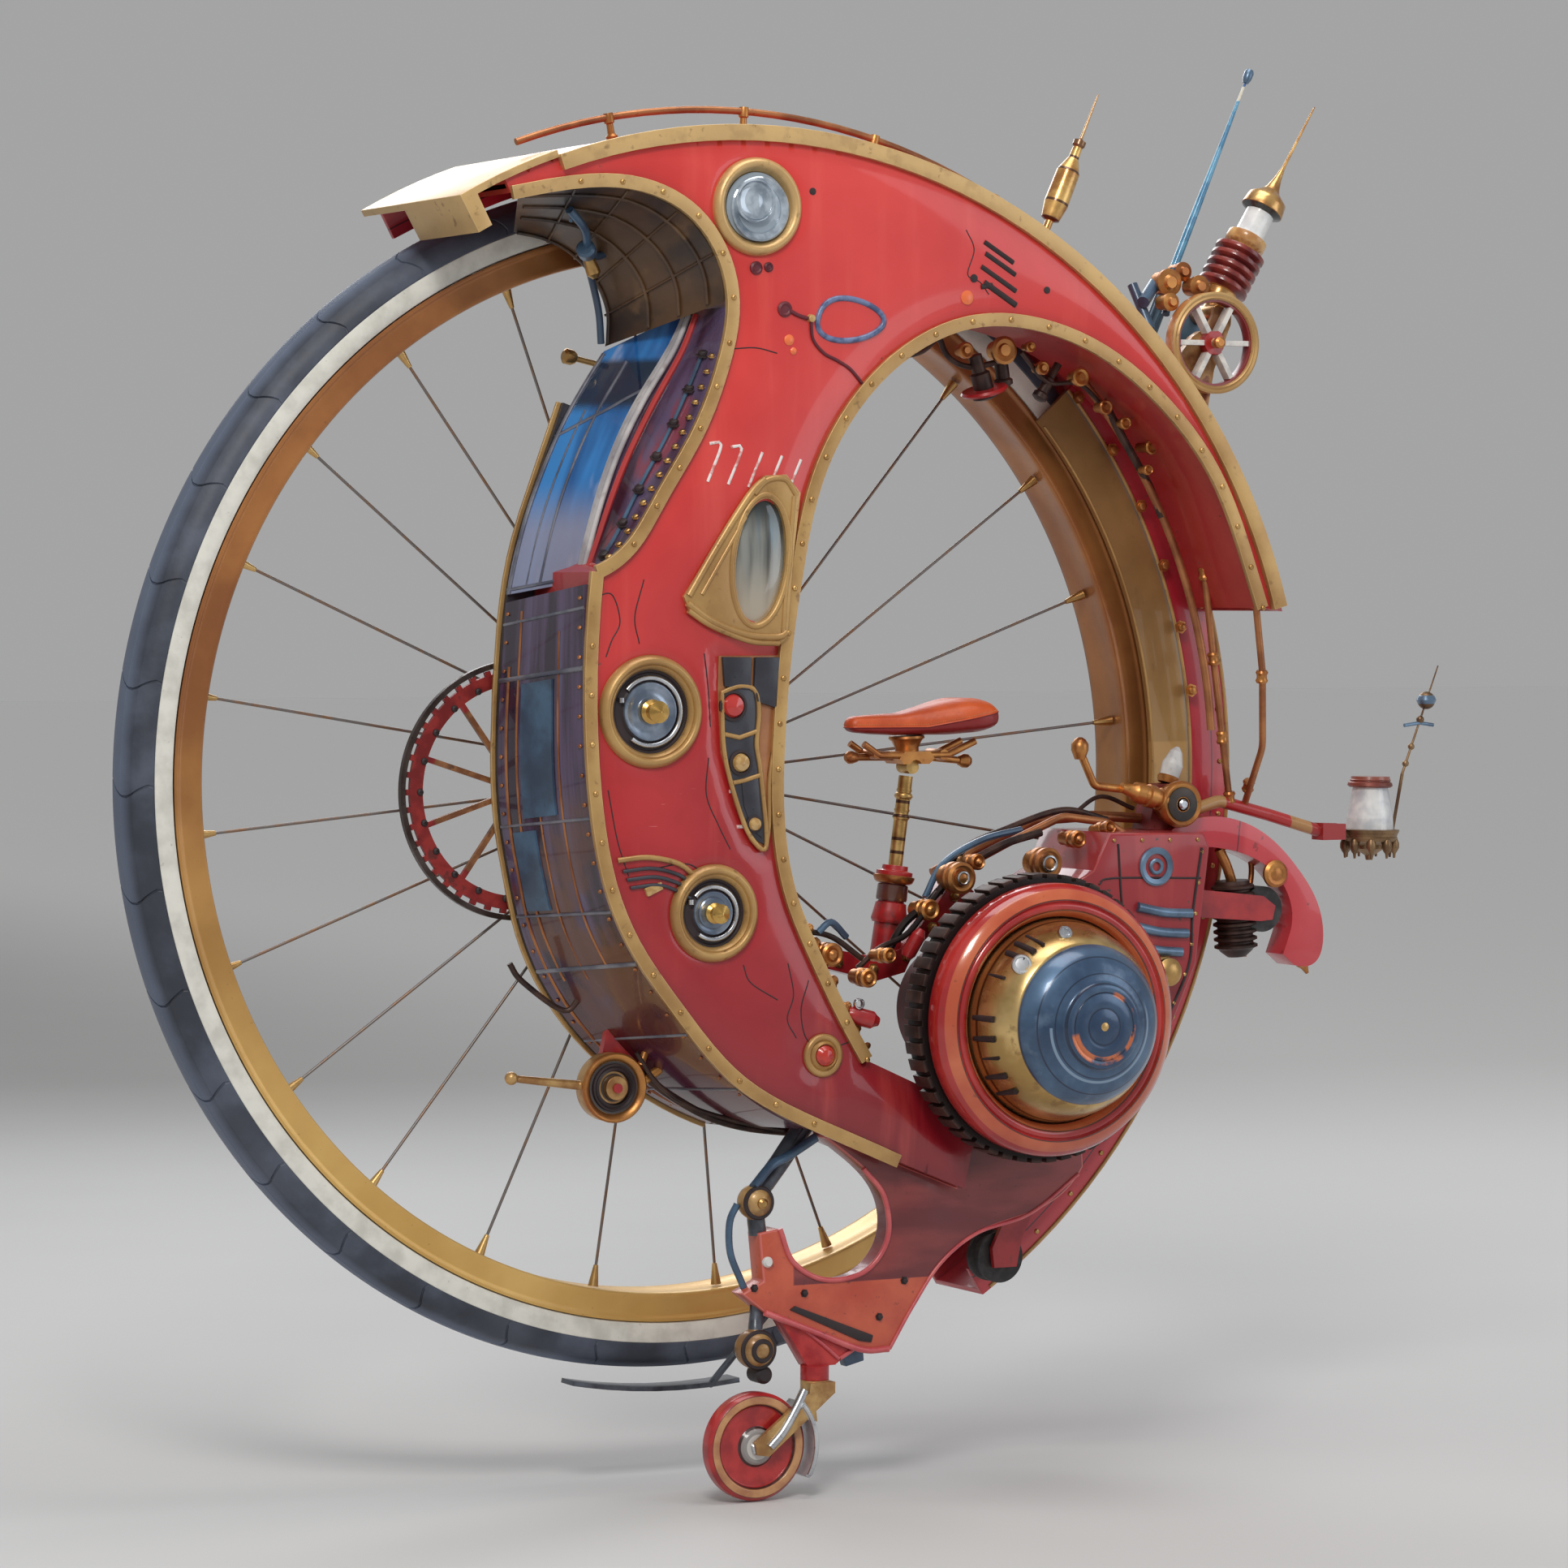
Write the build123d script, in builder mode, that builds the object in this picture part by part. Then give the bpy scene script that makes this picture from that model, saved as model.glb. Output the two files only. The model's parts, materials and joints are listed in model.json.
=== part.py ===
"""A motor unicycle: one big spoked wheel with a red shell, a drum engine and a saddle on its near side.

Millimetres. X runs forwards, Y across to the far side, Z up, with the origin on the wheel's axle.
"Depth" in this file is the distance out from the wheel's middle plane to the near side, so it is -Y.
"""

import os
from math import atan2, cos, degrees, hypot, radians, sin

from build123d import *

os.makedirs("parts", exist_ok=True)

# The wheel
wheel_radius = 1000
tyre_height = 85
tyre_width = 110
tube_radius = 30
rim_height = 45
rim_width = 104
rim_wall = 7
spoke_count = 24
spoke_radius = 2.5
spoke_first_angle = 5.5
ferrule_length = 36
ferrule_radius = 9
spoke_rim_offset = 6
spoke_gap = 0.5

# The hub on its hollow axle
axle_radius = 25
axle_bore_radius = 12
axle_end = 78
axle_flange_radius = 32
flange_radius = 70
flange_offset = 24
flange_thickness = 6
hub_barrel_radius = 48
hub_end = 34
bearing_radius = 38
bearing_width = 16
running_clearance = 0.05

# The chain drive behind the limb
chain_depth = 50
sprocket_thickness = 8
sprocket_radius = 205
sprocket_teeth = 44
cog_radius = 76
cog_teeth = 16
tooth_height = 7
sprocket_x = -308
sprocket_z = -18
sprocket_pin_radius = 12

# The shell: an open-backed red box between two planes
shell_near = 300
shell_far = 80
shell_wall = 8
shell_outer_radius = 1067
plate_thickness = 10
trim_width = 22
trim_thickness = 10

# The hoop over the tyre
hoop_start = -58
hoop_end = 118
hoop_wall = 10
hoop_far = 84
hoop_inner_radius = 1012
lining_inner_radius = 905
lining_outer_radius = 985
lining_start = -52
lining_end = 42
lip_start = 109.5
lip_end = 119.5

# The drum engine
drum_x = 505
drum_z = -402
housing_radius = 165
housing_foot_radius = 112
housing_step = 214
housing_near = 326
gear_radius = 242
gear_ribs = 52
drum_shaft_radius = 30
drum_gap = 0.5

# The saddle and its post
seat_depth = 150
post_radius = 12
post_foot = (338, -248)
post_head = (371, -2)
tube_foot_z = -302
tube_length = 150
tube_outer_radius = 22
saddle_width = 150

# The outrigger caster
caster_x = 20
caster_z = -1101
caster_radius = 90
caster_depth = 262
caster_width = 34


def side(depth):
    """The plane parallel to the wheel at this depth; extruding from it goes to the near side."""
    return Plane.XZ.offset(depth)


def face_at(x, z, depth):
    """The same plane, with its own origin moved to a place."""
    return Plane(origin=(x, -depth, z), x_dir=(1, 0, 0), z_dir=(0, -1, 0))


def polar(radius, angle):
    """A point around the wheel's axle, in the wheel's plane."""
    return (radius * cos(radians(angle)), radius * sin(radians(angle)))


def turned(x, z, *profile):
    """A solid turned about a line across the machine, from its (radius, depth) corners."""
    with BuildPart() as piece:
        with BuildSketch(Plane(origin=(x, 0, z), x_dir=(1, 0, 0), z_dir=(0, 0, -1))):
            with BuildLine():
                Polyline(*profile, close=True)
            make_face()
        revolve(axis=Axis((x, 0, z), (0, 1, 0)))
    return piece.part


def ring(x, z, inner, outer, low, high):
    """A plain ring, or a disc when its inner radius is 0, between two depths."""
    return turned(x, z, (inner, low), (outer, low), (outer, high), (inner, high))


def slab(outline, low, high):
    """A flat plate with straight edges between two depths."""
    with BuildPart() as piece:
        with BuildSketch(side(low)):
            with BuildLine():
                Polyline(*outline, close=True)
            make_face()
        extrude(amount=high - low)
    return piece.part


def sector(inner, outer, start, end, low, high):
    """A plate that follows the wheel from one angle to another."""
    with BuildPart() as piece:
        with BuildSketch(side(low)):
            with BuildLine():
                CenterArc((0, 0), outer, start, end - start)
                CenterArc((0, 0), inner, start, end - start)
                Line(polar(inner, start), polar(outer, start))
                Line(polar(inner, end), polar(outer, end))
            make_face()
        extrude(amount=high - low)
    return piece.part


def strip(points, width, low, high):
    """A flat band of even width along a smooth curve."""
    with BuildPart() as piece:
        with BuildSketch(side(low)):
            with BuildLine():
                Spline(*points)
            trace(line_width=width)
        extrude(amount=high - low)
    return piece.part


def pipe(points, radius, bend):
    """A round pipe or rod of straight runs and round bends through (x, depth, z) points."""
    route = [Vector(x, -depth, z) for x, depth, z in points]
    with BuildPart() as piece:
        with BuildLine() as line:
            if len(route) == 2:
                Line(*route)
            else:
                FilletPolyline(*route, radius=bend)
        with BuildSketch(Plane(origin=route[0], z_dir=route[1] - route[0])):
            Circle(radius)
        sweep(path=line.line)
    return piece.part


def rod(start, end, start_radius, end_radius=None):
    """A straight round bar, or a cone, between two (x, depth, z) points."""
    foot = Vector(start[0], -start[1], start[2])
    run = Vector(end[0], -end[1], end[2]) - foot
    with BuildPart() as piece:
        with BuildSketch(Plane(origin=foot, z_dir=run)):
            Circle(start_radius)
        if end_radius is None:
            extrude(amount=run.length)
        else:
            with BuildSketch(Plane(origin=foot + run, z_dir=run)):
                Circle(end_radius)
            loft()
    return piece.part


def stacked(start, end, *profile):
    """A solid turned about a sloping line, from (distance along it, radius) corners."""
    foot = Vector(start[0], -start[1], start[2])
    run = Vector(end[0], -end[1], end[2]) - foot
    across = run.cross(Vector(0, 1, 0)).normalized()
    with BuildPart() as piece:
        with BuildSketch(Plane(origin=foot, x_dir=run, z_dir=run.cross(across))):
            with BuildLine():
                Polyline((0, 0), *profile, (profile[-1][0], 0), close=True)
            make_face()
        revolve(axis=Axis(foot, run))
    return piece.part


def ball(x, depth, z, radius):
    """A ball at a place."""
    with BuildPart() as piece:
        with BuildSketch(Plane(origin=(x, -depth, z), x_dir=(1, 0, 0), z_dir=(0, 0, -1))):
            with BuildLine():
                CenterArc((0, 0), radius, -90, 180)
                Line((0, -radius), (0, radius))
            make_face()
        revolve(axis=Axis((x, -depth, z), (0, 1, 0)))
    return piece.part


def save(piece, name):
    """Name a finished piece and write it."""
    piece.label = name
    export_step(piece, f"parts/{name}.step")


# ---------------------------------------------------------------- the wheel that turns
rim_outer = wheel_radius - tyre_height
rim_inner = rim_outer - rim_height

# A hollow tyre, open to the rim at its beads
with BuildPart() as tyre:
    with BuildSketch(Plane(origin=(0, 0, 0), x_dir=(1, 0, 0), z_dir=(0, 0, -1))):
        with Locations(((wheel_radius + rim_outer) / 2, 0)):
            section = Rectangle(tyre_height, tyre_width)
        fillet(section.vertices().sort_by(Axis.X)[-2:], radius=tyre_height * 0.42)
        with Locations(((wheel_radius + rim_outer) / 2, 0)):
            Circle(tube_radius + running_clearance, mode=Mode.SUBTRACT)
        with Locations((rim_outer, 0)):
            Rectangle(tyre_height, tube_radius, mode=Mode.SUBTRACT)
    revolve(axis=Axis.Y)
save(tyre.part, "tyre")

# The air tube inside it
with BuildPart() as inner_tube:
    with BuildSketch(Plane(origin=(0, 0, 0), x_dir=(1, 0, 0), z_dir=(0, 0, -1))):
        with Locations(((wheel_radius + rim_outer) / 2, 0)):
            Circle(tube_radius)
    revolve(axis=Axis.Y)
save(inner_tube.part, "inner_tube")

# The rim is a channel, open towards the tyre
with BuildPart() as rim:
    with BuildSketch(Plane(origin=(0, 0, 0), x_dir=(1, 0, 0), z_dir=(0, 0, -1))):
        with Locations(((rim_outer + rim_inner) / 2, 0)):
            Rectangle(rim_height, rim_width)
        with Locations(((rim_outer + rim_inner) / 2 + rim_wall, 0)):
            Rectangle(rim_height, rim_width - 2 * rim_wall, mode=Mode.SUBTRACT)
    revolve(axis=Axis.Y)
save(rim.part, "rim")

# Spokes from the two hub flanges, each with a tapered ferrule at the rim
spoke_list = []
ferrule_list = []
for number in range(spoke_count):
    angle = spoke_first_angle + number * 360 / spoke_count
    across = 1 if number % 2 else -1
    hub_x, hub_z = polar(flange_radius + spoke_gap, angle)
    far_x, far_z = polar(rim_inner - spoke_gap, angle)
    foot = Vector(hub_x, across * flange_offset, hub_z)
    head = Vector(far_x, across * spoke_rim_offset, far_z)
    run = head - foot
    with BuildPart() as spoke:
        with BuildSketch(Plane(origin=foot, z_dir=run)):
            Circle(spoke_radius)
        extrude(amount=run.length - ferrule_length)
    spoke_list.append(spoke.part)
    with BuildPart() as ferrule:
        with BuildSketch(Plane(origin=head, z_dir=-run)):
            Circle(ferrule_radius)
        extrude(amount=ferrule_length, taper=8)
    ferrule_list.append(ferrule.part)
save(Compound(children=spoke_list), "spokes")
save(Compound(children=ferrule_list), "spoke_ferrules")

# The hub: a barrel with two flanges, and the cog that the chain drives
cog_low = chain_depth - sprocket_thickness / 2
cog_high = chain_depth + sprocket_thickness / 2
with BuildPart() as hub_shell:
    add(ring(0, 0, 30, hub_barrel_radius, -hub_end, cog_high))
    for offset_depth in (-flange_offset, flange_offset):
        half = flange_thickness / 2
        add(ring(0, 0, 40, flange_radius, offset_depth - half, offset_depth + half))
    with BuildSketch(side(cog_low)):
        Circle(cog_radius - tooth_height)
        with PolarLocations(cog_radius - tooth_height, cog_teeth):
            Rectangle(2 * tooth_height, 2 * tooth_height)
        Circle(hub_barrel_radius - 1, mode=Mode.SUBTRACT)
    extrude(amount=sprocket_thickness)
    add(ring(0, 0, 0, bearing_radius, -hub_end, bearing_width - hub_end), mode=Mode.SUBTRACT)
    add(ring(0, 0, 0, bearing_radius, cog_high - bearing_width, cog_high), mode=Mode.SUBTRACT)
save(hub_shell.part, "hub_shell")

with BuildPart() as hub_bearings:
    inner = axle_radius + running_clearance
    add(ring(0, 0, inner, bearing_radius, -hub_end, bearing_width - hub_end))
    add(ring(0, 0, inner, bearing_radius, cog_high - bearing_width, cog_high))
save(hub_bearings.part, "hub_bearings")

# The hollow axle stands out of the limb's back plate; the mount is its bore
with BuildPart() as axle:
    add(ring(0, 0, axle_bore_radius, axle_radius, -axle_end, shell_far + 60))
    add(ring(0, 0, axle_bore_radius, axle_flange_radius, shell_far, shell_far + 12))
save(axle.part, "axle")

with BuildPart() as axle_nut:
    with BuildSketch(side(-axle_end + 2)):
        RegularPolygon(radius=36, side_count=6, major_radius=False)
        Circle(axle_radius, mode=Mode.SUBTRACT)
    extrude(amount=16)
    add(ring(0, 0, axle_radius, 31, -axle_end + 18, -hub_end - 0.3))
save(axle_nut.part, "axle_nut")

# ---------------------------------------------------------------- the red shell
inner_edge = [
    (985, 282), (956, 362), (891, 507), (784, 632), (657, 719), (532, 759), (409, 760),
    (287, 711), (187, 622), (115, 499), (76, 345), (52, 186), (42, 60), (43, -80),
    (68, -198), (108, -286), (160, -385), (208, -465),
]
mouth_edge = [
    (-439, 946), (-319, 968), (-205, 966), (-112, 924), (-58, 852), (-42, 774), (-58, 687),
    (-108, 566), (-174, 462), (-224, 387), (-289, 342),
]
limb_edge = [
    (-289, 342), (-299, 223), (-300, 86), (-289, -51), (-263, -172), (-224, -259), (-147, -365),
    (-30, -491), (108, -567), (269, -637), (400, -690),
]


def shell_outline():
    """The shell's closed outline in the open sketch, from the horn round to the belly."""
    with BuildSketch() as outline:
        with BuildLine():
            tip = polar(shell_outer_radius, 15)
            horn = polar(shell_outer_radius, 114.9)
            CenterArc((0, 0), shell_outer_radius, 15, 99.9)
            Line(tip, inner_edge[0])
            Spline(*inner_edge)
            Polyline(inner_edge[-1], (330, -520), (420, -600), limb_edge[-1])
            Spline(*limb_edge)
            Spline(*mouth_edge)
            Line(mouth_edge[0], horn)
        make_face()
    return outline.sketch


with BuildPart() as shell_envelope:
    with BuildSketch(side(shell_far)):
        add(shell_outline())
    extrude(amount=shell_near - shell_far)

# Its walls follow the outline inwards by one wall, and it is open at the back
button_x = 128
button_z = -455
button_radius = 17
with BuildPart() as side_shell:
    add(strip(inner_edge, 2 * shell_wall, shell_far, shell_near))
    add(strip(limb_edge, 2 * shell_wall, shell_far, shell_near))
    add(strip(mouth_edge, 2 * shell_wall, shell_far, shell_near))
    wall_inner = shell_outer_radius - shell_wall
    add(sector(wall_inner, shell_outer_radius, 14, 116, shell_far, shell_near))
    with BuildSketch(side(shell_near - shell_wall)):
        add(shell_outline())
    extrude(amount=shell_wall)
    add(shell_envelope.part, mode=Mode.INTERSECT)
    add(ring(drum_x, drum_z, 0, housing_radius, shell_far, shell_near), mode=Mode.SUBTRACT)
    add(ring(button_x, button_z, 0, button_radius + 1, shell_far, shell_near), mode=Mode.SUBTRACT)
save(side_shell.part, "side_shell")

# Brass beads along the edges of the shell's face, and one along the limb's far edge
far_edge = [
    (-239, 622), (-285, 500), (-331, 360), (-351, 221), (-359, 81), (-355, -59), (-337, -164),
    (-312, -262), (-245, -385), (-120, -505), (30, -584),
]
trim_top = shell_near + trim_thickness
with BuildPart() as body_trims:
    add(strip(inner_edge, trim_width, shell_near, trim_top))
    add(strip(mouth_edge, trim_width, shell_near, trim_top))
    add(strip(limb_edge[:-1], trim_width, shell_near, trim_top))
    bead_inner = shell_outer_radius - trim_width
    bead_outer = shell_outer_radius + 4
    add(sector(bead_inner, bead_outer, 15.5, lip_start, shell_near, trim_top + 4))
    add(strip(far_edge, 14, shell_far - plate_thickness - 6, shell_far - plate_thickness))
    # The flared lip where the tyre comes out of the mouth
    lip_outer = shell_outer_radius + 12
    add(sector(shell_outer_radius, lip_outer, lip_start, lip_end, -hoop_far, shell_near + 8))
    add(sector(hoop_inner_radius, lip_outer, hoop_end, lip_end, shell_far, shell_near + 8))
    add(ring(drum_x, drum_z, 0, gear_radius + 6, shell_near, trim_top + 9), mode=Mode.SUBTRACT)
save(body_trims.part, "body_trims")


def skin(near_points, near_depth, far_points, far_depth, shift):
    """A curved sheet from an edge at one depth to an edge at another; shift is its thickness."""
    with BuildPart() as piece:
        for depth, points in ((near_depth, near_points), (far_depth, far_points)):
            moved = [(x + shift[0], z + shift[1]) for x, z in points]
            with BuildSketch(side(depth)):
                with BuildLine():
                    Spline(*points)
                    Line(points[-1], moved[-1])
                    Spline(*moved)
                    Line(moved[0], points[0])
                make_face()
        loft(ruled=True)
    return piece.part


# The limb's lacquered casing, from the face's edge back to the back plate
casing_near = [
    (-309, 322), (-309, 86), (-298, -51), (-272, -173), (-233, -262), (-156, -370), (-40, -497),
    (100, -576),
]
casing_far = [
    (-345, 292), (-359, 81), (-355, -59), (-337, -164), (-312, -262), (-245, -385), (-120, -505),
    (30, -584),
]
with BuildPart() as limb_casing:
    add(skin(casing_near, shell_near, casing_far, shell_far, (7, 0)))
    add(shell_envelope.part, mode=Mode.SUBTRACT)
save(limb_casing.part, "limb_casing")

# The canopy: a blue window behind the middle rail and a smoked one in front of it
rail_depth = 190
rail_line = [(-62, 772), (-95, 705), (-150, 624), (-195, 540), (-231, 443), (-262, 327)]
window_near = [(-52, 774), (-70, 687), (-119, 568), (-184, 466), (-234, 391), (-298, 329)]
window_far = [(-165, 708), (-202, 655), (-242, 590), (-280, 510), (-315, 420), (-344, 305)]
rail_half = 7
with BuildPart() as canopy_glass:
    add(skin(rail_line, rail_depth - rail_half, window_far, shell_far, (6, 0)))
    add(skin(window_near, shell_near, rail_line, rail_depth + rail_half, (6, 0)))
    add(shell_envelope.part, mode=Mode.SUBTRACT)
save(canopy_glass.part, "canopy_glass")

with BuildPart() as canopy_rail:
    add(strip(rail_line, 16, rail_depth - rail_half, rail_depth + rail_half))
    add(shell_envelope.part, mode=Mode.SUBTRACT)
save(canopy_rail.part, "canopy_rail")

# The mouth's brown lining, where the tyre runs in under the horn
lining_near = [(-425, 950), (-319, 958), (-210, 955), (-124, 915), (-70, 850), (-57, 781)]
lining_far = [(-330, 900), (-275, 890), (-228, 868), (-190, 832), (-163, 780), (-163, 716)]
with BuildPart() as mouth_liner:
    add(skin(lining_near, shell_near, lining_far, shell_far, (5, 7)))
    add(shell_envelope.part, mode=Mode.SUBTRACT)
save(mouth_liner.part, "mouth_liner")

# The plate that closes the limb's back and holds the axle and the sprocket
with BuildPart() as limb_back_plate:
    with BuildSketch(side(shell_far - plate_thickness)):
        with BuildLine():
            Spline(*far_edge)
            Line(far_edge[-1], (160, -600))
            Line((160, -600), inner_edge[-1])
            Spline(*inner_edge[-9:])
            Line(inner_edge[-9], far_edge[0])
        make_face()
        Circle(axle_radius, mode=Mode.SUBTRACT)
        with Locations((sprocket_x, sprocket_z)):
            Circle(sprocket_pin_radius + running_clearance, mode=Mode.SUBTRACT)
    extrude(amount=plate_thickness)
    add(ring(0, 0, axle_radius, 31, cog_high + 0.3, shell_far - plate_thickness))
save(limb_back_plate.part, "limb_back_plate")

# ---------------------------------------------------------------- the chain drive
with BuildPart() as sprocket:
    with BuildSketch(face_at(sprocket_x, sprocket_z, cog_low)):
        Circle(sprocket_radius - tooth_height)
        with PolarLocations(sprocket_radius - tooth_height, sprocket_teeth):
            Rectangle(2 * tooth_height, tooth_height * 1.4)
        Circle(sprocket_radius - 30, mode=Mode.SUBTRACT)
        Circle(34)
        with PolarLocations(sprocket_radius / 2 + 5, 10, start_angle=18):
            Rectangle(sprocket_radius - 56, 9)
        Circle(sprocket_pin_radius, mode=Mode.SUBTRACT)
    extrude(amount=sprocket_thickness)
    pin_low = cog_low - 6
    add(ring(sprocket_x, sprocket_z, 0, sprocket_pin_radius, pin_low, shell_far - 0.5))
    add(ring(sprocket_x, sprocket_z, 0, sprocket_pin_radius + 10, cog_high, cog_high + 12))
save(sprocket.part, "sprocket")

# The chain runs straight between the two sets of teeth, clear of their tips
chain_gap = 1.5
chain_height = 9
chain_width = 10
reach = hypot(sprocket_x, sprocket_z)
big = sprocket_radius + chain_gap
small = cog_radius + chain_gap
lean = degrees(atan2(big - small, (reach**2 - (big - small) ** 2) ** 0.5))
chain_plane = Plane(
    origin=(sprocket_x, chain_width / 2 - chain_depth, sprocket_z),
    x_dir=(-sprocket_x, 0, -sprocket_z),
    z_dir=(0, -1, 0),
)


def chain_loop(extra):
    """The face inside the chain's loop, grown outwards by some extra."""
    with BuildSketch() as loop:
        with BuildLine():
            CenterArc((0, 0), big + extra, 90 - lean, 180 + 2 * lean)
            CenterArc((reach, 0), small + extra, 90 - lean, -(180 - 2 * lean))
            for turn in (1, -1):
                across, up = sin(radians(lean)), turn * cos(radians(lean))
                start = ((big + extra) * across, (big + extra) * up)
                Line(start, (reach + (small + extra) * across, (small + extra) * up))
        make_face()
    return loop.sketch


with BuildPart() as drive_chain:
    with BuildSketch(chain_plane):
        add(chain_loop(chain_height))
        add(chain_loop(0), mode=Mode.SUBTRACT)
    extrude(amount=chain_width)
save(drive_chain.part, "drive_chain")

# ---------------------------------------------------------------- the hoop over the tyre
hoop_near = shell_far - plate_thickness
with BuildPart() as fender_hoop:
    for inner, low, high in (
        (shell_outer_radius - hoop_wall, -hoop_far, hoop_near),
        (hoop_inner_radius, hoop_near, shell_far),
        (hoop_inner_radius, -hoop_far, hoop_wall - hoop_far),
    ):
        add(sector(inner, shell_outer_radius, hoop_start, hoop_end, low, high))
    skirt = (lining_outer_radius, hoop_inner_radius + 1, lining_start, lining_end)
    add(sector(*skirt, hoop_near, shell_far))
save(fender_hoop.part, "fender_hoop")

with BuildPart() as hoop_lining:
    band = (lining_inner_radius, lining_outer_radius, lining_start, lining_end)
    add(sector(*band, hoop_near, shell_far))
save(hoop_lining.part, "hoop_lining")


# ---------------------------------------------------------------- instruments on the shell's face
upper_gauge = (-192, 116)
lower_gauge = (-77, -214)
upper_radius = 92
lower_radius = 80
bezel_width = 24
porthole = (2, 938)
porthole_radius = 80
bezel_top = shell_near + 20
dial_top = shell_near + 6
with BuildPart() as instrument_bezels:
    add(ring(*porthole, porthole_radius - bezel_width, porthole_radius, shell_near, bezel_top))
    add(ring(*upper_gauge, upper_radius - bezel_width, upper_radius, shell_near, bezel_top))
    add(ring(*lower_gauge, lower_radius - bezel_width, lower_radius, shell_near, bezel_top))
    add(ring(button_x, button_z, button_radius + 1, button_radius + 18, shell_near, shell_near + 14))
    add(ring(100, 758, 0, 8, shell_near, shell_near + 16))
    add(body_trims.part, mode=Mode.SUBTRACT)
save(instrument_bezels.part, "instrument_bezels")

panel = [
    (-66, 208), (50, 208), (38, 81), (26, 12), (27, -80), (20, -118), (-8, -100), (-36, -39),
    (-62, 48), (-69, 152),
]
with BuildPart() as instrument_dials:
    add(ring(*upper_gauge, 0, upper_radius - bezel_width, shell_near, dial_top))
    add(ring(*lower_gauge, 0, lower_radius - bezel_width, shell_near, dial_top))
    add(slab(panel, shell_near, dial_top))
    add(body_trims.part, mode=Mode.SUBTRACT)
save(instrument_dials.part, "instrument_dials")

frame_outline = [
    (-136, 302), (-74, 392), (-16, 472), (14, 500), (52, 502), (78, 472), (64, 360), (54, 236),
    (38, 222), (-16, 226), (-84, 250), (-126, 278),
]
oval_center = (5, 361)
oval_half_width = 46
oval_half_height = 102
oval_tilt = -7
with BuildPart() as oval_window_frame:
    with BuildSketch(side(shell_near)):
        with BuildLine():
            Polyline(*frame_outline, close=True)
        make_face()
        with Locations(Location((*oval_center, 0), (0, 0, oval_tilt))):
            Ellipse(oval_half_width, oval_half_height, mode=Mode.SUBTRACT)
    extrude(amount=16)
    add(body_trims.part, mode=Mode.SUBTRACT)
save(oval_window_frame.part, "oval_window_frame")

with BuildPart() as window_glass:
    with BuildSketch(side(shell_near)):
        with Locations(Location((*oval_center, 0), (0, 0, oval_tilt))):
            Ellipse(oval_half_width, oval_half_height)
    extrude(amount=8)
    lens = porthole_radius - bezel_width
    low = shell_near
    add(turned(*porthole, (0, low), (lens, low), (lens, low + 6), (lens * 0.6, low + 13),
               (0, low + 16)))
save(window_glass.part, "window_glass")

with BuildPart() as indicator_lamps:
    for x, z, radius in ((-42, 124, 20), (-28, 31, 16), (-3, -70, 12)):
        low = dial_top
        add(turned(x, z, (0, low), (radius, low), (radius * 0.8, low + 8), (0, low + 13)))
save(indicator_lamps.part, "indicator_lamps")

knob_gap = 0.3
with BuildPart() as upper_gauge_knob:
    low = dial_top + knob_gap
    add(turned(*upper_gauge, (0, low), (20, low), (20, low + 6), (14, low + 10),
               (18, low + 30), (0, low + 38)))
save(upper_gauge_knob.part, "upper_gauge_knob")

with BuildPart() as lower_gauge_knob:
    add(turned(*lower_gauge, (0, low), (17, low), (17, low + 6), (12, low + 10),
               (16, low + 26), (0, low + 33)))
save(lower_gauge_knob.part, "lower_gauge_knob")

with BuildPart() as push_button:
    low = shell_near - 12
    add(turned(button_x, button_z, (0, low), (button_radius, low), (button_radius, low + 24),
               (button_radius * 0.6, low + 30), (0, low + 32)))
save(push_button.part, "push_button")

# A sprung grab loop hinged on a stud
with BuildPart() as loop_handle:
    with BuildLine(side(shell_near + 8)) as loop_path:
        Spline((114, 758), (176, 792), (238, 758), (176, 724), periodic=True)
    with BuildSketch(Plane(origin=loop_path.line @ 0, z_dir=loop_path.line % 0)):
        Circle(5)
    sweep(path=loop_path.line)
save(loop_handle.part, "loop_handle")

# ---------------------------------------------------------------- the drum engine
with BuildPart() as drum_housing:
    bush = drum_shaft_radius + running_clearance
    bush_low = 226
    wall_in = housing_radius - 10
    foot_in = housing_foot_radius - 10
    add(turned(drum_x, drum_z, (0, shell_far), (housing_foot_radius, shell_far),
               (housing_foot_radius, housing_step), (housing_radius, housing_step),
               (housing_radius, housing_near), (bush, housing_near), (bush, bush_low),
               (bush + 16, bush_low), (bush + 16, housing_near - 10),
               (wall_in, housing_near - 10), (wall_in, housing_step + 10),
               (foot_in, housing_step + 10), (foot_in, shell_far + 10), (0, shell_far + 10)))
save(drum_housing.part, "drum_housing")

gear_low = housing_near + 8
gear_high = gear_low + 50
with BuildPart() as drum_rotor:
    add(ring(drum_x, drum_z, 0, gear_radius, gear_low, gear_high))
    with BuildSketch(face_at(drum_x, drum_z, gear_low)):
        with PolarLocations(gear_radius, gear_ribs):
            Rectangle(16, 9)
    extrude(amount=gear_high - gear_low, mode=Mode.SUBTRACT)
    add(ring(drum_x, drum_z, 0, drum_shaft_radius, 240, gear_low))
save(drum_rotor.part, "drum_rotor")

ring_inner = 170
ring_outer = 228
with BuildPart() as drum_ring:
    low = gear_high
    add(turned(drum_x, drum_z, (ring_inner, low), (ring_outer - 6, low), (ring_outer, low + 8),
               (ring_outer, low + 34), (ring_outer - 12, low + 50), (ring_outer - 30, low + 58),
               (ring_inner + 10, low + 50), (ring_inner, low + 38)))
save(drum_ring.part, "drum_ring")

band_inner = 120
with BuildPart() as drum_band:
    add(turned(drum_x, drum_z, (band_inner, low), (ring_inner, low), (ring_inner, low + 50),
               (152, low + 106), (134, low + 134), (band_inner, low + 134)))
save(drum_band.part, "drum_band")

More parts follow.
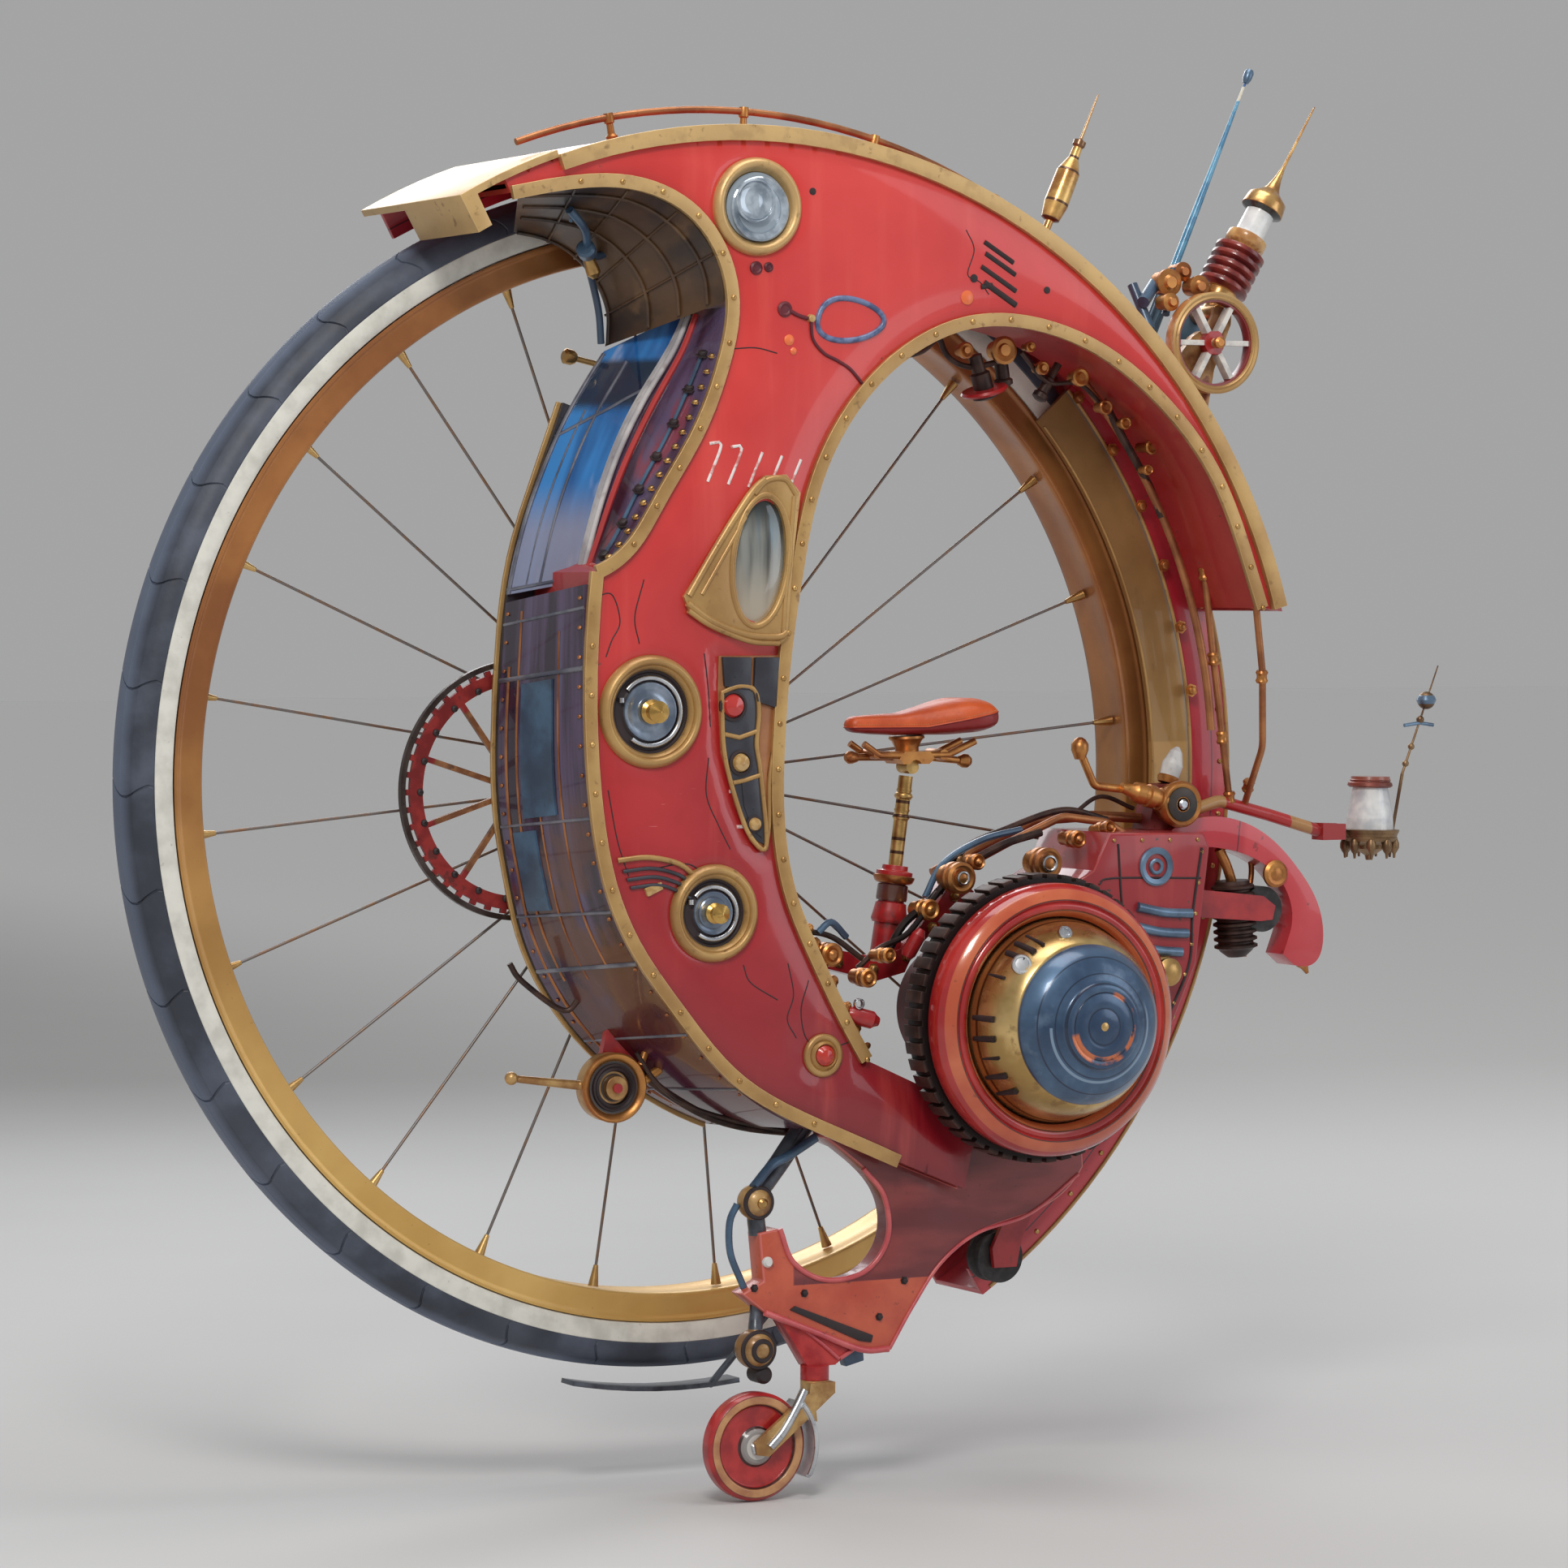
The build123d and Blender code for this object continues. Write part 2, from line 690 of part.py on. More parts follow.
with BuildPart() as drum_dome:
    top = low + 134
    stem = band_inner - drum_gap
    add(turned(drum_x, drum_z, (0, low), (stem, low), (stem, top + drum_gap),
               (133, top + drum_gap), (129, top + 14), (112, top + 32), (84, top + 45),
               (72, top + 48), (68, top + 56), (0, top + 58)))
save(drum_dome.part, "drum_dome")

# ---------------------------------------------------------------- the cockpit ahead of the saddle
box_outline = [
    (600, -190), (652, -162), (685, -99), (872, -103), (885, -128), (858, -327), (800, -450),
    (690, -570), (600, -400),
]
with BuildPart() as box_envelope:
    add(slab(box_outline, shell_far, shell_near))
    add(ring(drum_x, drum_z, 0, housing_radius, shell_far, shell_near), mode=Mode.SUBTRACT)

with BuildPart() as cockpit_box:
    add(box_envelope.part)
    with BuildSketch(side(shell_far)):
        with BuildLine():
            Polyline(*box_outline, close=True)
        make_face()
        offset(amount=-shell_wall, kind=Kind.INTERSECTION)
        with Locations((drum_x, drum_z)):
            Circle(housing_radius + shell_wall, mode=Mode.SUBTRACT)
    extrude(amount=shell_near - shell_far - shell_wall, mode=Mode.SUBTRACT)
    top_edges = cockpit_box.faces().filter_by(Axis.Y).sort_by(Axis.Y)[0].outer_wire().edges()
    fillet(top_edges.filter_by(GeomType.LINE), radius=5)
save(cockpit_box.part, "cockpit_box")

# The block that carries the crank and the lamp arm
lever_x = 894
lever_z = -58
stand_top = 158
with BuildPart() as control_stand:
    add(slab([(850, -102), (872, -103), (885, -128), (935, -128), (948, -60), (925, -22),
              (868, -26)], 104, stand_top))
    add(box_envelope.part, mode=Mode.SUBTRACT)
    add(ring(lever_x, lever_z, 0, 9, stand_top, stand_top + 36))
save(control_stand.part, "control_stand")

with BuildPart() as hand_crank:
    low = stand_top + knob_gap
    arm = low + 12
    add(ring(lever_x, lever_z, 0, 34, low, low + 24))
    add(pipe([(lever_x, arm, lever_z), (834, arm, -36), (732, arm, -24), (702, arm, 38)], 7, 14))
    add(ball(702, arm, 38, 12))
    add(rod((862, arm, -46), (812, arm, -32), 11, 10))
    add(ring(lever_x, lever_z, 0, 9 + running_clearance, low, low + 40), mode=Mode.SUBTRACT)
save(hand_crank.part, "hand_crank")

with BuildPart() as cockpit_lamp:
    add(stacked((905, 130, -23.5), (928, 130, 42), (0, 12), (8, 17), (34, 19), (58, 11), (66, 4)))
    add(control_stand.part, mode=Mode.SUBTRACT)
save(cockpit_lamp.part, "cockpit_lamp")

knuckle = (1243, 150, -114)
with BuildPart() as lamp_arm:
    add(pipe([(950, 132, -74), (1010, 132, -56), (1110, 136, -82), (1212, 150, -113)], 11, 40))
    add(ring(knuckle[0], knuckle[2], 0, 6, 132, 168))
    for low in (132, 160):
        add(slab([(1206, -128), (1206, -98), (1254, -100), (1254, -128)], low, low + 8))
    add(slab([(1206, -128), (1206, -98), (1222, -99), (1222, -128)], 132, 168))
    add(control_stand.part, mode=Mode.SUBTRACT)
save(lamp_arm.part, "lamp_arm")

with BuildPart() as lamp_base:
    add(ring(knuckle[0], knuckle[2], 0, 14, 141, 159))
    add(rod((knuckle[0] + 8, 150, knuckle[2]), (1305, 150, -136), 8))
    add(stacked((1316, 150, -152), (1318, 150, -16), (0, 14), (12, 26), (20, 46), (40, 52)))
    add(rod((1364, 150, -122), (1386, 150, -14), 3))
    add(rod((1386, 150, -14), (1462, 150, 178), 2.5, 1.2))
    for x, z, radius in ((1393, 4, 6), (1405, 34, 6), (1424, 82, 7), (1437, 116, 16)):
        add(ball(x, 150, z, radius))
    add(ring(knuckle[0], knuckle[2], 0, 6 + running_clearance, 130, 170), mode=Mode.SUBTRACT)
save(lamp_base.part, "lamp_base")

with BuildPart() as lamp_shade:
    add(stacked((1316.6, 150, -111.5), (1318, 150, -16), (0, 42), (20, 41), (60, 34), (82, 30),
                (86, 36), (94, 34)))
save(lamp_shade.part, "lamp_shade")

with BuildPart() as claw_fender:
    with BuildSketch(side(122)):
        with BuildLine():
            Spline((880, -106), (985, -82), (1075, -112), (1150, -180), (1198, -270),
                   (1188, -338), (1140, -346))
            Polyline((1140, -346), (1116, -326), (1130, -290))
            Spline((1130, -290), (1132, -238), (1100, -185), (1040, -150), (960, -134), (880, -136))
            Line((880, -136), (880, -106))
        make_face()
    extrude(amount=56)
    add(box_envelope.part, mode=Mode.SUBTRACT)
    add(control_stand.part, mode=Mode.SUBTRACT)
    add(lamp_arm.part, mode=Mode.SUBTRACT)
save(claw_fender.part, "claw_fender")

pin_radius = 8
tail_wheel = (1078, -246)
guide_wheel = (554, -830)
winch_axis = (-196, -505)
with BuildPart() as tail_roller:
    add(ring(*tail_wheel, pin_radius + running_clearance, 40, 130, 170))
save(tail_roller.part, "tail_roller")

with BuildPart() as guide_roller:
    bore = pin_radius + running_clearance
    add(turned(*guide_wheel, (bore, 118), (44, 118), (44, 126), (38, 132), (38, 146),
               (44, 152), (44, 158), (bore, 158)))
save(guide_roller.part, "guide_roller")

with BuildPart() as winch:
    add(ring(*winch_axis, pin_radius + running_clearance, 57, 152, 178))
    add(ring(*winch_axis, pin_radius + running_clearance, 20, 178, 192))
    add(rod((winch_axis[0] - 50, 165, winch_axis[1] + 4), (-372, 165, -484), 8, 6))
    add(ball(-376, 165, -483.5, 11))
save(winch.part, "winch")

with BuildPart() as limb_envelope:
    add(skin(casing_near, shell_near, casing_far, shell_far, (260, 0)))

with BuildPart() as small_brackets:
    # Behind the tail roller
    add(slab([(868, -200), (1070, -222), (1096, -240), (1090, -264), (1066, -266),
              (862, -250)], 174, 184))
    add(ring(*tail_wheel, 0, pin_radius, 128, 174))
    # Over the guide roller
    add(slab([(570, -530), (640, -500), (655, -660), (588, -800), (578, -846), (534, -846),
              (530, -812), (604, -668)], 162, 172))
    add(ring(*guide_wheel, 0, pin_radius, 116, 162))
    # Beside the winch
    add(slab([(-218, -522), (-176, -528), (-60, -480), (-100, -400), (-190, -400)], 134, 148))
    add(ring(*winch_axis, 0, pin_radius, 148, 196))
    add(box_envelope.part, mode=Mode.SUBTRACT)
    add(limb_envelope.part, mode=Mode.SUBTRACT)
    add(shell_envelope.part, mode=Mode.SUBTRACT)
    add(ring(drum_x, drum_z, 0, housing_radius, shell_far, housing_near), mode=Mode.SUBTRACT)
save(small_brackets.part, "small_brackets")

# ---------------------------------------------------------------- the saddle
with BuildPart() as seat_cradle:
    add(slab([(60, -285), (200, -322), (300, -346), (360, -332), (430, -262), (490, -200), (455, -170),
              (415, -222), (352, -292), (300, -306), (200, -286), (60, -245)],
             seat_depth - 26, seat_depth + 26))
    add(shell_envelope.part, mode=Mode.SUBTRACT)
    add(ring(drum_x, drum_z, 0, housing_radius, shell_far, shell_near), mode=Mode.SUBTRACT)
    slope_x = (post_head[0] - post_foot[0]) / (post_head[1] - post_foot[1])
    tube_foot_x = post_foot[0] + slope_x * (tube_foot_z - post_foot[1])
    foot = (tube_foot_x, seat_depth, tube_foot_z)
    head = (tube_foot_x + slope_x * tube_length, seat_depth, tube_foot_z + tube_length)
    wide = tube_outer_radius
    add(stacked(foot, head, (0, wide + 4), (60, wide + 2), (62, wide), (128, wide), (130, wide + 9),
                (140, wide + 9), (142, wide), (tube_length, wide)))
    low = (tube_foot_x + slope_x * 2, seat_depth, tube_foot_z + 2)
    high = (tube_foot_x + slope_x * 200, seat_depth, tube_foot_z + 200)
    add(rod(low, high, post_radius + running_clearance), mode=Mode.SUBTRACT)
save(seat_cradle.part, "seat_cradle")

saddle_pivot = (374, 14)
knuckle_radius = 12
with BuildPart() as seat_post:
    foot = (post_foot[0], seat_depth, post_foot[1])
    head = (post_head[0], seat_depth, post_head[1])
    add(rod(foot, head, post_radius))
    add(ring(*saddle_pivot, 0, knuckle_radius, seat_depth - 18, seat_depth + 18))
save(seat_post.part, "seat_post")

rail_spread = 24
with BuildPart() as saddle_frame:
    add(slab([(350, 19), (400, 19), (410, 28), (402, 40), (352, 40), (342, 28)],
             seat_depth - 30, seat_depth + 30))
    clear = knuckle_radius + running_clearance
    add(ring(*saddle_pivot, 0, clear, seat_depth - 40, seat_depth + 40), mode=Mode.SUBTRACT)
    for depth in (seat_depth - rail_spread, seat_depth + rail_spread):
        add(pipe([(276, depth, 54), (306, depth, 34), (440, depth, 34), (492, depth, 56)], 6, 16))
    add(rod((266, seat_depth, 31), (346, seat_depth, 31), 6, 7))
    add(rod((404, seat_depth, 31), (484, seat_depth, 22), 7, 6))
save(saddle_frame.part, "saddle_frame")

with BuildPart() as saddle:
    with BuildSketch(side(seat_depth - saddle_width / 2)):
        with BuildLine():
            Spline((256, 84), (262, 100), (300, 104), (350, 106), (400, 119), (460, 133),
                   (512, 128), (530, 106))
            Spline((530, 106), (522, 80), (440, 66.5), (340, 66.5), (262, 72), (256, 84))
        make_face()
    extrude(amount=saddle_width)
    # Narrow at the nose and wide at the back, seen from above
    half_plan = [(254, 20), (300, 24), (380, 40), (470, 74), (520, 66), (532, 0)]
    with BuildSketch(Plane.XY.offset(50)):
        with BuildLine():
            near_side = [(x, -seat_depth - half) for x, half in half_plan]
            far_side = [(x, half - seat_depth) for x, half in half_plan]
            Spline(*near_side)
            Spline(*far_side)
            Line(near_side[0], far_side[0])
        make_face()
    extrude(amount=120, mode=Mode.INTERSECT)
save(saddle.part, "saddle")

# ---------------------------------------------------------------- the lower bracket and the caster
bracket_depth = 250
bracket_half = 22
with BuildPart() as lower_bracket:
    with BuildSketch(side(bracket_depth - bracket_half)):
        with BuildLine():
            Polyline((136, -540), (640, -520), (650, -668))
            Spline((650, -668), (545, -742), (441, -770), (371, -816), (318, -884), (272, -955))
            Polyline((272, -955), (216, -952), (36, -880), (-6, -847), (34, -828), (26, -748),
                     (64, -742))
            Spline((64, -742), (90, -800), (150, -832), (225, -822), (268, -770), (262, -700),
                   (222, -650), (150, -596))
            Line((150, -596), (136, -540))
        make_face()
    extrude(amount=2 * bracket_half)
    add(shell_envelope.part, mode=Mode.SUBTRACT)
    add(limb_envelope.part, mode=Mode.SUBTRACT)
    add(ring(drum_x, drum_z, 0, housing_radius, shell_far, housing_near), mode=Mode.SUBTRACT)
    bracket_plate = lower_bracket.part

swivel_x = 135
swivel_head = -1004
with BuildPart() as bracket_braces:
    # The dark arm from the belly to the upper ball, and the link down to the bracket
    arm = [(150, bracket_depth - 40, -570), (96, bracket_depth - 40, -640),
           (28, bracket_depth - 10, -698)]
    add(pipe(arm, 17, 30))
    add(ball(28, bracket_depth, -698, 29))
    add(rod((28, bracket_depth, -704), (34, bracket_depth, -752), 15))
    # The V plate that holds the caster's swivel, and the damper ball beside it
    add(slab([(48, -862), (236, -930), (172, -976), (120, -976)],
             bracket_depth - 16, bracket_depth + 16))
    add(rod((swivel_x, caster_depth, -974), (swivel_x, caster_depth, swivel_head + 6), 24))
    add(ball(28, bracket_depth, -942, 33))
    add(rod((28, bracket_depth, -930), (34, bracket_depth, -862), 12))
    # The scraper bar under the tyre, on a rod from the bracket's back
    add(sector(1028, 1036, -101.5, -84, 0, 46))
    add(rod((60, 30, -1033), (60, bracket_depth - 18, -890), 6))
    add(shell_envelope.part, mode=Mode.SUBTRACT)
    add(limb_envelope.part, mode=Mode.SUBTRACT)
    add(bracket_plate, mode=Mode.SUBTRACT)
save(lower_bracket.part, "lower_bracket")
save(bracket_braces.part, "bracket_braces")

with BuildPart() as caster_fork:
    collar_top = (swivel_x, caster_depth, swivel_head + 5.5)
    add(rod(collar_top, (swivel_x, caster_depth, swivel_head - 12), 24))
    fork_low = caster_depth + caster_width / 2 + 3
    fork_high = fork_low + 10
    add(slab([(110, -1016), (112, -1000), (158, -1000), (158, -1018), (34, -1116), (12, -1112),
              (8, -1092)], fork_low, fork_high))
    add(slab([(112, -1016), (112, -1000), (158, -1000), (158, -1016)], caster_depth, fork_low))
    add(ring(caster_x, caster_z, 0, pin_radius, caster_depth - caster_width / 2 - 6, fork_low))
    # The fender over the wheel's front
    with BuildSketch(face_at(caster_x, caster_z, caster_depth - 22)):
        with BuildLine():
            CenterArc((0, 0), caster_radius + 16, -32, 74)
            CenterArc((0, 0), caster_radius + 8, -32, 74)
            for turn in (-32, 42):
                Line(polar(caster_radius + 8, turn), polar(caster_radius + 16, turn))
        make_face()
    extrude(amount=fork_high - caster_depth + 22)
    add(slab([(74, -1052), (124, -1064), (122, -1046), (96, -1030)], fork_low, fork_high))
save(caster_fork.part, "caster_fork")

with BuildPart() as caster_wheel:
    low = caster_depth - caster_width / 2
    high = caster_depth + caster_width / 2
    bore = pin_radius + running_clearance
    add(turned(caster_x, caster_z, (bore, low), (26, low), (34, low + 8), (66, low + 8), (72, low),
               (84, low), (caster_radius, low + 7), (caster_radius, high - 7), (84, high),
               (72, high), (66, high - 8), (34, high - 8), (26, high), (bore, high)))
save(caster_wheel.part, "caster_wheel")

# ---------------------------------------------------------------- pipes, masts and the flask
rail_radius = 1104
pipe_depth = 190
with BuildPart() as copper_pipes:
    with BuildLine(side(pipe_depth)) as rail_path:
        CenterArc((0, 0), rail_radius, 43.5, 66.5)
    with BuildSketch(Plane(origin=rail_path.line @ 0, z_dir=rail_path.line % 0)):
        Circle(6)
    sweep(path=rail_path.line)
    for angle in (49, 62, 75, 88, 101):
        x, z = polar(shell_outer_radius, angle)
        top_x, top_z = polar(rail_radius, angle)
        add(rod((x, pipe_depth, z), (top_x, pipe_depth, top_z), 5))
    # Two rods from the horn's tip down to the lamp arm
    add(pipe([(968, 150, 345), (986, 150, 200), (1008, 146, 60), (1032, 134, -58)], 6, 60))
    add(pipe([(1000, 262, 300), (1018, 258, 170), (1040, 226, 40), (1062, 134, -66)], 6, 60))
    # The pipe inside the arc, from the horn's underside to the control stand
    with BuildLine(side(pipe_depth - 40)) as inside_path:
        CenterArc((0, 0), 985, 4, 40)
    with BuildSketch(Plane(origin=inside_path.line @ 0, z_dir=inside_path.line % 0)):
        Circle(7)
    sweep(path=inside_path.line)
    # Engine pipes over the drum to the cockpit's top
    add(pipe([(440, 120, -170), (520, 120, -132), (640, 120, -84), (760, 120, -78),
              (856, 120, -84)], 9, 60))
    add(pipe([(446, 200, -160), (540, 200, -118), (650, 200, -74), (740, 200, -86),
              (780, 200, -110)], 7, 50))
    for piece in (shell_envelope, box_envelope, control_stand, lamp_arm, claw_fender,
                  seat_cradle, drum_housing, body_trims):
        add(piece.part, mode=Mode.SUBTRACT)
save(copper_pipes.part, "copper_pipes")

pulley = (913, 737)
pulley_low = 246
pulley_high = 266
mast_foot = (946, 195, 790)
mast_head = (1163, 195, 1156)
signal_foot = (826, 150, 699)
signal_head = (1059, 150, 1220)
with BuildPart() as oil_flask:
    add(stacked((588, 216, 886), (708, 216, 1157), (0, 12), (18, 12), (20, 7), (58, 7), (62, 16),
                (90, 21), (150, 20), (176, 9), (196, 8), (200, 11), (208, 11), (212, 3),
                (296, 1.5)))
    add(shell_envelope.part, mode=Mode.SUBTRACT)
    add(copper_pipes.part, mode=Mode.SUBTRACT)
save(oil_flask.part, "oil_flask")

with BuildPart() as mast_base:
    add(slab([(800, 640), (900, 540), (934, 722), (930, 752), (900, 758), (884, 748)], 224, 240))
    add(ring(*pulley, 0, pin_radius, 240, pulley_high + 8))
    cheek = [(812, 640), (880, 580), (962, 770), (964, 800), (930, 800), (924, 782)]
    for low in (150, 232):
        add(slab(cheek, low, low + 8))
    add(slab([(812, 640), (880, 580), (920, 672), (874, 710)], 158, 232))
    add(ring(mast_foot[0], mast_foot[2], 0, pin_radius, 158, 232))
    add(stacked(signal_foot, signal_head, (0, 18), (36, 18), (38, 14), (150, 14), (152, 18),
                (166, 18)))
    add(rod((834, 150, 716.9), signal_head, 8), mode=Mode.SUBTRACT)
    add(shell_envelope.part, mode=Mode.SUBTRACT)
    add(copper_pipes.part, mode=Mode.SUBTRACT)
save(mast_base.part, "mast_base")

with BuildPart() as pulley_wheel:
    with BuildSketch(face_at(*pulley, pulley_low)):
        Circle(87)
        Circle(70, mode=Mode.SUBTRACT)
        Circle(20)
        with PolarLocations(45, 6):
            Rectangle(54, 9)
        Circle(pin_radius + running_clearance, mode=Mode.SUBTRACT)
    extrude(amount=pulley_high - pulley_low)
save(pulley_wheel.part, "pulley_wheel")

rib_count = 5
rib_pitch = 17
with BuildPart() as insulator_mast:
    add(ring(mast_foot[0], mast_foot[2], 0, 16, 159, 231))
    ribs = []
    for start in range(48, 48 + rib_pitch * rib_count, rib_pitch):
        ribs += [(start, 33), (start + 4, 45), (start + 11, 45), (start + 15, 33)]
    add(stacked(mast_foot, mast_head, (0, 15), (26, 15), (30, 26), (46, 28), *ribs, (134, 26),
                (140, 36), (156, 36), (160, 26), (206, 25), (212, 38), (234, 35), (250, 16),
                (258, 12), (276, 7), (300, 3), (425, 1.5)))
    bore = pin_radius + running_clearance
    add(ring(mast_foot[0], mast_foot[2], 0, bore, 150, 240), mode=Mode.SUBTRACT)
save(insulator_mast.part, "insulator_mast")

with BuildPart() as signal_mast:
    add(stacked((852, 150, 757.2), signal_head, (0, 7.9), (200, 7), (320, 5), (500, 2)))
save(signal_mast.part, "signal_mast")
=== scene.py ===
import json
from math import cos, exp, hypot, pi, radians, sin

import bmesh
import bpy
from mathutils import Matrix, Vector, kdtree
from mathutils.geometry import delaunay_2d_cdt

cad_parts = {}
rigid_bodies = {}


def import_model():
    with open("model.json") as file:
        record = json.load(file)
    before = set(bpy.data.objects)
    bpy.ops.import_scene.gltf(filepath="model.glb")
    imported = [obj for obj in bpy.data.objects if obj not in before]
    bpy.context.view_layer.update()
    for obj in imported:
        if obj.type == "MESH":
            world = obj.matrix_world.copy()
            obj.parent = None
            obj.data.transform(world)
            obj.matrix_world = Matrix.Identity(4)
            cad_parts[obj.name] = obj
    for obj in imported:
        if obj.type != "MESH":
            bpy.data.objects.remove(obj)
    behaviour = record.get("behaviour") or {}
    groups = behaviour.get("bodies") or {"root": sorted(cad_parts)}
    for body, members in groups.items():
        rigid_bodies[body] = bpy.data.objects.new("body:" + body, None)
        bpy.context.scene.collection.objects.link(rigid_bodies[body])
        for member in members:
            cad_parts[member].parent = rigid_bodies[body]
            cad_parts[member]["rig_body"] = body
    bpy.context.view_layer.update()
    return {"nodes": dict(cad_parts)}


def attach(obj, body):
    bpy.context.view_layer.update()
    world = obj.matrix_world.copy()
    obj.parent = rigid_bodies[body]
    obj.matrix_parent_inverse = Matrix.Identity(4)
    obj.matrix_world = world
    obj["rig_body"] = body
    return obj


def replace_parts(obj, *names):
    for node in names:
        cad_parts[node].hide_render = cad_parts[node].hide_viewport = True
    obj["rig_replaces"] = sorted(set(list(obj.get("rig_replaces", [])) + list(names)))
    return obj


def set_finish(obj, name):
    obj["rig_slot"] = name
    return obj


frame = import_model()

# The view: a long lens from the near left, level with the axle, in soft studio light.
# The floor is a pale sheet that the caster stands on, painted paler far out in place of light.
turn_left, look_down, distance = radians(27), radians(2), 9.0
camera_data = bpy.data.cameras.new("camera")
camera_data.lens = 122.4
camera_data.sensor_width = 36
camera_data.shift_x = 0.0723
camera_data.shift_y = -0.0054
camera = bpy.data.objects.new("camera", camera_data)
camera.location = distance * Vector(
    (-sin(turn_left) * cos(look_down), -cos(turn_left) * cos(look_down), sin(look_down))
)
camera.rotation_euler = (-camera.location).to_track_quat("-Z", "Y").to_euler()
bpy.context.scene.collection.objects.link(camera)
bpy.context.scene.camera = camera

for name, place, size, power, colour in (
    ("key", (-3.0, -5.0, 4.6), 1.8, 215, (1.0, 0.97, 0.93)),
    ("top", (0.4, -0.8, 4.4), 2.6, 85, (1.0, 0.98, 0.96)),
    ("fill", (4.6, -4.4, 1.2), 3.0, 45, (0.86, 0.92, 1.0)),
    ("back", (1.5, 4.8, 3.0), 3.0, 100, (0.95, 0.97, 1.0)),
):
    lamp = bpy.data.lights.new(name, "AREA")
    lamp.size = size
    lamp.energy = power
    lamp.color = colour
    light = bpy.data.objects.new(name, lamp)
    light.location = place
    light.rotation_euler = (-Vector(place)).to_track_quat("-Z", "Y").to_euler()
    bpy.context.scene.collection.objects.link(light)
world = bpy.data.worlds.new("studio")
world.use_nodes = True
world.node_tree.nodes["Background"].inputs["Color"].default_value = (0.60, 0.60, 0.60, 1)
world.node_tree.nodes["Background"].inputs["Strength"].default_value = 0.62
bpy.context.scene.world = world
bpy.context.scene.view_settings.view_transform = "Standard"


class Number:
    """A number in a finish's node tree. Arithmetic on it adds Math nodes."""

    def __init__(self, finish, socket):
        self.finish = finish
        self.socket = socket

    def math(self, operation, *others):
        node = self.finish.node("ShaderNodeMath", {"operation": operation}, self, *others)
        return Number(self.finish, node.outputs[0])

    def __add__(self, other):
        return self.math("ADD", other)

    def __radd__(self, other):
        return self.math("ADD", other)

    def __sub__(self, other):
        return self.math("SUBTRACT", other)

    def __rsub__(self, other):
        return self.math("MULTIPLY_ADD", -1.0, other)

    def __mul__(self, other):
        return self.math("MULTIPLY", other)

    def __rmul__(self, other):
        return self.math("MULTIPLY", other)

    def __truediv__(self, other):
        return self.math("DIVIDE", other)

    def __pow__(self, other):
        return self.math("POWER", other)

    def rising(self, low=0.35, high=0.65):
        """0 below low, 1 above high and smooth between them."""
        settings = {"interpolation_type": "SMOOTHSTEP"}
        node = self.finish.node("ShaderNodeMapRange", settings, self, low, high)
        return Number(self.finish, node.outputs[0])

    def band(self, low, high, soft):
        """1 between low and high, 0 outside, with soft edges."""
        return self.rising(low - soft, low) * (1 - self.rising(high, high + soft))

    def near(self, middle, reach, soft):
        """1 within reach of a middle value, with soft edges."""
        return self.band(middle - reach, middle + reach, soft)


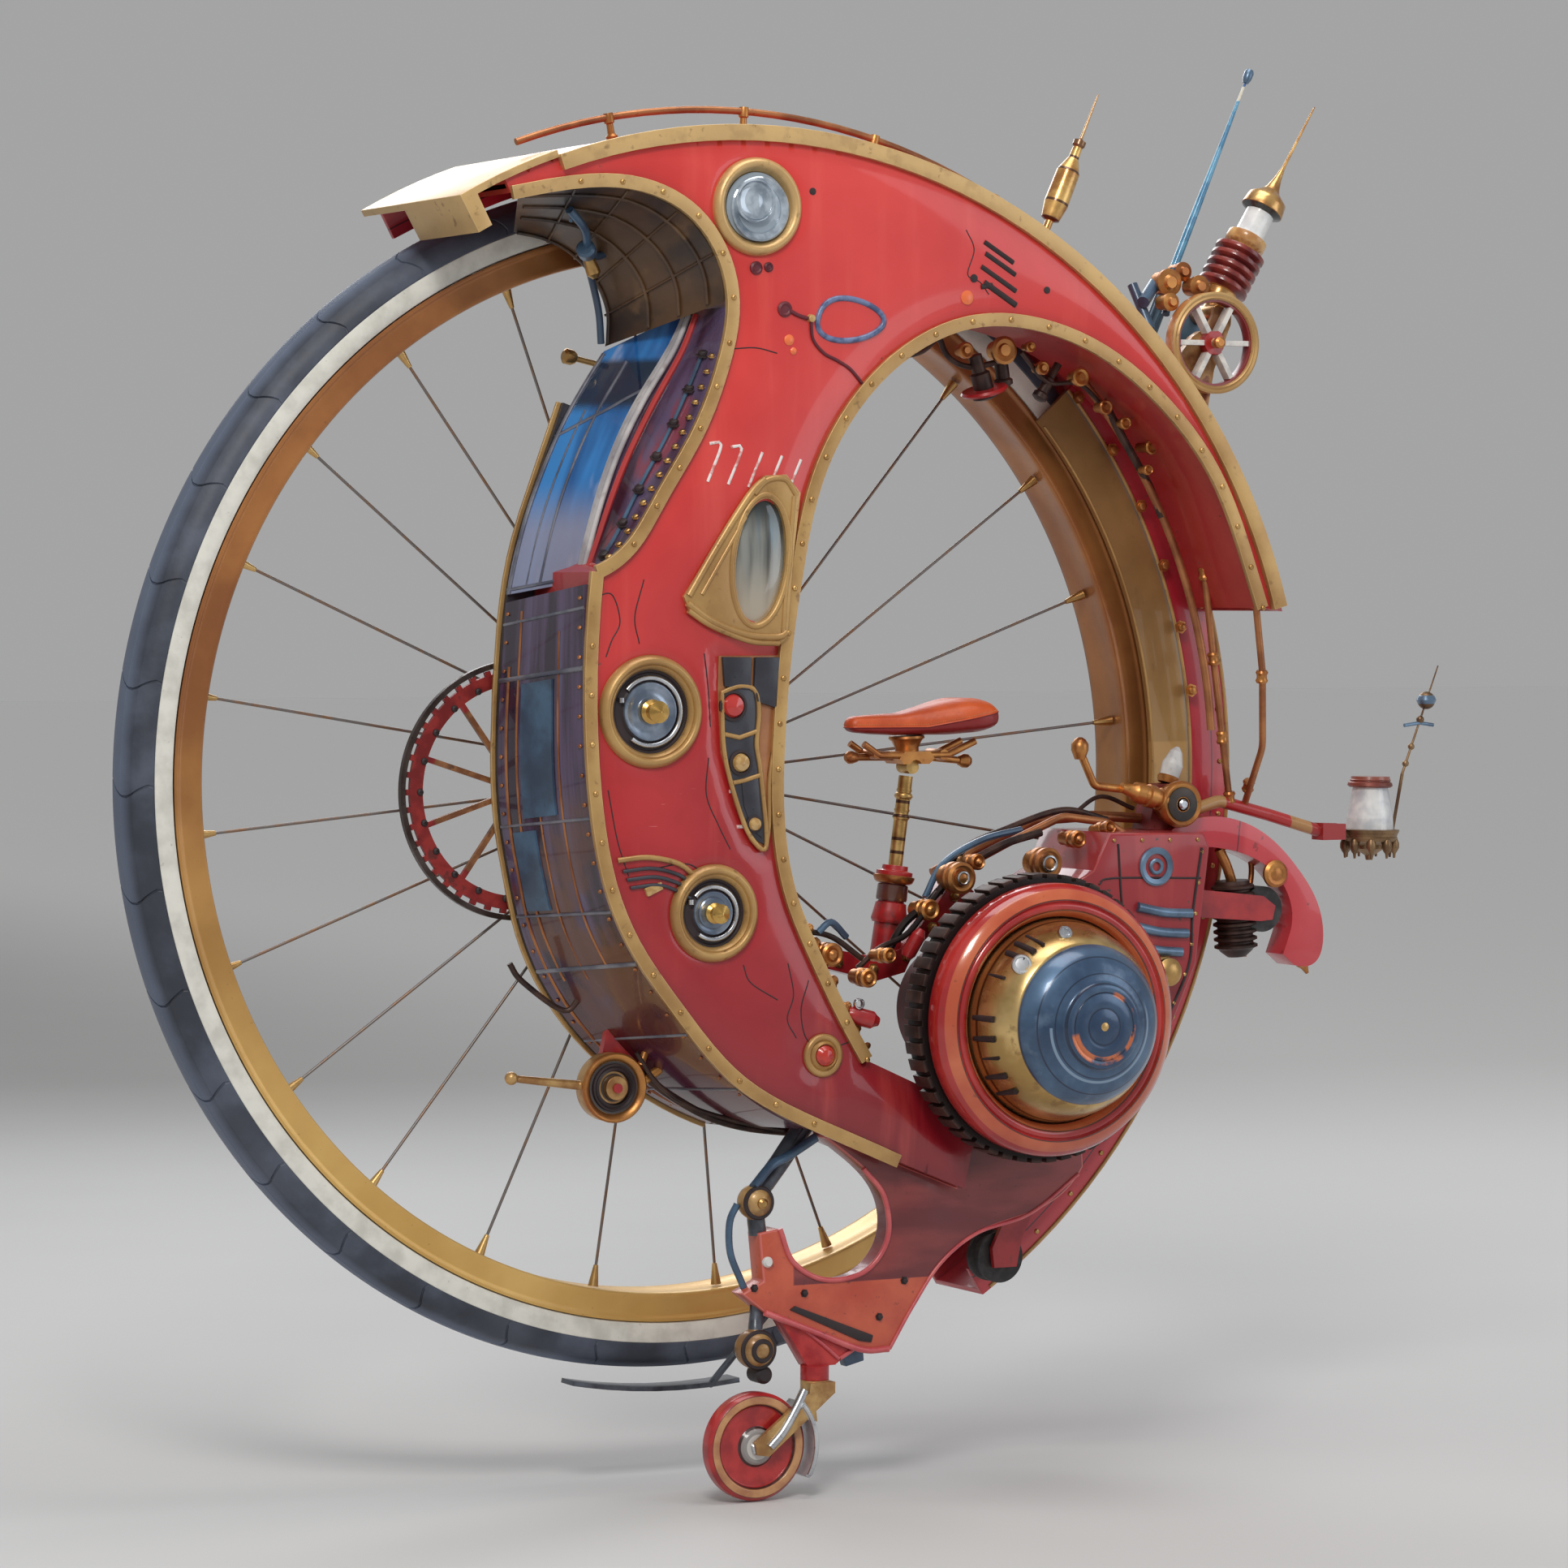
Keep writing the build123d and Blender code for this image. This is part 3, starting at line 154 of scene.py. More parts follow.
class Finish:
    """A material in the making: its nodes, and the shader that they feed."""

    def __init__(self, name, **constants):
        self.material = bpy.data.materials.new(name)
        self.material.use_nodes = True
        self.tree = self.material.node_tree
        self.shader = self.tree.nodes["Principled BSDF"]
        for key, value in constants.items():
            self.shader.inputs[key.replace("_", " ")].default_value = value
        self.place = self.node("ShaderNodeTexCoord").outputs["Object"]

    def node(self, kind, settings=None, *places, **names):
        """A node of one kind. Its settings go first, then its sockets' values or links."""
        made = self.tree.nodes.new(kind)
        for key, value in (settings or {}).items():
            if key == "stops":
                ramp = made.color_ramp.elements
                while len(ramp) < len(value):
                    ramp.new(0.5)
                for stop, (position, colour) in zip(ramp, value):
                    stop.position = position
                    stop.color = (*colour, 1)
            else:
                setattr(made, key, value)
        for key, value in [*enumerate(places), *names.items()]:
            socket = made.inputs[key]
            value = value.socket if isinstance(value, Number) else value
            if isinstance(value, bpy.types.NodeSocket):
                self.tree.links.new(value, socket)
            else:
                socket.default_value = value
        return made

    def noise(self, scale, detail=3.0, stretch=(1, 1, 1), roughness=0.55):
        """A random pattern from 0 to 1; scale is in waves a metre."""
        place = self.node("ShaderNodeMapping", None, self.place, Scale=stretch).outputs[0]
        made = self.node(
            "ShaderNodeTexNoise", None, Vector=place, Scale=scale, Detail=detail, Roughness=roughness
        )
        return Number(self, made.outputs[0])

    def axis(self, letter):
        """One coordinate of the place on the piece, in metres."""
        parts = self.node("ShaderNodeSeparateXYZ", None, self.place)
        return Number(self, parts.outputs["XYZ".index(letter)])

    def radius(self, x=0.0, z=0.0):
        """The distance from a line across the machine."""
        across, up = self.axis("X") - x, self.axis("Z") - z
        return (across * across + up * up).math("SQRT")

    def angle(self, x=0.0, z=0.0):
        """The angle around a line across the machine, from -pi to pi."""
        return (self.axis("Z") - z).math("ARCTAN2", self.axis("X") - x)

    def attribute(self, name):
        """A number stored on the mesh's own points."""
        made = self.node("ShaderNodeAttribute", {"attribute_name": name})
        return Number(self, made.outputs["Fac"])

    def mix(self, factor, first, second, mode="MIX"):
        """A colour between two colours."""
        made = self.node("ShaderNodeMix", {"data_type": "RGBA", "blend_type": mode})
        for index, value in ((0, factor), (6, first), (7, second)):
            value = value.socket if isinstance(value, Number) else value
            if isinstance(value, bpy.types.NodeSocket):
                self.tree.links.new(value, made.inputs[index])
            elif index == 0:
                made.inputs[0].default_value = value
            else:
                made.inputs[index].default_value = (*value, 1)
        return made.outputs[2]

    def feed(self, **sockets):
        """Link what varies over the surface to the shader."""
        for key, value in sockets.items():
            value = value.socket if isinstance(value, Number) else value
            self.tree.links.new(value, self.shader.inputs[key.replace("_", " ")])
        return self

    def bump(self, height, depth, strength=1.0):
        """Raise the surface by height times a depth in metres."""
        made = self.node("ShaderNodeBump", None, Strength=strength, Distance=depth, Height=height)
        self.tree.links.new(made.outputs[0], self.shader.inputs["Normal"])
        return self


def at(x, depth, z):
    """A place in metres from millimetres forwards, out to the near side and up."""
    return Vector((x / 1000, -depth / 1000, z / 1000))


def finished(obj, finish, slot, body=None, *replaced, crease=32):
    """Smooth and paint a new piece, and let it ride on its body in place of its plain shapes."""
    mesh = obj.data
    mesh.shade_smooth()
    mesh.set_sharp_from_angle(angle=radians(crease))
    mesh.materials.clear()
    mesh.materials.append(finish.material)
    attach(obj, body or "frame")
    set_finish(obj, slot)
    if replaced:
        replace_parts(obj, *replaced)
    return obj


def placed(name, data):
    """A new object at the origin, linked to the scene."""
    made = bpy.data.objects.new(name, data)
    bpy.context.scene.collection.objects.link(made)
    return made


def mesh_piece(name, points, faces):
    """A new mesh object with merged points and outward faces."""
    mesh = bpy.data.meshes.new(name)
    mesh.from_pydata([tuple(p) for p in points], [], faces)
    shape = bmesh.new()
    shape.from_mesh(mesh)
    bmesh.ops.remove_doubles(shape, verts=shape.verts, dist=2e-6)
    bmesh.ops.recalc_face_normals(shape, faces=shape.faces)
    shape.to_mesh(mesh)
    shape.free()
    return placed(name, mesh)


def lathe(name, foot, head, profile, steps=64):
    """A piece turned on a line from foot to head, from (distance along it, radius) corners."""
    run = (head - foot).normalized()
    side = run.orthogonal().normalized()
    up = run.cross(side)
    points, faces = [], []
    for number in range(steps):
        turn = 2 * pi * number / steps
        spoke = side * cos(turn) + up * sin(turn)
        points += [foot + run * (along / 1000) + spoke * (radius / 1000) for along, radius in profile]
    rows = len(profile)
    for number in range(steps):
        here, there = number * rows, (number + 1) % steps * rows
        faces += [(here + k, here + k + 1, there + k + 1, there + k) for k in range(rows - 1)]
    if profile[0] == profile[-1]:
        return mesh_piece(name, points, faces)
    for end in (0, rows - 1):
        if profile[end][1] > 0:
            faces.append([number * rows + end for number in range(steps)])
    return mesh_piece(name, points, faces)


def facing(name, x, z, profile, steps=96):
    """A piece turned on a line across the machine, from (depth, radius) corners."""
    return lathe(name, at(x, 0, z), at(x, 1000, z), profile, steps)


# The tyre: grey-blue rubber with a cream wall, moulded in a ring press. The seams of the
# press and two fine water grooves are cut into the tread.
tread_seams = 36
seam_depth, seam_slant = 3.2, 0.9
section = [
    (916, 0), (916, 26), (918, 44), (921, 51), (927, 54), (936, 55), (952, 54.6), (953.5, 53.4),
    (955, 54.4), (964, 53), (972, 50), (980, 45), (986.5, 38.6), (986.0, 37.4), (987.2, 36),
    (992, 28), (996.6, 19), (996.4, 17.8), (997.6, 16.6), (999.2, 8),
]
half = len(section)
section = section + [(1000, 0)] + [(r, -w) for r, w in reversed(section[1:])]
cell = 360 / tread_seams
steps_in_cell = [0, 0.07, 0.2, 0.27, 1.2, 2.4, 3.6, 4.8, 6.0, 7.2, 8.4, 9.4]
points, faces = [], []
columns = [k * cell + s for k in range(tread_seams) for s in steps_in_cell]
for column in columns:
    in_seam = column % cell in (0.07,
        0.2) or abs(column % cell - 0.07) < 1e-6 or abs(column % cell - 0.2) < 1e-6
    for r, w in section:
        turn = radians(column + seam_slant * sin(w / 16) * (r - 955 > 0))
        sunk = seam_depth if in_seam and r > 957 else 0
        scale = r - sunk
        points.append(at(scale * cos(turn), w * (1 - sunk * 0.006), scale * sin(turn)))
rows = len(section)
for k in range(len(columns)):
    here, there = k * rows, (k + 1) % len(columns) * rows
    faces += [(here + j, here + (j + 1) % rows, there + (j + 1) % rows, there + j) for j in range(rows)]
tyre = mesh_piece("tyre_moulding", points, faces)
rubber = Finish("tyre_rubber", Roughness=0.52)
from_axle = rubber.radius()
cloudy = rubber.noise(7, 5)
fine = rubber.noise(160, 3)
dust = rubber.noise(2.2, 3)
slate = rubber.mix(cloudy.rising(0.32, 0.72), (0.030, 0.036, 0.052), (0.098, 0.118, 0.165))
slate = rubber.mix(dust.rising(0.5, 0.8) * 0.5, slate, (0.17, 0.19, 0.25))
slate = rubber.mix(from_axle.rising(0.986, 0.999) * 0.55, slate, (0.16, 0.20, 0.29))
cream = rubber.mix(rubber.noise(26, 4).rising(0.35, 0.75), (0.78, 0.77, 0.70), (0.60, 0.59, 0.53))
cream = rubber.mix(rubber.noise(90, 2).rising(0.66, 0.8) * 0.5, cream, (0.33, 0.31, 0.27))
white_wall = from_axle.band(0.9185, 0.9525, 0.0008)
rubber.feed(
    Base_Color=rubber.mix(white_wall, slate, cream),
    Roughness=0.40 + 0.22 * cloudy + 0.06 * fine,
)
rubber.bump(fine * 0.6 + cloudy * 0.4, 0.0007, 0.5)
finished(tyre, rubber, "tyre_rubber", "wheel", "tyre", "inner_tube", crease=28)

# The rim: a deep brass channel, spun and lacquered, with a rolled bead at each lip.
# It is coloured darker orange-brown towards the top.
lips = [
    (918, 47.5), (918, 51), (914.5, 52), (911, 51.2), (908.5, 49.4), (905, 49.6), (880, 50.6),
    (876, 51.8), (872, 51.4), (870, 49), (869.4, 40), (871.5, 24), (873, 8),
]
outline = lips + [(r, -w) for r, w in reversed(lips)] + [(885, -44), (912, -45), (912, 45), (885, 44)]
outline = [(w, r) for r, w in outline]
rim = lathe("rim_channel", at(0, 0, 0), at(0, 1000, 0), outline + outline[:1], 288)
brass_rim = Finish("rim_lacquer", Metallic=0.55, Coat_Weight=0.35, Coat_Roughness=0.15)
height = brass_rim.axis("Z")
around = brass_rim.noise(5, 4)
brushed = brass_rim.noise(60, 3, (1, 1, 22))
golden = brass_rim.mix(around.rising(0.3, 0.75), (0.66, 0.39, 0.105), (0.82, 0.53, 0.17))
upper_brown = brass_rim.mix(around.rising(0.35, 0.7), (0.30, 0.105, 0.032), (0.47, 0.19, 0.055))
tone = brass_rim.mix(height.rising(-0.75, 0.25), golden, upper_brown)
tone = brass_rim.mix(brass_rim.noise(120, 2).rising(0.68, 0.8) * 0.55, tone, (0.16, 0.075, 0.03))
brass_rim.feed(Base_Color=tone, Roughness=0.30 + 0.22 * brushed)
brass_rim.bump(brushed, 0.0003, 0.35)
finished(rim, brass_rim, "gold_rim", "wheel", "rim", crease=40)

# Spokes of thin dark wire, tapered brass ferrules, and a spun brass hub with steel bearings.
wire = Finish("spoke_wire", Metallic=0.8, Roughness=0.42)
wire.feed(Base_Color=wire.mix(wire.noise(40, 3).rising(0.4, 0.7), (0.22, 0.20, 0.19), (0.30, 0.17, 0.10)))


def plain_metal(name, bright, dull, rough, metallic=1.0, grain=140, coat=0.0):
    """Cast or turned metal: cloudy tone, dark specks in its pores, and a fine grain."""
    metal = Finish(name, Metallic=metallic, Coat_Weight=coat, Coat_Roughness=0.2)
    cloud = metal.noise(14, 4)
    speck = metal.noise(grain, 3)
    tone = metal.mix(cloud.rising(0.34, 0.68), dull, bright)
    tone = metal.mix(speck.rising(0.62, 0.78) * 0.6, tone, tuple(c * 0.32 for c in dull))
    metal.feed(Base_Color=tone, Roughness=rough + 0.2 * (cloud - 0.5) + 0.12 * speck)
    metal.bump(speck, 0.0004, 0.35)
    return metal


def coat_nodes(finish, slot_nodes):
    """Give plain parts their finish."""
    for node in slot_nodes:
        mesh = frame["nodes"][node].data
        mesh.materials.clear()
        mesh.materials.append(finish.material)


brass = plain_metal("brass", (0.74, 0.49, 0.20), (0.46, 0.27, 0.10), 0.30)
steel = plain_metal("steel", (0.56, 0.57, 0.60), (0.36, 0.37, 0.40), 0.30)
coat_nodes(wire, ["spokes"])
coat_nodes(brass, ["spoke_ferrules", "hub_shell"])
coat_nodes(steel, ["axle", "axle_nut", "hub_bearings"])

# The side shell: a beaten steel pan with a soft crown, sprayed red over a darker undercoat
# and clear-coated. Its face is crowned between the beads and stays flat under the dials.
shell_depth, crown_rise, crown_reach = 300, 9.0, 38.0
flat_rounds = [(2, 938, 80), (-192, 116, 92), (-77, -214, 80), (128, -455, 35), (505, -402, 262)]
panel_outline = [
    (-66, 208), (50, 208), (38, 81), (26, 12), (27, -80), (20, -118), (-8, -100), (-36, -39),
    (-62, 48), (-69, 152),
]
pan = bmesh.new()
pan.from_mesh(frame["nodes"]["side_shell"].data)
bmesh.ops.remove_doubles(pan, verts=pan.verts, dist=1e-5)
near_faces = [
    f for f in pan.faces if f.normal.y < -0.99 and f.calc_center_median().y < -shell_depth / 1000 + 1e-4
]
near_set = set(near_faces)
rim_edges = {e for f in near_faces for e in f.edges if sum(g in near_set for g in e.link_faces) == 1}
edge_points, edge_pairs, seen = [], [], {}
for edge in rim_edges:
    cuts = max(1, round(edge.calc_length() / 0.006))
    ends = [v.co for v in edge.verts]
    chain = [ends[0].lerp(ends[1], k / cuts) for k in range(cuts + 1)]
    indices = []
    for place in chain:
        key = (round(place.x, 5), round(place.z, 5))
        if key not in seen:
            seen[key] = len(edge_points)
            edge_points.append(Vector((place.x, place.z)))
        indices.append(seen[key])
    edge_pairs += list(zip(indices, indices[1:]))
edge_tree = kdtree.KDTree(len(edge_points))
for number, place in enumerate(edge_points):
    edge_tree.insert((place.x, place.y, 0), number)
edge_tree.balance()


def inside(x, z, outline):
    """Whether a place is inside a closed outline."""
    crossings = 0
    for (x0, z0), (x1, z1) in zip(outline, outline[1:] + outline[:1]):
        if (z0 > z) != (z1 > z) and x < x0 + (z - z0) * (x1 - x0) / (z1 - z0):
            crossings += 1
    return crossings % 2 == 1


def apart(x, z, outline):
    """The shortest distance from a place to an outline's sides."""
    best = 1e9
    here = Vector((x, z))
    for a, b in zip(outline, outline[1:] + outline[:1]):
        a, b = Vector(a), Vector(b)
        share = max(0, min(1, (here - a).dot(b - a) / (b - a).length_squared))
        best = min(best, (here - a.lerp(b, share)).length)
    return best


def smooth(value):
    value = max(0.0, min(1.0, value))
    return value * value * (3 - 2 * value)


def from_edge(x, z):
    """How far a place on the face is from the nearest edge, in millimetres."""
    return edge_tree.find((x / 1000, z / 1000, 0))[2] * 1000


def face_depth(x, z):
    """The depth of the crowned face at a place."""
    rise = crown_rise * (1 - exp(-((from_edge(x, z) / crown_reach) ** 1.5)))
    for centre_x, centre_z, reach in flat_rounds:
        rise *= smooth((hypot(x - centre_x, z - centre_z) - reach + 22) / 34)
    if rise > 0.01:
        near = apart(x, z, panel_outline)
        rise *= 0 if inside(x, z, panel_outline) else smooth(near / 26)
    return shell_depth + rise


grid_step = 11
places = [p.copy() for p in edge_points]
for row in range(-66, 108):
    for column in range(-46, 108):
        x = column * grid_step + (row % 2) * grid_step / 2
        z = row * grid_step * 0.87
        if from_edge(x, z) > grid_step * 0.55 and z < 1075:
            places.append(Vector((x / 1000, z / 1000)))
flat_points, _, triangles, _, _, _ = delaunay_2d_cdt(places, edge_pairs, [], 1, 1e-6)
holes = [(505, -402, 165), (128, -455, 18)]
face_points = [at(p.x * 1000, face_depth(p.x * 1000, p.y * 1000), p.y * 1000) for p in flat_points]
kept = []
for triangle in triangles:
    centre = sum((flat_points[k] for k in triangle), Vector((0, 0))) / 3 * 1000
    if any(hypot(centre.x - x, centre.y - z) < r - 0.2 for x, z, r in holes):
        continue
    kept.append(list(triangle))
bmesh.ops.delete(pan, geom=near_faces, context="FACES_ONLY")
walls_mesh = bpy.data.meshes.new("walls")
pan.to_mesh(walls_mesh)
pan.free()
wall_points = [v.co.copy() for v in walls_mesh.vertices]
wall_faces = [tuple(p.vertices) for p in walls_mesh.polygons]
shell_mesh = bpy.data.meshes.new("shell_pan")
offset = len(face_points)
shell_mesh.from_pydata(
    face_points + wall_points, [], kept + [tuple(k + offset for k in f) for f in wall_faces]
)
shape = bmesh.new()
shape.from_mesh(shell_mesh)
for f in shape.faces:
    if f.index < len(kept) and f.normal.y > 0:
        f.normal_flip()
bmesh.ops.remove_doubles(shape, verts=shape.verts, dist=2e-5)
shape.to_mesh(shell_mesh)
shape.free()
reach = shell_mesh.attributes.new("edge", "FLOAT", "POINT")
for vertex in shell_mesh.vertices:
    x, z = vertex.co.x * 1000, vertex.co.z * 1000
    far = from_edge(x, z)
    reach.data[vertex.index].value = min(1.0, far / 70)
shell = placed("shell_pan", shell_mesh)
red = Finish("shell_red", Roughness=0.3, Coat_Weight=0.6, Coat_Roughness=0.06)
height = red.axis("Z")
cloud = red.noise(3.2, 4)
streak = red.noise(5, 4, (3.2, 1, 0.35))
speck = red.noise(210, 2)
low_tone = red.mix(cloud.rising(0.3, 0.7), (0.30, 0.006, 0.014), (0.44, 0.012, 0.020))
high_tone = red.mix(cloud.rising(0.3, 0.7), (0.62, 0.030, 0.028), (0.74, 0.050, 0.042))
# Painted light: the red is lighter coral towards the top and darker crimson low down, and a painted shade
# darkens it further towards the foot.
tone = red.mix(height.rising(-0.45, 0.75), low_tone, high_tone)
tone = red.mix(height.rising(-0.25, -0.62) * 0.55, tone, (0.15, 0.004, 0.012))
tone = red.mix(streak.rising(0.52, 0.75) * 0.28, tone, (0.86, 0.13, 0.10))
# Darker crimson near the beads: partly grime, and partly a painted shade where the crowned face meets the
# raised beads.
grime = (1 - red.attribute("edge").rising(0.0, 0.42)) * (0.35 + 0.65 * red.noise(9, 4))
tone = red.mix(grime * 0.55, tone, (0.13, 0.008, 0.012))
chips = red.noise(55, 5).rising(0.705, 0.72) * (1 - red.attribute("edge").rising(0.1, 0.55))
tone = red.mix(chips, tone, (0.10, 0.05, 0.045))
scratch = red.noise(30, 2, (1, 1, 14)).rising(0.735, 0.75) * red.noise(2, 2).rising(0.5, 0.62)
tone = red.mix(scratch * 0.5, tone, (0.88, 0.40, 0.34))
red.feed(Base_Color=tone, Roughness=0.24 + 0.22 * cloud + 0.3 * chips + 0.2 * grime)
red.bump(red.noise(420, 2) * 0.35 - chips + 0.4 * red.noise(18, 2), 0.0005, 0.4)
finished(shell, red, "red_paint", None, "side_shell", crease=40)


def smooth_line(corners, step=6.0):
    """Points about a step apart on a smooth line through corners of two or three numbers."""
    corners = [Vector(c) for c in corners]
    before = corners[0] * 2 - corners[1]
    after = corners[-1] * 2 - corners[-2]
    ring = [before, *corners, after]
    line = []
    for a, b, c, d in zip(ring, ring[1:], ring[2:], ring[3:]):
        count = max(1, round((c - b).length / step))
        for k in range(count):
            t = k / count
            line.append(
                0.5 * (2 * b + (c - a) * t + (2 * a - 5 * b + 4 * c - d) * t**2
                       + (3 * b - a - 3 * c + d) * t**3)
            )
    return line + [corners[-1]]


def tube(name, places, radius, finish, slot, body=None, *replaced, closed=False, sides=5):
    """A round tube or wire through places in metres, with closed ends."""
    curve = bpy.data.curves.new(name, "CURVE")
    curve.dimensions = "3D"
    curve.bevel_depth = radius / 1000
    curve.bevel_resolution = sides
    curve.use_fill_caps = not closed
    spline = curve.splines.new("POLY")
    spline.points.add(len(places) - 1)
    for point, place in zip(spline.points, places):
        point.co = (*place, 1)
    spline.use_cyclic_u = closed
    holder = placed(name + "_line", curve)
    mesh = bpy.data.meshes.new_from_object(holder)
    mesh.name = name
    bpy.data.objects.remove(holder)
    shape = bmesh.new()
    shape.from_mesh(mesh)
    bmesh.ops.remove_doubles(shape, verts=shape.verts, dist=1e-6)
    bmesh.ops.recalc_face_normals(shape, faces=shape.faces)
    shape.to_mesh(mesh)
    shape.free()
    obj = placed(name, mesh)
    return finished(obj, finish, slot, body, *replaced)


def joined(name, objects):
    """Several new pieces of one finish on one body, made one piece."""
    shape = bmesh.new()
    for obj in objects:
        shape.from_mesh(obj.data)
    first = objects[0]
    mesh = bpy.data.meshes.new(name)
    shape.to_mesh(mesh)
    shape.free()
    mesh.materials.append(first.data.materials[0])
    body, slot = first["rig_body"], first["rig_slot"]
    replaced = sorted({n for o in objects for n in o.get("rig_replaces", [])})
    for obj in objects:
        bpy.data.objects.remove(obj)
    whole = placed(name, mesh)
    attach(whole, body)
    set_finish(whole, slot)
    if replaced:
        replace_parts(whole, *replaced)
    return whole


def tubes(name, finish, slot, items, body=None, sides=5):
    """Tubes of one finish as one piece, from (places, radius) pairs."""
    return joined(name, [
        tube(f"{name}_{number}", places, radius, finish, slot, body, sides=sides)
        for number, (places, radius) in enumerate(items)
    ])


def turned(name, foot, head, profile, steps, *finish, crease=32):
    """A finished lathe piece. Its ends are tuples in millimetres or vectors in metres."""
    foot, head = (at(*place) if isinstance(place, tuple) else place for place in (foot, head))
    return finished(lathe(name, foot, head, profile, steps), *finish, crease=crease)


def faced(name, x, z, profile, steps, *finish, crease=32):
    """A finished piece that is turned on a line across the machine."""
    return finished(facing(name, x, z, profile, steps), *finish, crease=crease)


def curved(corners, step):
    """A smooth line in metres through (x, depth, z) corners."""
    return [at(*place) for place in smooth_line(corners, step)]


def on_face(corners, lift, step):
    """A smooth line in metres that follows the shell's crowned face."""
    return [at(x, face_depth(x, z) + lift, z) for x, z in smooth_line(corners, step)]


# Seams and slots in the shell: pressed grooves filled with black mastic, louvre slots,
# and five short white coach lines.
black = plain_metal("mastic_black", (0.035, 0.02, 0.022), (0.02, 0.012, 0.014), 0.5, 0.0)
seam_lines = [
    [(-292, 300), (-262, 306), (-248, 262), (-262, 232), (-272, 205)],
    [(-205, 330), (-222, 270), (-214, 226)],
    [(-268, -10), (-252, -90), (-232, -150)],
    [(-88, 40), (-92, -20), (-70, -70), (-48, -110)],
    [(-96, 210), (-88, 150), (-84, 90)],
    [(100, -330), (84, -380), (100, -430), (150, -440), (196, -430)],
    [(60, -300), (70, -352), (58, -392), (76, -424)],
    [(40, -360), (-10, -330), (-24, -300)],
    [(-40, 706), (0, 708), (38, 700)],
    [(395, 912), (410, 880), (398, 838), (422, 826), (440, 806)],
    [(-92, -150), (-130, -132), (-196, -140)],
]
seams = []
for number, corners in enumerate(seam_lines):
    line = on_face(corners, -0.4, 5)
    seams.append(tube(f"seam_{number}", line, 1.2, black, "dark_steel", sides=2))
joined("shell_seams", seams)

slots = []
for number, (x0, z0, x1, z1, width) in enumerate((
    (430, 893, 486, 860, 5), (432, 874, 490, 840, 5), (424, 852, 492, 813, 5), (430, 826, 494, 790, 6),
    (424, 818, 446, 822, 5),
)):
    line = smooth_line([(x0, z0), (x1, z1)], 5)
    line = [at(x, face_depth(x, z) - width * 0.45, z) for x, z in line]
    slots.append(tube(f"slot_{number}", line, width, black, "dark_steel", sides=3))
for number, (x, z, r) in enumerate(((410, 832, 7), (552, 816, 6), (104, 966, 6), (-75, 620, 4))):
    top = face_depth(x, z)
    profile = [(top - 3, 0), (top - 3, r), (top + 0.8, r), (top + 1.4, r * 0.7), (top + 1.4, 0)]
    slots.append(faced(f"plug_{number}", x, z, profile, 20, black, "dark_steel"))
joined("shell_louvres", slots)

chalk = Finish("coach_white", Roughness=0.45)
chalk.feed(Base_Color=chalk.mix(chalk.noise(60, 4).rising(0.5, 0.66), (0.80, 0.76, 0.74),
    (0.62, 0.20, 0.18)))
lines = []
for number in range(5):
    top_x, top_z = -70 + 36.5 * number, 549 - 5.5 * number
    low_x, low_z = -81 + 37 * number - 8, 497 - 4 * number - 8
    path = [(top_x + 8, top_z), (low_x, low_z)]
    if number < 2:
        path = [(top_x - 14, top_z + 2), (top_x + 6, top_z), (low_x, low_z)]
    line = on_face(path, -1.2, 6)
    lines.append(tube(f"coach_{number}", line, 3.0, chalk, "rail_paint", sides=2))
for number, (x, z) in enumerate(((-46, -16), (-34, -74))):
    line = [at(x + k, face_depth(x + k, z) - 1.0, z) for k in (0, 9, 18)]
    lines.append(tube(f"coach_{number + 5}", line, 3.2, chalk, "rail_paint", sides=2))
joined("coach_lines", lines)


def softened(name, node, width, finish, slot, body=None, *also, keep_under=28):
    """A copy of a plain part with its long edges rounded over; "worn" marks the rounding."""
    shape = bmesh.new()
    shape.from_mesh(frame["nodes"][node].data)
    worn = shape.faces.layers.float.new("worn_face")
    bmesh.ops.remove_doubles(shape, verts=shape.verts, dist=2e-5)
    bmesh.ops.dissolve_limit(
        shape, angle_limit=radians(1.5), verts=shape.verts, edges=shape.edges
    )
    sharp = [
        e for e in shape.edges
        if len(e.link_faces) == 2 and e.calc_face_angle(0) > radians(keep_under) and e.calc_length() > 0.0015
    ]
    made = bmesh.ops.bevel(
        shape, geom=sharp, offset=width / 1000, offset_type="OFFSET", segments=2, profile=0.6,
        affect="EDGES", clamp_overlap=True,
    )
    for face in made["faces"]:
        face[worn] = 1.0
    bmesh.ops.triangulate(shape, faces=[f for f in shape.faces if len(f.verts) > 4])
    mesh = bpy.data.meshes.new(name)
    shape.to_mesh(mesh)
    shape.free()
    marks = mesh.attributes["worn_face"]
    values = [m.value for m in marks.data]
    corners = mesh.attributes.new("worn", "FLOAT", "CORNER")
    for polygon in mesh.polygons:
        for corner in polygon.loop_indices:
            corners.data[corner].value = values[polygon.index]
    mesh.attributes.remove(mesh.attributes["worn_face"])
    obj = placed(name, mesh)
    return finished(obj, finish, slot, body, node, *also, crease=38)


# Gilt beads round the shell's face: pressed brass strip with rolled edges, dulled to tan in
# the flats and rubbed bright on its corners, held by small domed screws.
gilt = Finish("gilt_bead", Metallic=0.45, Coat_Weight=0.25, Coat_Roughness=0.25)
cloud = gilt.noise(9, 4)
height = gilt.axis("Z")
tone = gilt.mix(cloud.rising(0.3, 0.72), (0.40, 0.22, 0.075), (0.58, 0.36, 0.13))
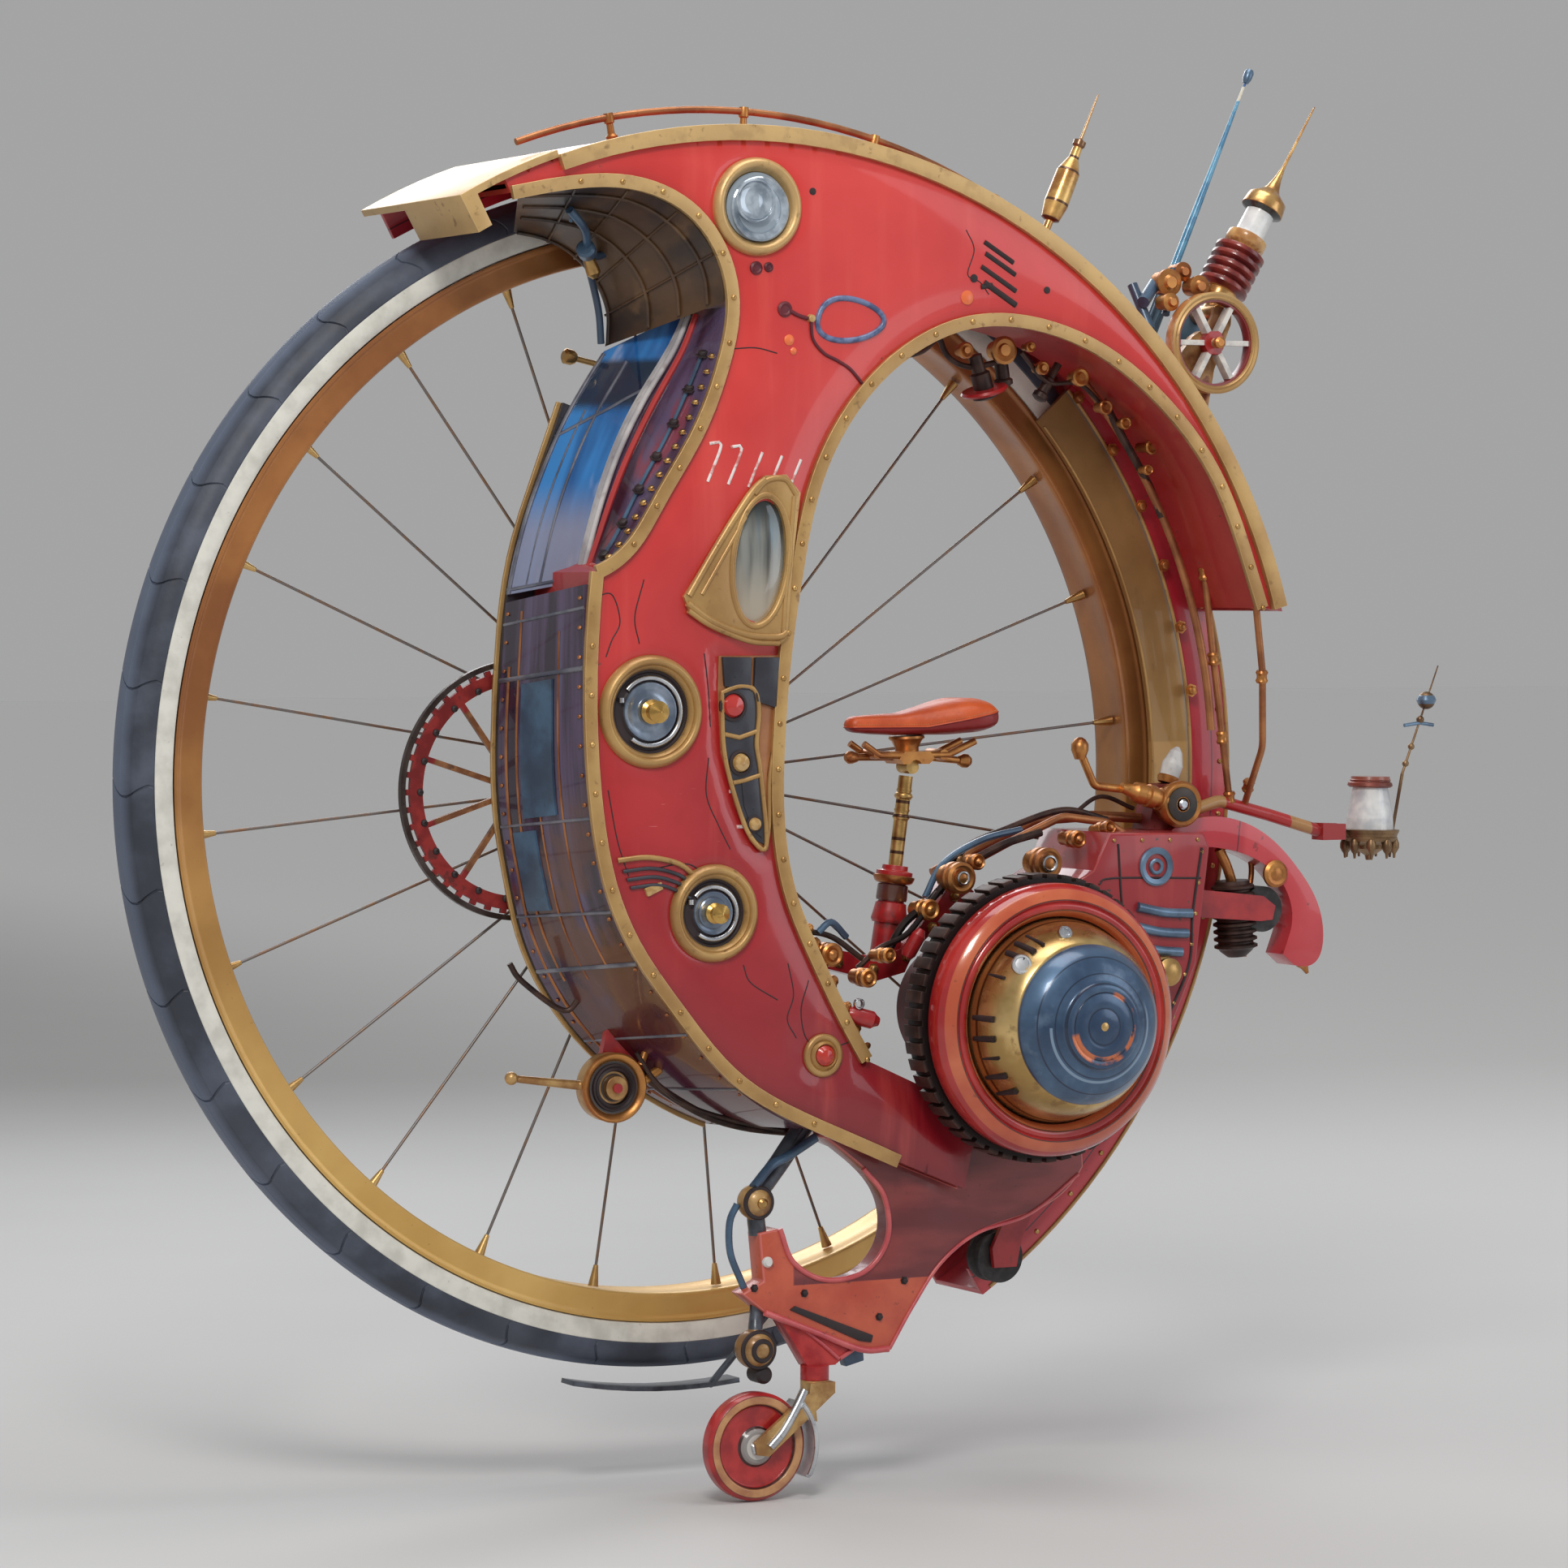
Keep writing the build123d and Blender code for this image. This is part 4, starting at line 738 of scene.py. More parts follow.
# Painted light: the gilt is brighter towards the top, where light from above falls on it.
tone = gilt.mix(height.rising(0.55, 1.02) * 0.55, tone, (0.80, 0.55, 0.25))
tone = gilt.mix(height.rising(0.90, 1.0) * gilt.noise(26, 4, (1, 0.25, 1)).rising(0.48, 0.66) * 0.32, tone,
    (0.30, 0.17, 0.075))
tone = gilt.mix(gilt.attribute("worn") * 0.5, tone, (0.92, 0.66, 0.32))
tone = gilt.mix(gilt.noise(60, 5).rising(0.60, 0.74) * 0.6, tone, (0.17, 0.085, 0.035))
gilt.feed(Base_Color=tone, Roughness=0.30 + 0.25 * cloud)
gilt.bump(gilt.noise(150, 3), 0.0006, 0.4)
softened("shell_beads", "body_trims", 2.6, gilt, "brass")


def as_modified(obj):
    """A new mesh as the object's modifiers leave it."""
    return bpy.data.meshes.new_from_object(obj.evaluated_get(bpy.context.evaluated_depsgraph_get()))


class Plan:
    """A Geometry Nodes tree in the making, with named inputs."""

    def __init__(self, name, **inputs):
        self.tree = bpy.data.node_groups.new(name, "GeometryNodeTree")
        self.face = self.tree.interface
        self.face.new_socket("Geometry", in_out="INPUT", socket_type="NodeSocketGeometry")
        self.face.new_socket("Geometry", in_out="OUTPUT", socket_type="NodeSocketGeometry")
        kinds = {float: "Float", int: "Int", "Object": "Object", "Material": "Material"}
        self.codes = {"Geometry": self.face.items_tree[0].identifier}
        for key, value in inputs.items():
            kind = kinds.get(value) or kinds[type(value)]
            socket = self.face.new_socket(
                key.replace("_", " "), in_out="INPUT", socket_type=f"NodeSocket{kind}"
            )
            self.codes[key] = socket.identifier
            if kind in ("Float", "Int"):
                socket.default_value = value
        self.start = self.tree.nodes.new("NodeGroupInput").outputs

    def node(self, kind, settings=None, **names):
        """A node of one kind, its settings and its sockets' values or links."""
        made = self.tree.nodes.new(kind)
        for key, value in (settings or {}).items():
            setattr(made, key, value)
        for key, value in names.items():
            socket = made.inputs[key.replace("_", " ")]
            if isinstance(value, bpy.types.NodeSocket):
                self.tree.links.new(value, socket)
            else:
                socket.default_value = value
        return made

    def end(self, geometry):
        self.tree.links.new(geometry, self.tree.nodes.new("NodeGroupOutput").inputs[0])

    def apply(self, name, start_mesh, **values):
        """The tree's result on a mesh, as a plain mesh object."""
        holder = placed(name + "_start", start_mesh)
        modifier = holder.modifiers.new("plan", "NODES")
        modifier.node_group = self.tree
        for key, value in values.items():
            modifier[self.codes[key]] = value
        bpy.context.view_layer.update()
        mesh = as_modified(holder)
        mesh.name = name
        holder.modifiers.remove(modifier)
        bpy.data.objects.remove(holder)
        return placed(name, mesh)


# One tree sets a small fitting at even spacing along lines. X of the fitting follows the
# line and its Z stands out to the near side or away from the axle.
row_plan = Plan("row", Item="Object", Spacing=0.05, Size=1.0, Outward=0, Material="Material")
line = row_plan.node("GeometryNodeMeshToCurve", Mesh=row_plan.start["Geometry"])
spaced = row_plan.node("GeometryNodeResampleCurve", {"mode": "LENGTH"}, Curve=line.outputs[0],
    Length=row_plan.start["Spacing"])
tangent = row_plan.node("GeometryNodeInputTangent")
position = row_plan.node("GeometryNodeInputPosition")
choice = row_plan.tree.nodes.new("GeometryNodeSwitch")
choice.input_type = "VECTOR"
row_plan.tree.links.new(row_plan.start["Outward"], choice.inputs[0])
choice.inputs[1].default_value = (0, -1, 0)
row_plan.tree.links.new(position.outputs[0], choice.inputs[2])
aimed = row_plan.tree.nodes.new("FunctionNodeAlignRotationToVector")
aimed.axis = "Z"
row_plan.tree.links.new(choice.outputs[0], aimed.inputs["Vector"])
turned_on = row_plan.tree.nodes.new("FunctionNodeAlignRotationToVector")
turned_on.axis = "X"
turned_on.pivot_axis = "Z"
row_plan.tree.links.new(aimed.outputs[0], turned_on.inputs["Rotation"])
row_plan.tree.links.new(tangent.outputs[0], turned_on.inputs["Vector"])
item = row_plan.node("GeometryNodeObjectInfo", Object=row_plan.start["Item"])
points = row_plan.node("GeometryNodeInstanceOnPoints", Points=spaced.outputs[0],
    Instance=item.outputs["Geometry"])
row_plan.tree.links.new(turned_on.outputs[0], points.inputs["Rotation"])
row_plan.tree.links.new(row_plan.start["Size"], points.inputs["Scale"])
real = row_plan.node("GeometryNodeRealizeInstances", Geometry=points.outputs[0])
painted = row_plan.node("GeometryNodeSetMaterial", Geometry=real.outputs[0],
    Material=row_plan.start["Material"])
row_plan.end(painted.outputs[0])


def fitting(name, profile, steps=12):
    """A small turned fitting standing on Z, kept out of sight as a pattern."""
    points, faces = [], []
    for number in range(steps):
        turn = 2 * pi * number / steps
        points += [(r * cos(turn) / 1000, r * sin(turn) / 1000, h / 1000) for h, r in profile]
    rows = len(profile)
    for number in range(steps):
        here, there = number * rows, (number + 1) % steps * rows
        faces += [(here + k, there + k, there + k + 1, here + k + 1) for k in range(rows - 1)]
    obj = mesh_piece(name, points, faces)
    obj.hide_render = True
    obj.hide_viewport = True
    return obj


def row(name, item, lines, spacing, finish, slot, body=None, size=1.0, outward=False, closed=False):
    """Fittings at even spacing along lines of places in metres."""
    points, edges = [], []
    for places in lines:
        first = len(points)
        points += [tuple(p) for p in places]
        edges += [(k, k + 1) for k in range(first, len(points) - 1)]
        if closed:
            edges.append((len(points) - 1, first))
    start = bpy.data.meshes.new(name + "_lines")
    start.from_pydata(points, edges, [])
    obj = row_plan.apply(
        name, start, Item=item, Spacing=spacing / 1000, Size=size, Outward=int(outward),
        Material=finish.material,
    )
    return finished(obj, finish, slot, body, crease=50)


screw_head = fitting("screw_pattern", [(0, 0), (0, 4.6), (1.6, 4.4), (2.8, 3.2), (3.2, 1.4), (2.2, 0.9),
    (2.2, 0)])
bolt_head = fitting("bolt_pattern", [(0, 0), (0, 8), (1.5, 8), (1.5, 5.4), (5.4, 5.2), (6, 4.6), (6, 0)], 6)
inner_edge = [
    (985, 282), (956, 362), (891, 507), (784, 632), (657, 719), (532, 759), (409, 760),
    (287, 711), (187, 622), (115, 499), (76, 345), (52, 186), (42, 60), (43, -80),
    (68, -198), (108, -286), (160, -385), (208, -465),
]
mouth_edge = [
    (-439, 946), (-319, 968), (-205, 966), (-112, 924), (-58, 852), (-42, 774), (-58, 687),
    (-108, 566), (-174, 462), (-224, 387), (-289, 342),
]
limb_edge = [
    (-289, 342), (-299, 223), (-300, 86), (-289, -51), (-263, -172), (-224, -259), (-147, -365),
    (-30, -491), (108, -567), (269, -637),
]
bead_top = 310


def on_side(corners, depth, step=6.0):
    """A smooth line through corners of the wheel's plane, at one depth."""
    return [at(p.x, depth, p.y) for p in smooth_line(corners, step)]


row(
    "bead_screws", screw_head,
    [on_side(inner_edge, bead_top), on_side(mouth_edge[1:-1], bead_top),
        on_side(limb_edge[1:-1], bead_top)],
    74, brass, "brass",
)

# The limb's side: plum lacquer panels over a timber frame, with nickel straps across them,
# a smoked pane, and thin copper strips along its length.
casing_near = [
    (-309, 322), (-309, 86), (-298, -51), (-272, -173), (-233, -262), (-156, -370), (-40, -497),
        (100, -576),
]
casing_far = [
    (-345, 292), (-359, 81), (-355, -59), (-337, -164), (-312, -262), (-245, -385), (-120, -505),
        (30, -584),
]
plum = Finish("plum_lacquer", Roughness=0.2, Coat_Weight=0.7, Coat_Roughness=0.05)
height = plum.axis("Z")
streak = plum.noise(6, 4, (0.6, 6, 0.35))
cloud = plum.noise(4, 4)
# Painted reflections: the lighter streaks in the lacquer, and the bluish ones among them, are painted
# reflections.
tone = plum.mix(streak.rising(0.38, 0.66), (0.022, 0.012, 0.028), (0.10, 0.062, 0.135))
tone = plum.mix(streak.rising(0.56, 0.72) * cloud.rising(0.35, 0.6), tone, (0.075, 0.105, 0.19))
tone = plum.mix(height.rising(0.12, -0.2) * cloud.rising(0.45, 0.55) * 0.85, tone, (0.13, 0.045, 0.022))
tone = plum.mix(height.rising(-0.25, -0.5) * 0.8, tone, (0.085, 0.008, 0.022))
plum.feed(Base_Color=tone, Roughness=0.16 + 0.2 * cloud)
plum.bump(plum.noise(130, 3), 0.0004, 0.3)
coat_nodes(plum, ["limb_casing"])


def between(near_line, far_line, share, along):
    """A place on a ruled side: share runs from the near edge to the far one, along from 0 to 1."""
    near, far = (smooth_line(line, 4) for line in (near_line, far_line))
    here = near[round(along * (len(near) - 1))]
    there = far[round(along * (len(far) - 1))]
    place = here.lerp(there, share)
    return at(place.x, 300 - 220 * share, place.y)


def side_strip(name, near_line, far_line, share, start, end, radius, finish, slot, lift=0.0):
    """A strip along a ruled side from one share of its length to another."""
    near, far = (smooth_line(line, 4) for line in (near_line, far_line))
    places = []
    for k in range(61):
        along = start + (end - start) * k / 60
        here, there = (line[round(along * (len(line) - 1))] for line in (near, far))
        place = here.lerp(there, share)
        places.append(at(place.x - lift, 300 - 220 * share, place.y))
    ordered = places[:1]
    for place in places[1:]:
        if (place - ordered[-1]).length > 0.004:
            ordered.append(place)
    return tube(name, ordered, radius, finish, slot, sides=3)


copper = plain_metal("copper", (0.50, 0.21, 0.085), (0.27, 0.10, 0.045), 0.34, 0.7)
nickel = plain_metal("nickel", (0.30, 0.31, 0.36), (0.14, 0.15, 0.20), 0.3, 0.7)
blue_grey = plain_metal("blue_grey", (0.07, 0.15, 0.25), (0.04, 0.07, 0.12), 0.3, 0.2, coat=0.4)
strips = [
    side_strip(f"casing_strip_{n}", casing_near, casing_far, share, start, end, size, copper, "copper")
    for n, (share, start, end, size) in enumerate((
        (0.30, 0.06, 0.60, 2.2), (0.78, 0.02, 0.62, 2.4), (0.55, 0.30, 0.62, 1.8), (0.9, 0.1, 0.95, 3.0),
    ))
]
joined("casing_strips", strips)
straps = []
for number, along in enumerate((0.035, 0.12, 0.355, 0.505, 0.60, 0.74, 0.86)):
    ends = [between(casing_near, casing_far, k / 12, along) for k in range(13)]
    straps.append(tube(f"strap_{number}", ends, 4.2 if number in (1, 4) else 2.8, nickel, "steel", sides=3))
joined("casing_straps", straps)
panes = []
for start, end, low, high in ((0.13, 0.345, 0.36, 0.72), (0.365, 0.495, 0.62, 0.86)):
    points, faces = [], []
    for k in range(13):
        for share in (low, (low + high) / 2, high):
            points.append(between(casing_near, casing_far, share, start + (end - start) * k / 12))
    points = [p + Vector((-0.0035, 0, 0)) for p in points] + [p + Vector((0.002, 0, 0)) for p in points]
    count = 39
    for k in range(12):
        for j in range(2):
            a = k * 3 + j
            faces += [(a, a + 1, a + 4, a + 3), (a + count, a + 3 + count, a + 4 + count, a + 1 + count)]
        for a in (k * 3, k * 3 + 2):
            faces.append((a, a + 3, a + 3 + count, a + count))
    for a in (0, 36):
        faces += [(a, a + 1, a + 1 + count, a + count), (a + 1, a + 2, a + 2 + count, a + 1 + count)]
    panes.append(finished(mesh_piece(f"pane_{start}", points, faces), blue_grey, "blue_glass"))
joined("casing_panes", panes)
row(
    "casing_rivets", screw_head,
    [[between(casing_near, casing_far, share, 0.02 + 0.9 * k / 40) + Vector((-0.001, 0,
        0)) for k in range(41)]
     for share in (0.045, 0.955)],
    46, copper, "copper", outward=True, size=0.8,
)
coat_nodes(plain_metal("back_plate", (0.10, 0.10, 0.12), (0.05, 0.05, 0.06), 0.45, 0.8),
    ["limb_back_plate"])


def ruled(near, near_depth, far, far_depth, share, along):
    """A place on a sheet stretched from one line at a depth to another."""
    near, far = (smooth_line(line, 4) for line in (near, far))
    place = near[round(along * (len(near) - 1))].lerp(far[round(along * (len(far) - 1))], share)
    return at(place.x, near_depth + (far_depth - near_depth) * share, place.y)


# The canopy: bent blue glass behind a painted middle rail and smoked violet glass in front.
# Lead-grey cames cross the blue glass, and the works show dark behind both.
rail_line = [(-62, 772), (-95, 705), (-150, 624), (-195, 540), (-231, 443), (-262, 327)]
window_near = [(-52, 774), (-70, 687), (-119, 568), (-184, 466), (-234, 391), (-298, 329)]
window_far = [(-165, 708), (-202, 655), (-242, 590), (-280, 510), (-315, 420), (-344, 305)]
glass = Finish("canopy_glass", Roughness=0.07, Coat_Weight=0.5, Coat_Roughness=0.03)
streak = glass.noise(5, 3, (1.0, 3.2, 0.28))
cloud = glass.noise(9, 3, (1, 2, 0.5))
blue = glass.mix(streak.rising(0.36, 0.62), (0.010, 0.085, 0.30), (0.045, 0.28, 0.72))
blue = glass.mix(cloud.rising(0.56, 0.68) * 0.75, blue, (0.50, 0.55, 0.74))
blue = glass.mix(glass.axis("Z").rising(0.60, 0.625) * (1 - glass.axis("Z").rising(0.685, 0.70)) * 0.92,
    blue, (0.010, 0.016, 0.028))
foot_mist = (1 - glass.axis("Z").rising(0.40, 0.50)) * 0.8
blue = glass.mix(foot_mist, blue, (0.36, 0.36, 0.47))
smoked = glass.mix(streak.rising(0.35, 0.6), (0.045, 0.012, 0.030), (0.14, 0.10, 0.19))
smoked = glass.mix(cloud.rising(0.54, 0.64) * 0.7, smoked, (0.34, 0.055, 0.075))
in_front = 1 - glass.axis("Y").rising(-0.194, -0.190)
glass.feed(
    Base_Color=glass.mix(in_front, blue, smoked),
    Alpha=0.92 - 0.22 * cloud,
)
coat_nodes(glass, ["canopy_glass"])
rail_paint = Finish("rail_paint", Roughness=0.38)
rail_tone = rail_paint.mix(rail_paint.noise(12, 3).rising(0.4, 0.6), (0.42, 0.40, 0.42), (0.62, 0.60, 0.60))
rail_tone = rail_paint.mix(rail_paint.noise(40, 4).rising(0.55, 0.7) * 0.5, rail_tone, (0.26, 0.20, 0.20))
rail_paint.feed(Base_Color=rail_tone)
coat_nodes(rail_paint, ["canopy_rail"])
cames = []
for number, (share, start, end, size) in enumerate((
    (0.55, 0.12, 0.98, 2.6), (0.74, 0.30, 0.98, 1.8), (0.97, 0.02, 1.0, 4.0),
)):
    path = [ruled(rail_line, 183, window_far, 80, share, start + (end - start) * k / 24) for k in range(25)]
    cames.append(tube(f"came_{number}", path, size, nickel, "steel", sides=3))
for number, along in enumerate((0.30, 0.985)):
    path = [ruled(rail_line, 183, window_far, 80, k / 8,
        along + 0.08 * k / 8 * (along < 0.9)) for k in range(9)]
    cames.append(tube(f"came_{number + 3}", path, 3.0, nickel, "steel", sides=3))
joined("canopy_cames", cames)
red_line = [ruled(window_near, 300, rail_line, 197, 0.80, 0.02 + 0.96 * k / 30) for k in range(31)]
tube("canopy_stripe", [p + Vector((-0.001, -0.001, 0)) for p in red_line], 5.5, red, "red_paint", sides=3)
pale_edge = [ruled(window_near, 300, rail_line, 197, 0.965, 0.02 + 0.96 * k / 30) for k in range(31)]
tube("canopy_edge", [p + Vector((-0.004, -0.002, 0)) for p in pale_edge], 4.6, rail_paint, "rail_paint",
    sides=3)
sill = [
    [ruled(window_near, 300, rail_line, 197, share, 0.16 + 0.74 * k / 30) + Vector((-0.001, 0,
        0)) for k in range(31)]
    for share in (0.10, 0.30)
]
row("canopy_bolts", bolt_head, sill[:1], 27, brass, "brass", outward=True, size=0.85)
row("canopy_studs", bolt_head, sill[1:], 61, black, "dark_steel", outward=True, size=1.5)
tube("canopy_conduit", [p + Vector((-0.003, 0, 0)) for p in sill[1]], 3.4, blue_grey, "blue_glass", sides=3)
knob = lathe("canopy_catch", at(-203, 80, 692), at(-240, 80, 700), [
    (-46, 0), (-46, 5), (14, 5), (15, 9), (22, 13), (34, 13), (38, 8), (38, 0)], 20)
finished(knob, brass, "brass")

# The mouth under the horn: brown enamelled liner with pressed ribs and a blue steel claw
# that carries the tyre's brush.
liner = Finish("mouth_brown", Roughness=0.42, Coat_Weight=0.3, Coat_Roughness=0.2)
streak = liner.noise(7, 4, (1, 0.5, 1))
tone = liner.mix(streak.rising(), (0.020, 0.012, 0.010), (0.105, 0.052, 0.022))
tone = liner.mix(liner.noise(16, 3).rising(0.58, 0.7) * 0.5, tone, (0.19, 0.105, 0.045))
liner.feed(Base_Color=tone)
liner.bump(liner.noise(60, 3), 0.001, 0.4)
coat_nodes(liner, ["mouth_liner"])
lining_near = [(-425, 950), (-319, 958), (-210, 955), (-124, 915), (-70, 850), (-57, 781)]
lining_far = [(-330, 900), (-275, 890), (-228, 868), (-190, 832), (-163, 780), (-163, 716)]
ribs = []
for number, share in enumerate((0.12, 0.36, 0.62, 0.97)):
    path = [ruled(lining_near, 300, lining_far, 80, share, 0.03 + 0.95 * k / 30) for k in range(31)]
    path = [p + Vector((-0.0015, 0, -0.0015)) for p in path]
    ribs.append(tube(f"liner_rib_{number}", path, 3.2, liner, "brown_lining", sides=3))
for number, along in enumerate((0.22, 0.42, 0.62, 0.82)):
    path = [ruled(lining_near, 300, lining_far, 80, k / 8,
        along) + Vector((-0.001, 0, -0.001)) for k in range(9)]
    ribs.append(tube(f"liner_rib_{number + 4}", path, 2.6, liner, "brown_lining", sides=3))
joined("liner_ribs", ribs)
claw = [
    tube("claw_0", curved([(-300, 228, 928), (-262, 205, 900), (-232, 160, 868), (-200, 132, 862),
        (-158, 128, 884)], 6), 7, blue_grey, "blue_glass"),
    tube("claw_1", curved([(-236, 150, 866), (-206, 120, 820), (-184, 100, 770), (-176, 92, 720)], 6), 6,
        blue_grey, "blue_glass"),
    tube("claw_2", curved([(-290, 212, 912), (-250, 180, 934), (-190, 170, 922), (-120, 160, 862),
        (-96, 150, 800)], 6), 3.4, blue_grey, "blue_glass"),
    turned("claw_3", (-246, 175, 872), (-216, 135, 856),
        [(0, 0), (0, 12), (5, 16), (22, 16), (30, 10), (48, 7), (48, 0)], 20, blue_grey, "blue_glass"),
]
joined("mouth_claw", claw)
turned("claw_cap", (-224, 150, 848), (-214, 150, 822), [(-8, 0), (-8, 9), (10, 12), (18, 12), (26, 5),
    (26, 0)], 18, brass, "brass")

# The hoop over the tyre: rolled red channel with a dark seam line and a painted highlight along its outer
# edge, lined with gold leaf.
hoop_red = Finish("hoop_red", Roughness=0.28, Coat_Weight=0.6, Coat_Roughness=0.06)
cloud = hoop_red.noise(4, 4)
from_axle = hoop_red.radius()
tone = hoop_red.mix(cloud.rising(0.3, 0.7), (0.30, 0.006, 0.018), (0.50, 0.016, 0.030))
# Painted highlight: the channel is lighter pink-red towards its outer edge.
tone = hoop_red.mix(from_axle.rising(1.035, 1.05) * 0.5, tone, (0.68, 0.07, 0.08))
tone = hoop_red.mix(from_axle.band(1.0285, 1.0305, 0.0006), tone, (0.09, 0.005, 0.012))
tone = hoop_red.mix(hoop_red.noise(60, 4).rising(0.66, 0.72) * 0.6, tone, (0.15, 0.02, 0.02))
hoop_red.feed(Base_Color=tone, Roughness=0.22 + 0.25 * cloud)
hoop_red.bump(hoop_red.noise(300, 2), 0.0003, 0.3)
softened("hoop_channel", "fender_hoop", 1.6, hoop_red, "red_paint")
leaf = Finish("gold_leaf", Metallic=0.35, Coat_Weight=0.2)
cloud = leaf.noise(5, 4)
brush = leaf.noise(34, 3, (1, 1, 0.5))
tone = leaf.mix(cloud.rising(0.3, 0.7), (0.24, 0.125, 0.040), (0.36, 0.20, 0.07))
# Painted light: the leaf is browner towards the top and brighter gold lower down, with a painted highlight
# on all of it below the middle.
tone = leaf.mix(leaf.axis("Z").rising(0.35, -0.25), tone, (0.52, 0.31, 0.105))
tone = leaf.mix(leaf.axis("Z").rising(0.05, 0.045) * 0.45, tone, (0.62, 0.36, 0.12))
tone = leaf.mix(leaf.radius().rising(0.975, 0.982) * 0.7, tone, (0.20, 0.22, 0.22))
tone = leaf.mix(brush.rising(0.6, 0.75) * 0.35, tone, (0.12, 0.06, 0.025))
leaf.feed(Base_Color=tone, Roughness=0.34 + 0.2 * brush)
leaf.bump(brush, 0.0004, 0.3)
coat_nodes(leaf, ["hoop_lining"])


def arc_line(radius, start, end, depth, centre=(0, 0), step=1.0):
    """Places along an arc in the wheel's plane, angles in degrees."""
    count = max(2, round(abs(end - start) / step))
    turns = [radians(start + (end - start) * k / count) for k in range(count + 1)]
    return [at(centre[0] + radius * cos(t), depth, centre[1] + radius * sin(t)) for t in turns]


tubes("hoop_beads", gilt, "brass", [
    (arc_line(985, -52, 42, 80), 3.2), (arc_line(907, -50, 41, 80), 2.2),
        (arc_line(1062, -57, 40, 80), 3.4),
], sides=3)
row("hoop_screws", screw_head, [arc_line(1046, -55, 36, 80)], 92, brass, "brass")

# The two gauges: spun brass bezels in steps, a black well with a broken nickel ring,
# a blue-grey dish and a gold knob. The porthole above has two silvered lenses.
dish = Finish("gauge_dish", Metallic=0.6, Roughness=0.25, Coat_Weight=0.3)
cloud = dish.noise(22, 3)
dish.feed(Base_Color=dish.mix(cloud.rising(0.35, 0.7), (0.13, 0.17, 0.24), (0.36, 0.43, 0.53)))
bright = plain_metal("nickel_bright", (0.72, 0.74, 0.76), (0.46, 0.48, 0.52), 0.22)
bezels, wells, dishes, marks = [], [], [], []
for name, x, z, outer in (("upper", -192, 116, 92), ("lower", -77, -214, 80)):
    inner = outer - 24
    bezel = [
        (299, inner), (299, outer), (306, outer + 0.5), (313, outer - 2), (318, outer - 6),
            (320, outer - 10),
        (318, outer - 14), (313.5, outer - 16), (314.5, outer - 18.5), (312, outer - 21), (307, inner),
            (299, inner),
    ]
    bezels.append(faced(f"bezel_{name}", x, z, bezel, 96, gilt, "brass", None, crease=60))
    wells.append(faced(f"well_{name}", x, z, [
        (299, 0), (299, inner + 0.5), (304, inner + 0.5), (304, inner - 3), (300.6, inner - 6),
            (300.6, inner - 16),
        (303, inner - 19), (303, 0)], 72, black, "dark_steel"))
    dishes.append(faced(f"dish_{name}", x, z, [
        (303, 0), (303, inner - 20), (305.5, inner - 21), (306, inner - 24), (303.6, inner - 30),
            (304.6, 26), (306, 24),
        (306, 0)], 72, dish, "dial_silver"))
    ring = [at(x + (inner - 13) * cos(radians(t)), 304,
        z + (inner - 13) * sin(radians(t))) for t in range(-128, 143, 4)]
    marks.append(tube(f"ring_{name}", ring, 4.2, bright, "steel"))
    # A short bright nickel stroke on the left of each well is a painted highlight.
    spot = [at(x - (inner - 12) * 0.94, 305, z + 15 + k) for k in (0, 8)]
    marks.append(tube(f"spot_{name}", spot, 5, bright, "steel"))
faced("bezel_porthole", 2, 938, [
    (299, 56), (299, 80), (306, 80.5), (313, 79), (319, 74), (320, 70), (317, 65), (312, 62), (307, 58),
        (303, 56),
    (299, 56)], 96, gilt, "brass", None, crease=60)
faced("bezel_button", 128, -455, [
    (299, 18), (299, 36), (305, 36), (309, 33), (310, 28), (307, 25), (311, 22), (314, 20), (312, 18),
        (299, 18)], 64,
    gilt, "brass", None, "instrument_bezels", crease=60)
bezels.append(bpy.data.objects["bezel_porthole"])
bezels.append(bpy.data.objects["bezel_button"])
stud = [(299, 0), (299, 8.5), (308, 8), (312, 6), (316, 6), (317, 4), (317, 0)]
bezels.append(faced("loop_stud", 100, 758, stud, 24, gilt, "brass"))
joined("gauge_bezels", bezels)
joined("gauge_wells", wells)
joined("gauge_dishes", dishes)
joined("gauge_rings", marks)
coat_nodes(plain_metal("gold_knob", (0.80, 0.52, 0.14), (0.55, 0.32, 0.08), 0.2, coat=0.5),
    ["upper_gauge_knob", "lower_gauge_knob"])
lens = Finish("porthole_lens", Roughness=0.08, Metallic=0.25, Coat_Weight=0.6)
cloud = lens.noise(30, 3)
lens.feed(
    Base_Color=lens.mix(cloud.rising(0.35, 0.7), (0.20, 0.25, 0.31), (0.52, 0.60, 0.68)),
)
window = Finish("oval_pane", Roughness=0.1, Coat_Weight=0.6)
streak = window.noise(22, 3, (1, 1, 0.12))
tone = window.mix(streak.rising(0.38, 0.60), (0.030, 0.034, 0.036), (0.26, 0.27, 0.25))
tone = window.mix(window.noise(30, 2, (1, 1, 0.1)).rising(0.52, 0.60) * 0.8, tone, (0.10, 0.17, 0.21))
tone = window.mix((1 - window.axis("Z").rising(0.27, 0.38)) * 0.75, tone, (0.50, 0.42, 0.32))
tone = window.mix(window.axis("Z").rising(0.40, 0.455) * 0.92, tone, (0.010, 0.012, 0.010))
window.feed(Base_Color=window.mix(window.axis("Z").rising(0.6, 0.7), tone, (0.33, 0.40, 0.47)))
coat_nodes(window, ["window_glass"])
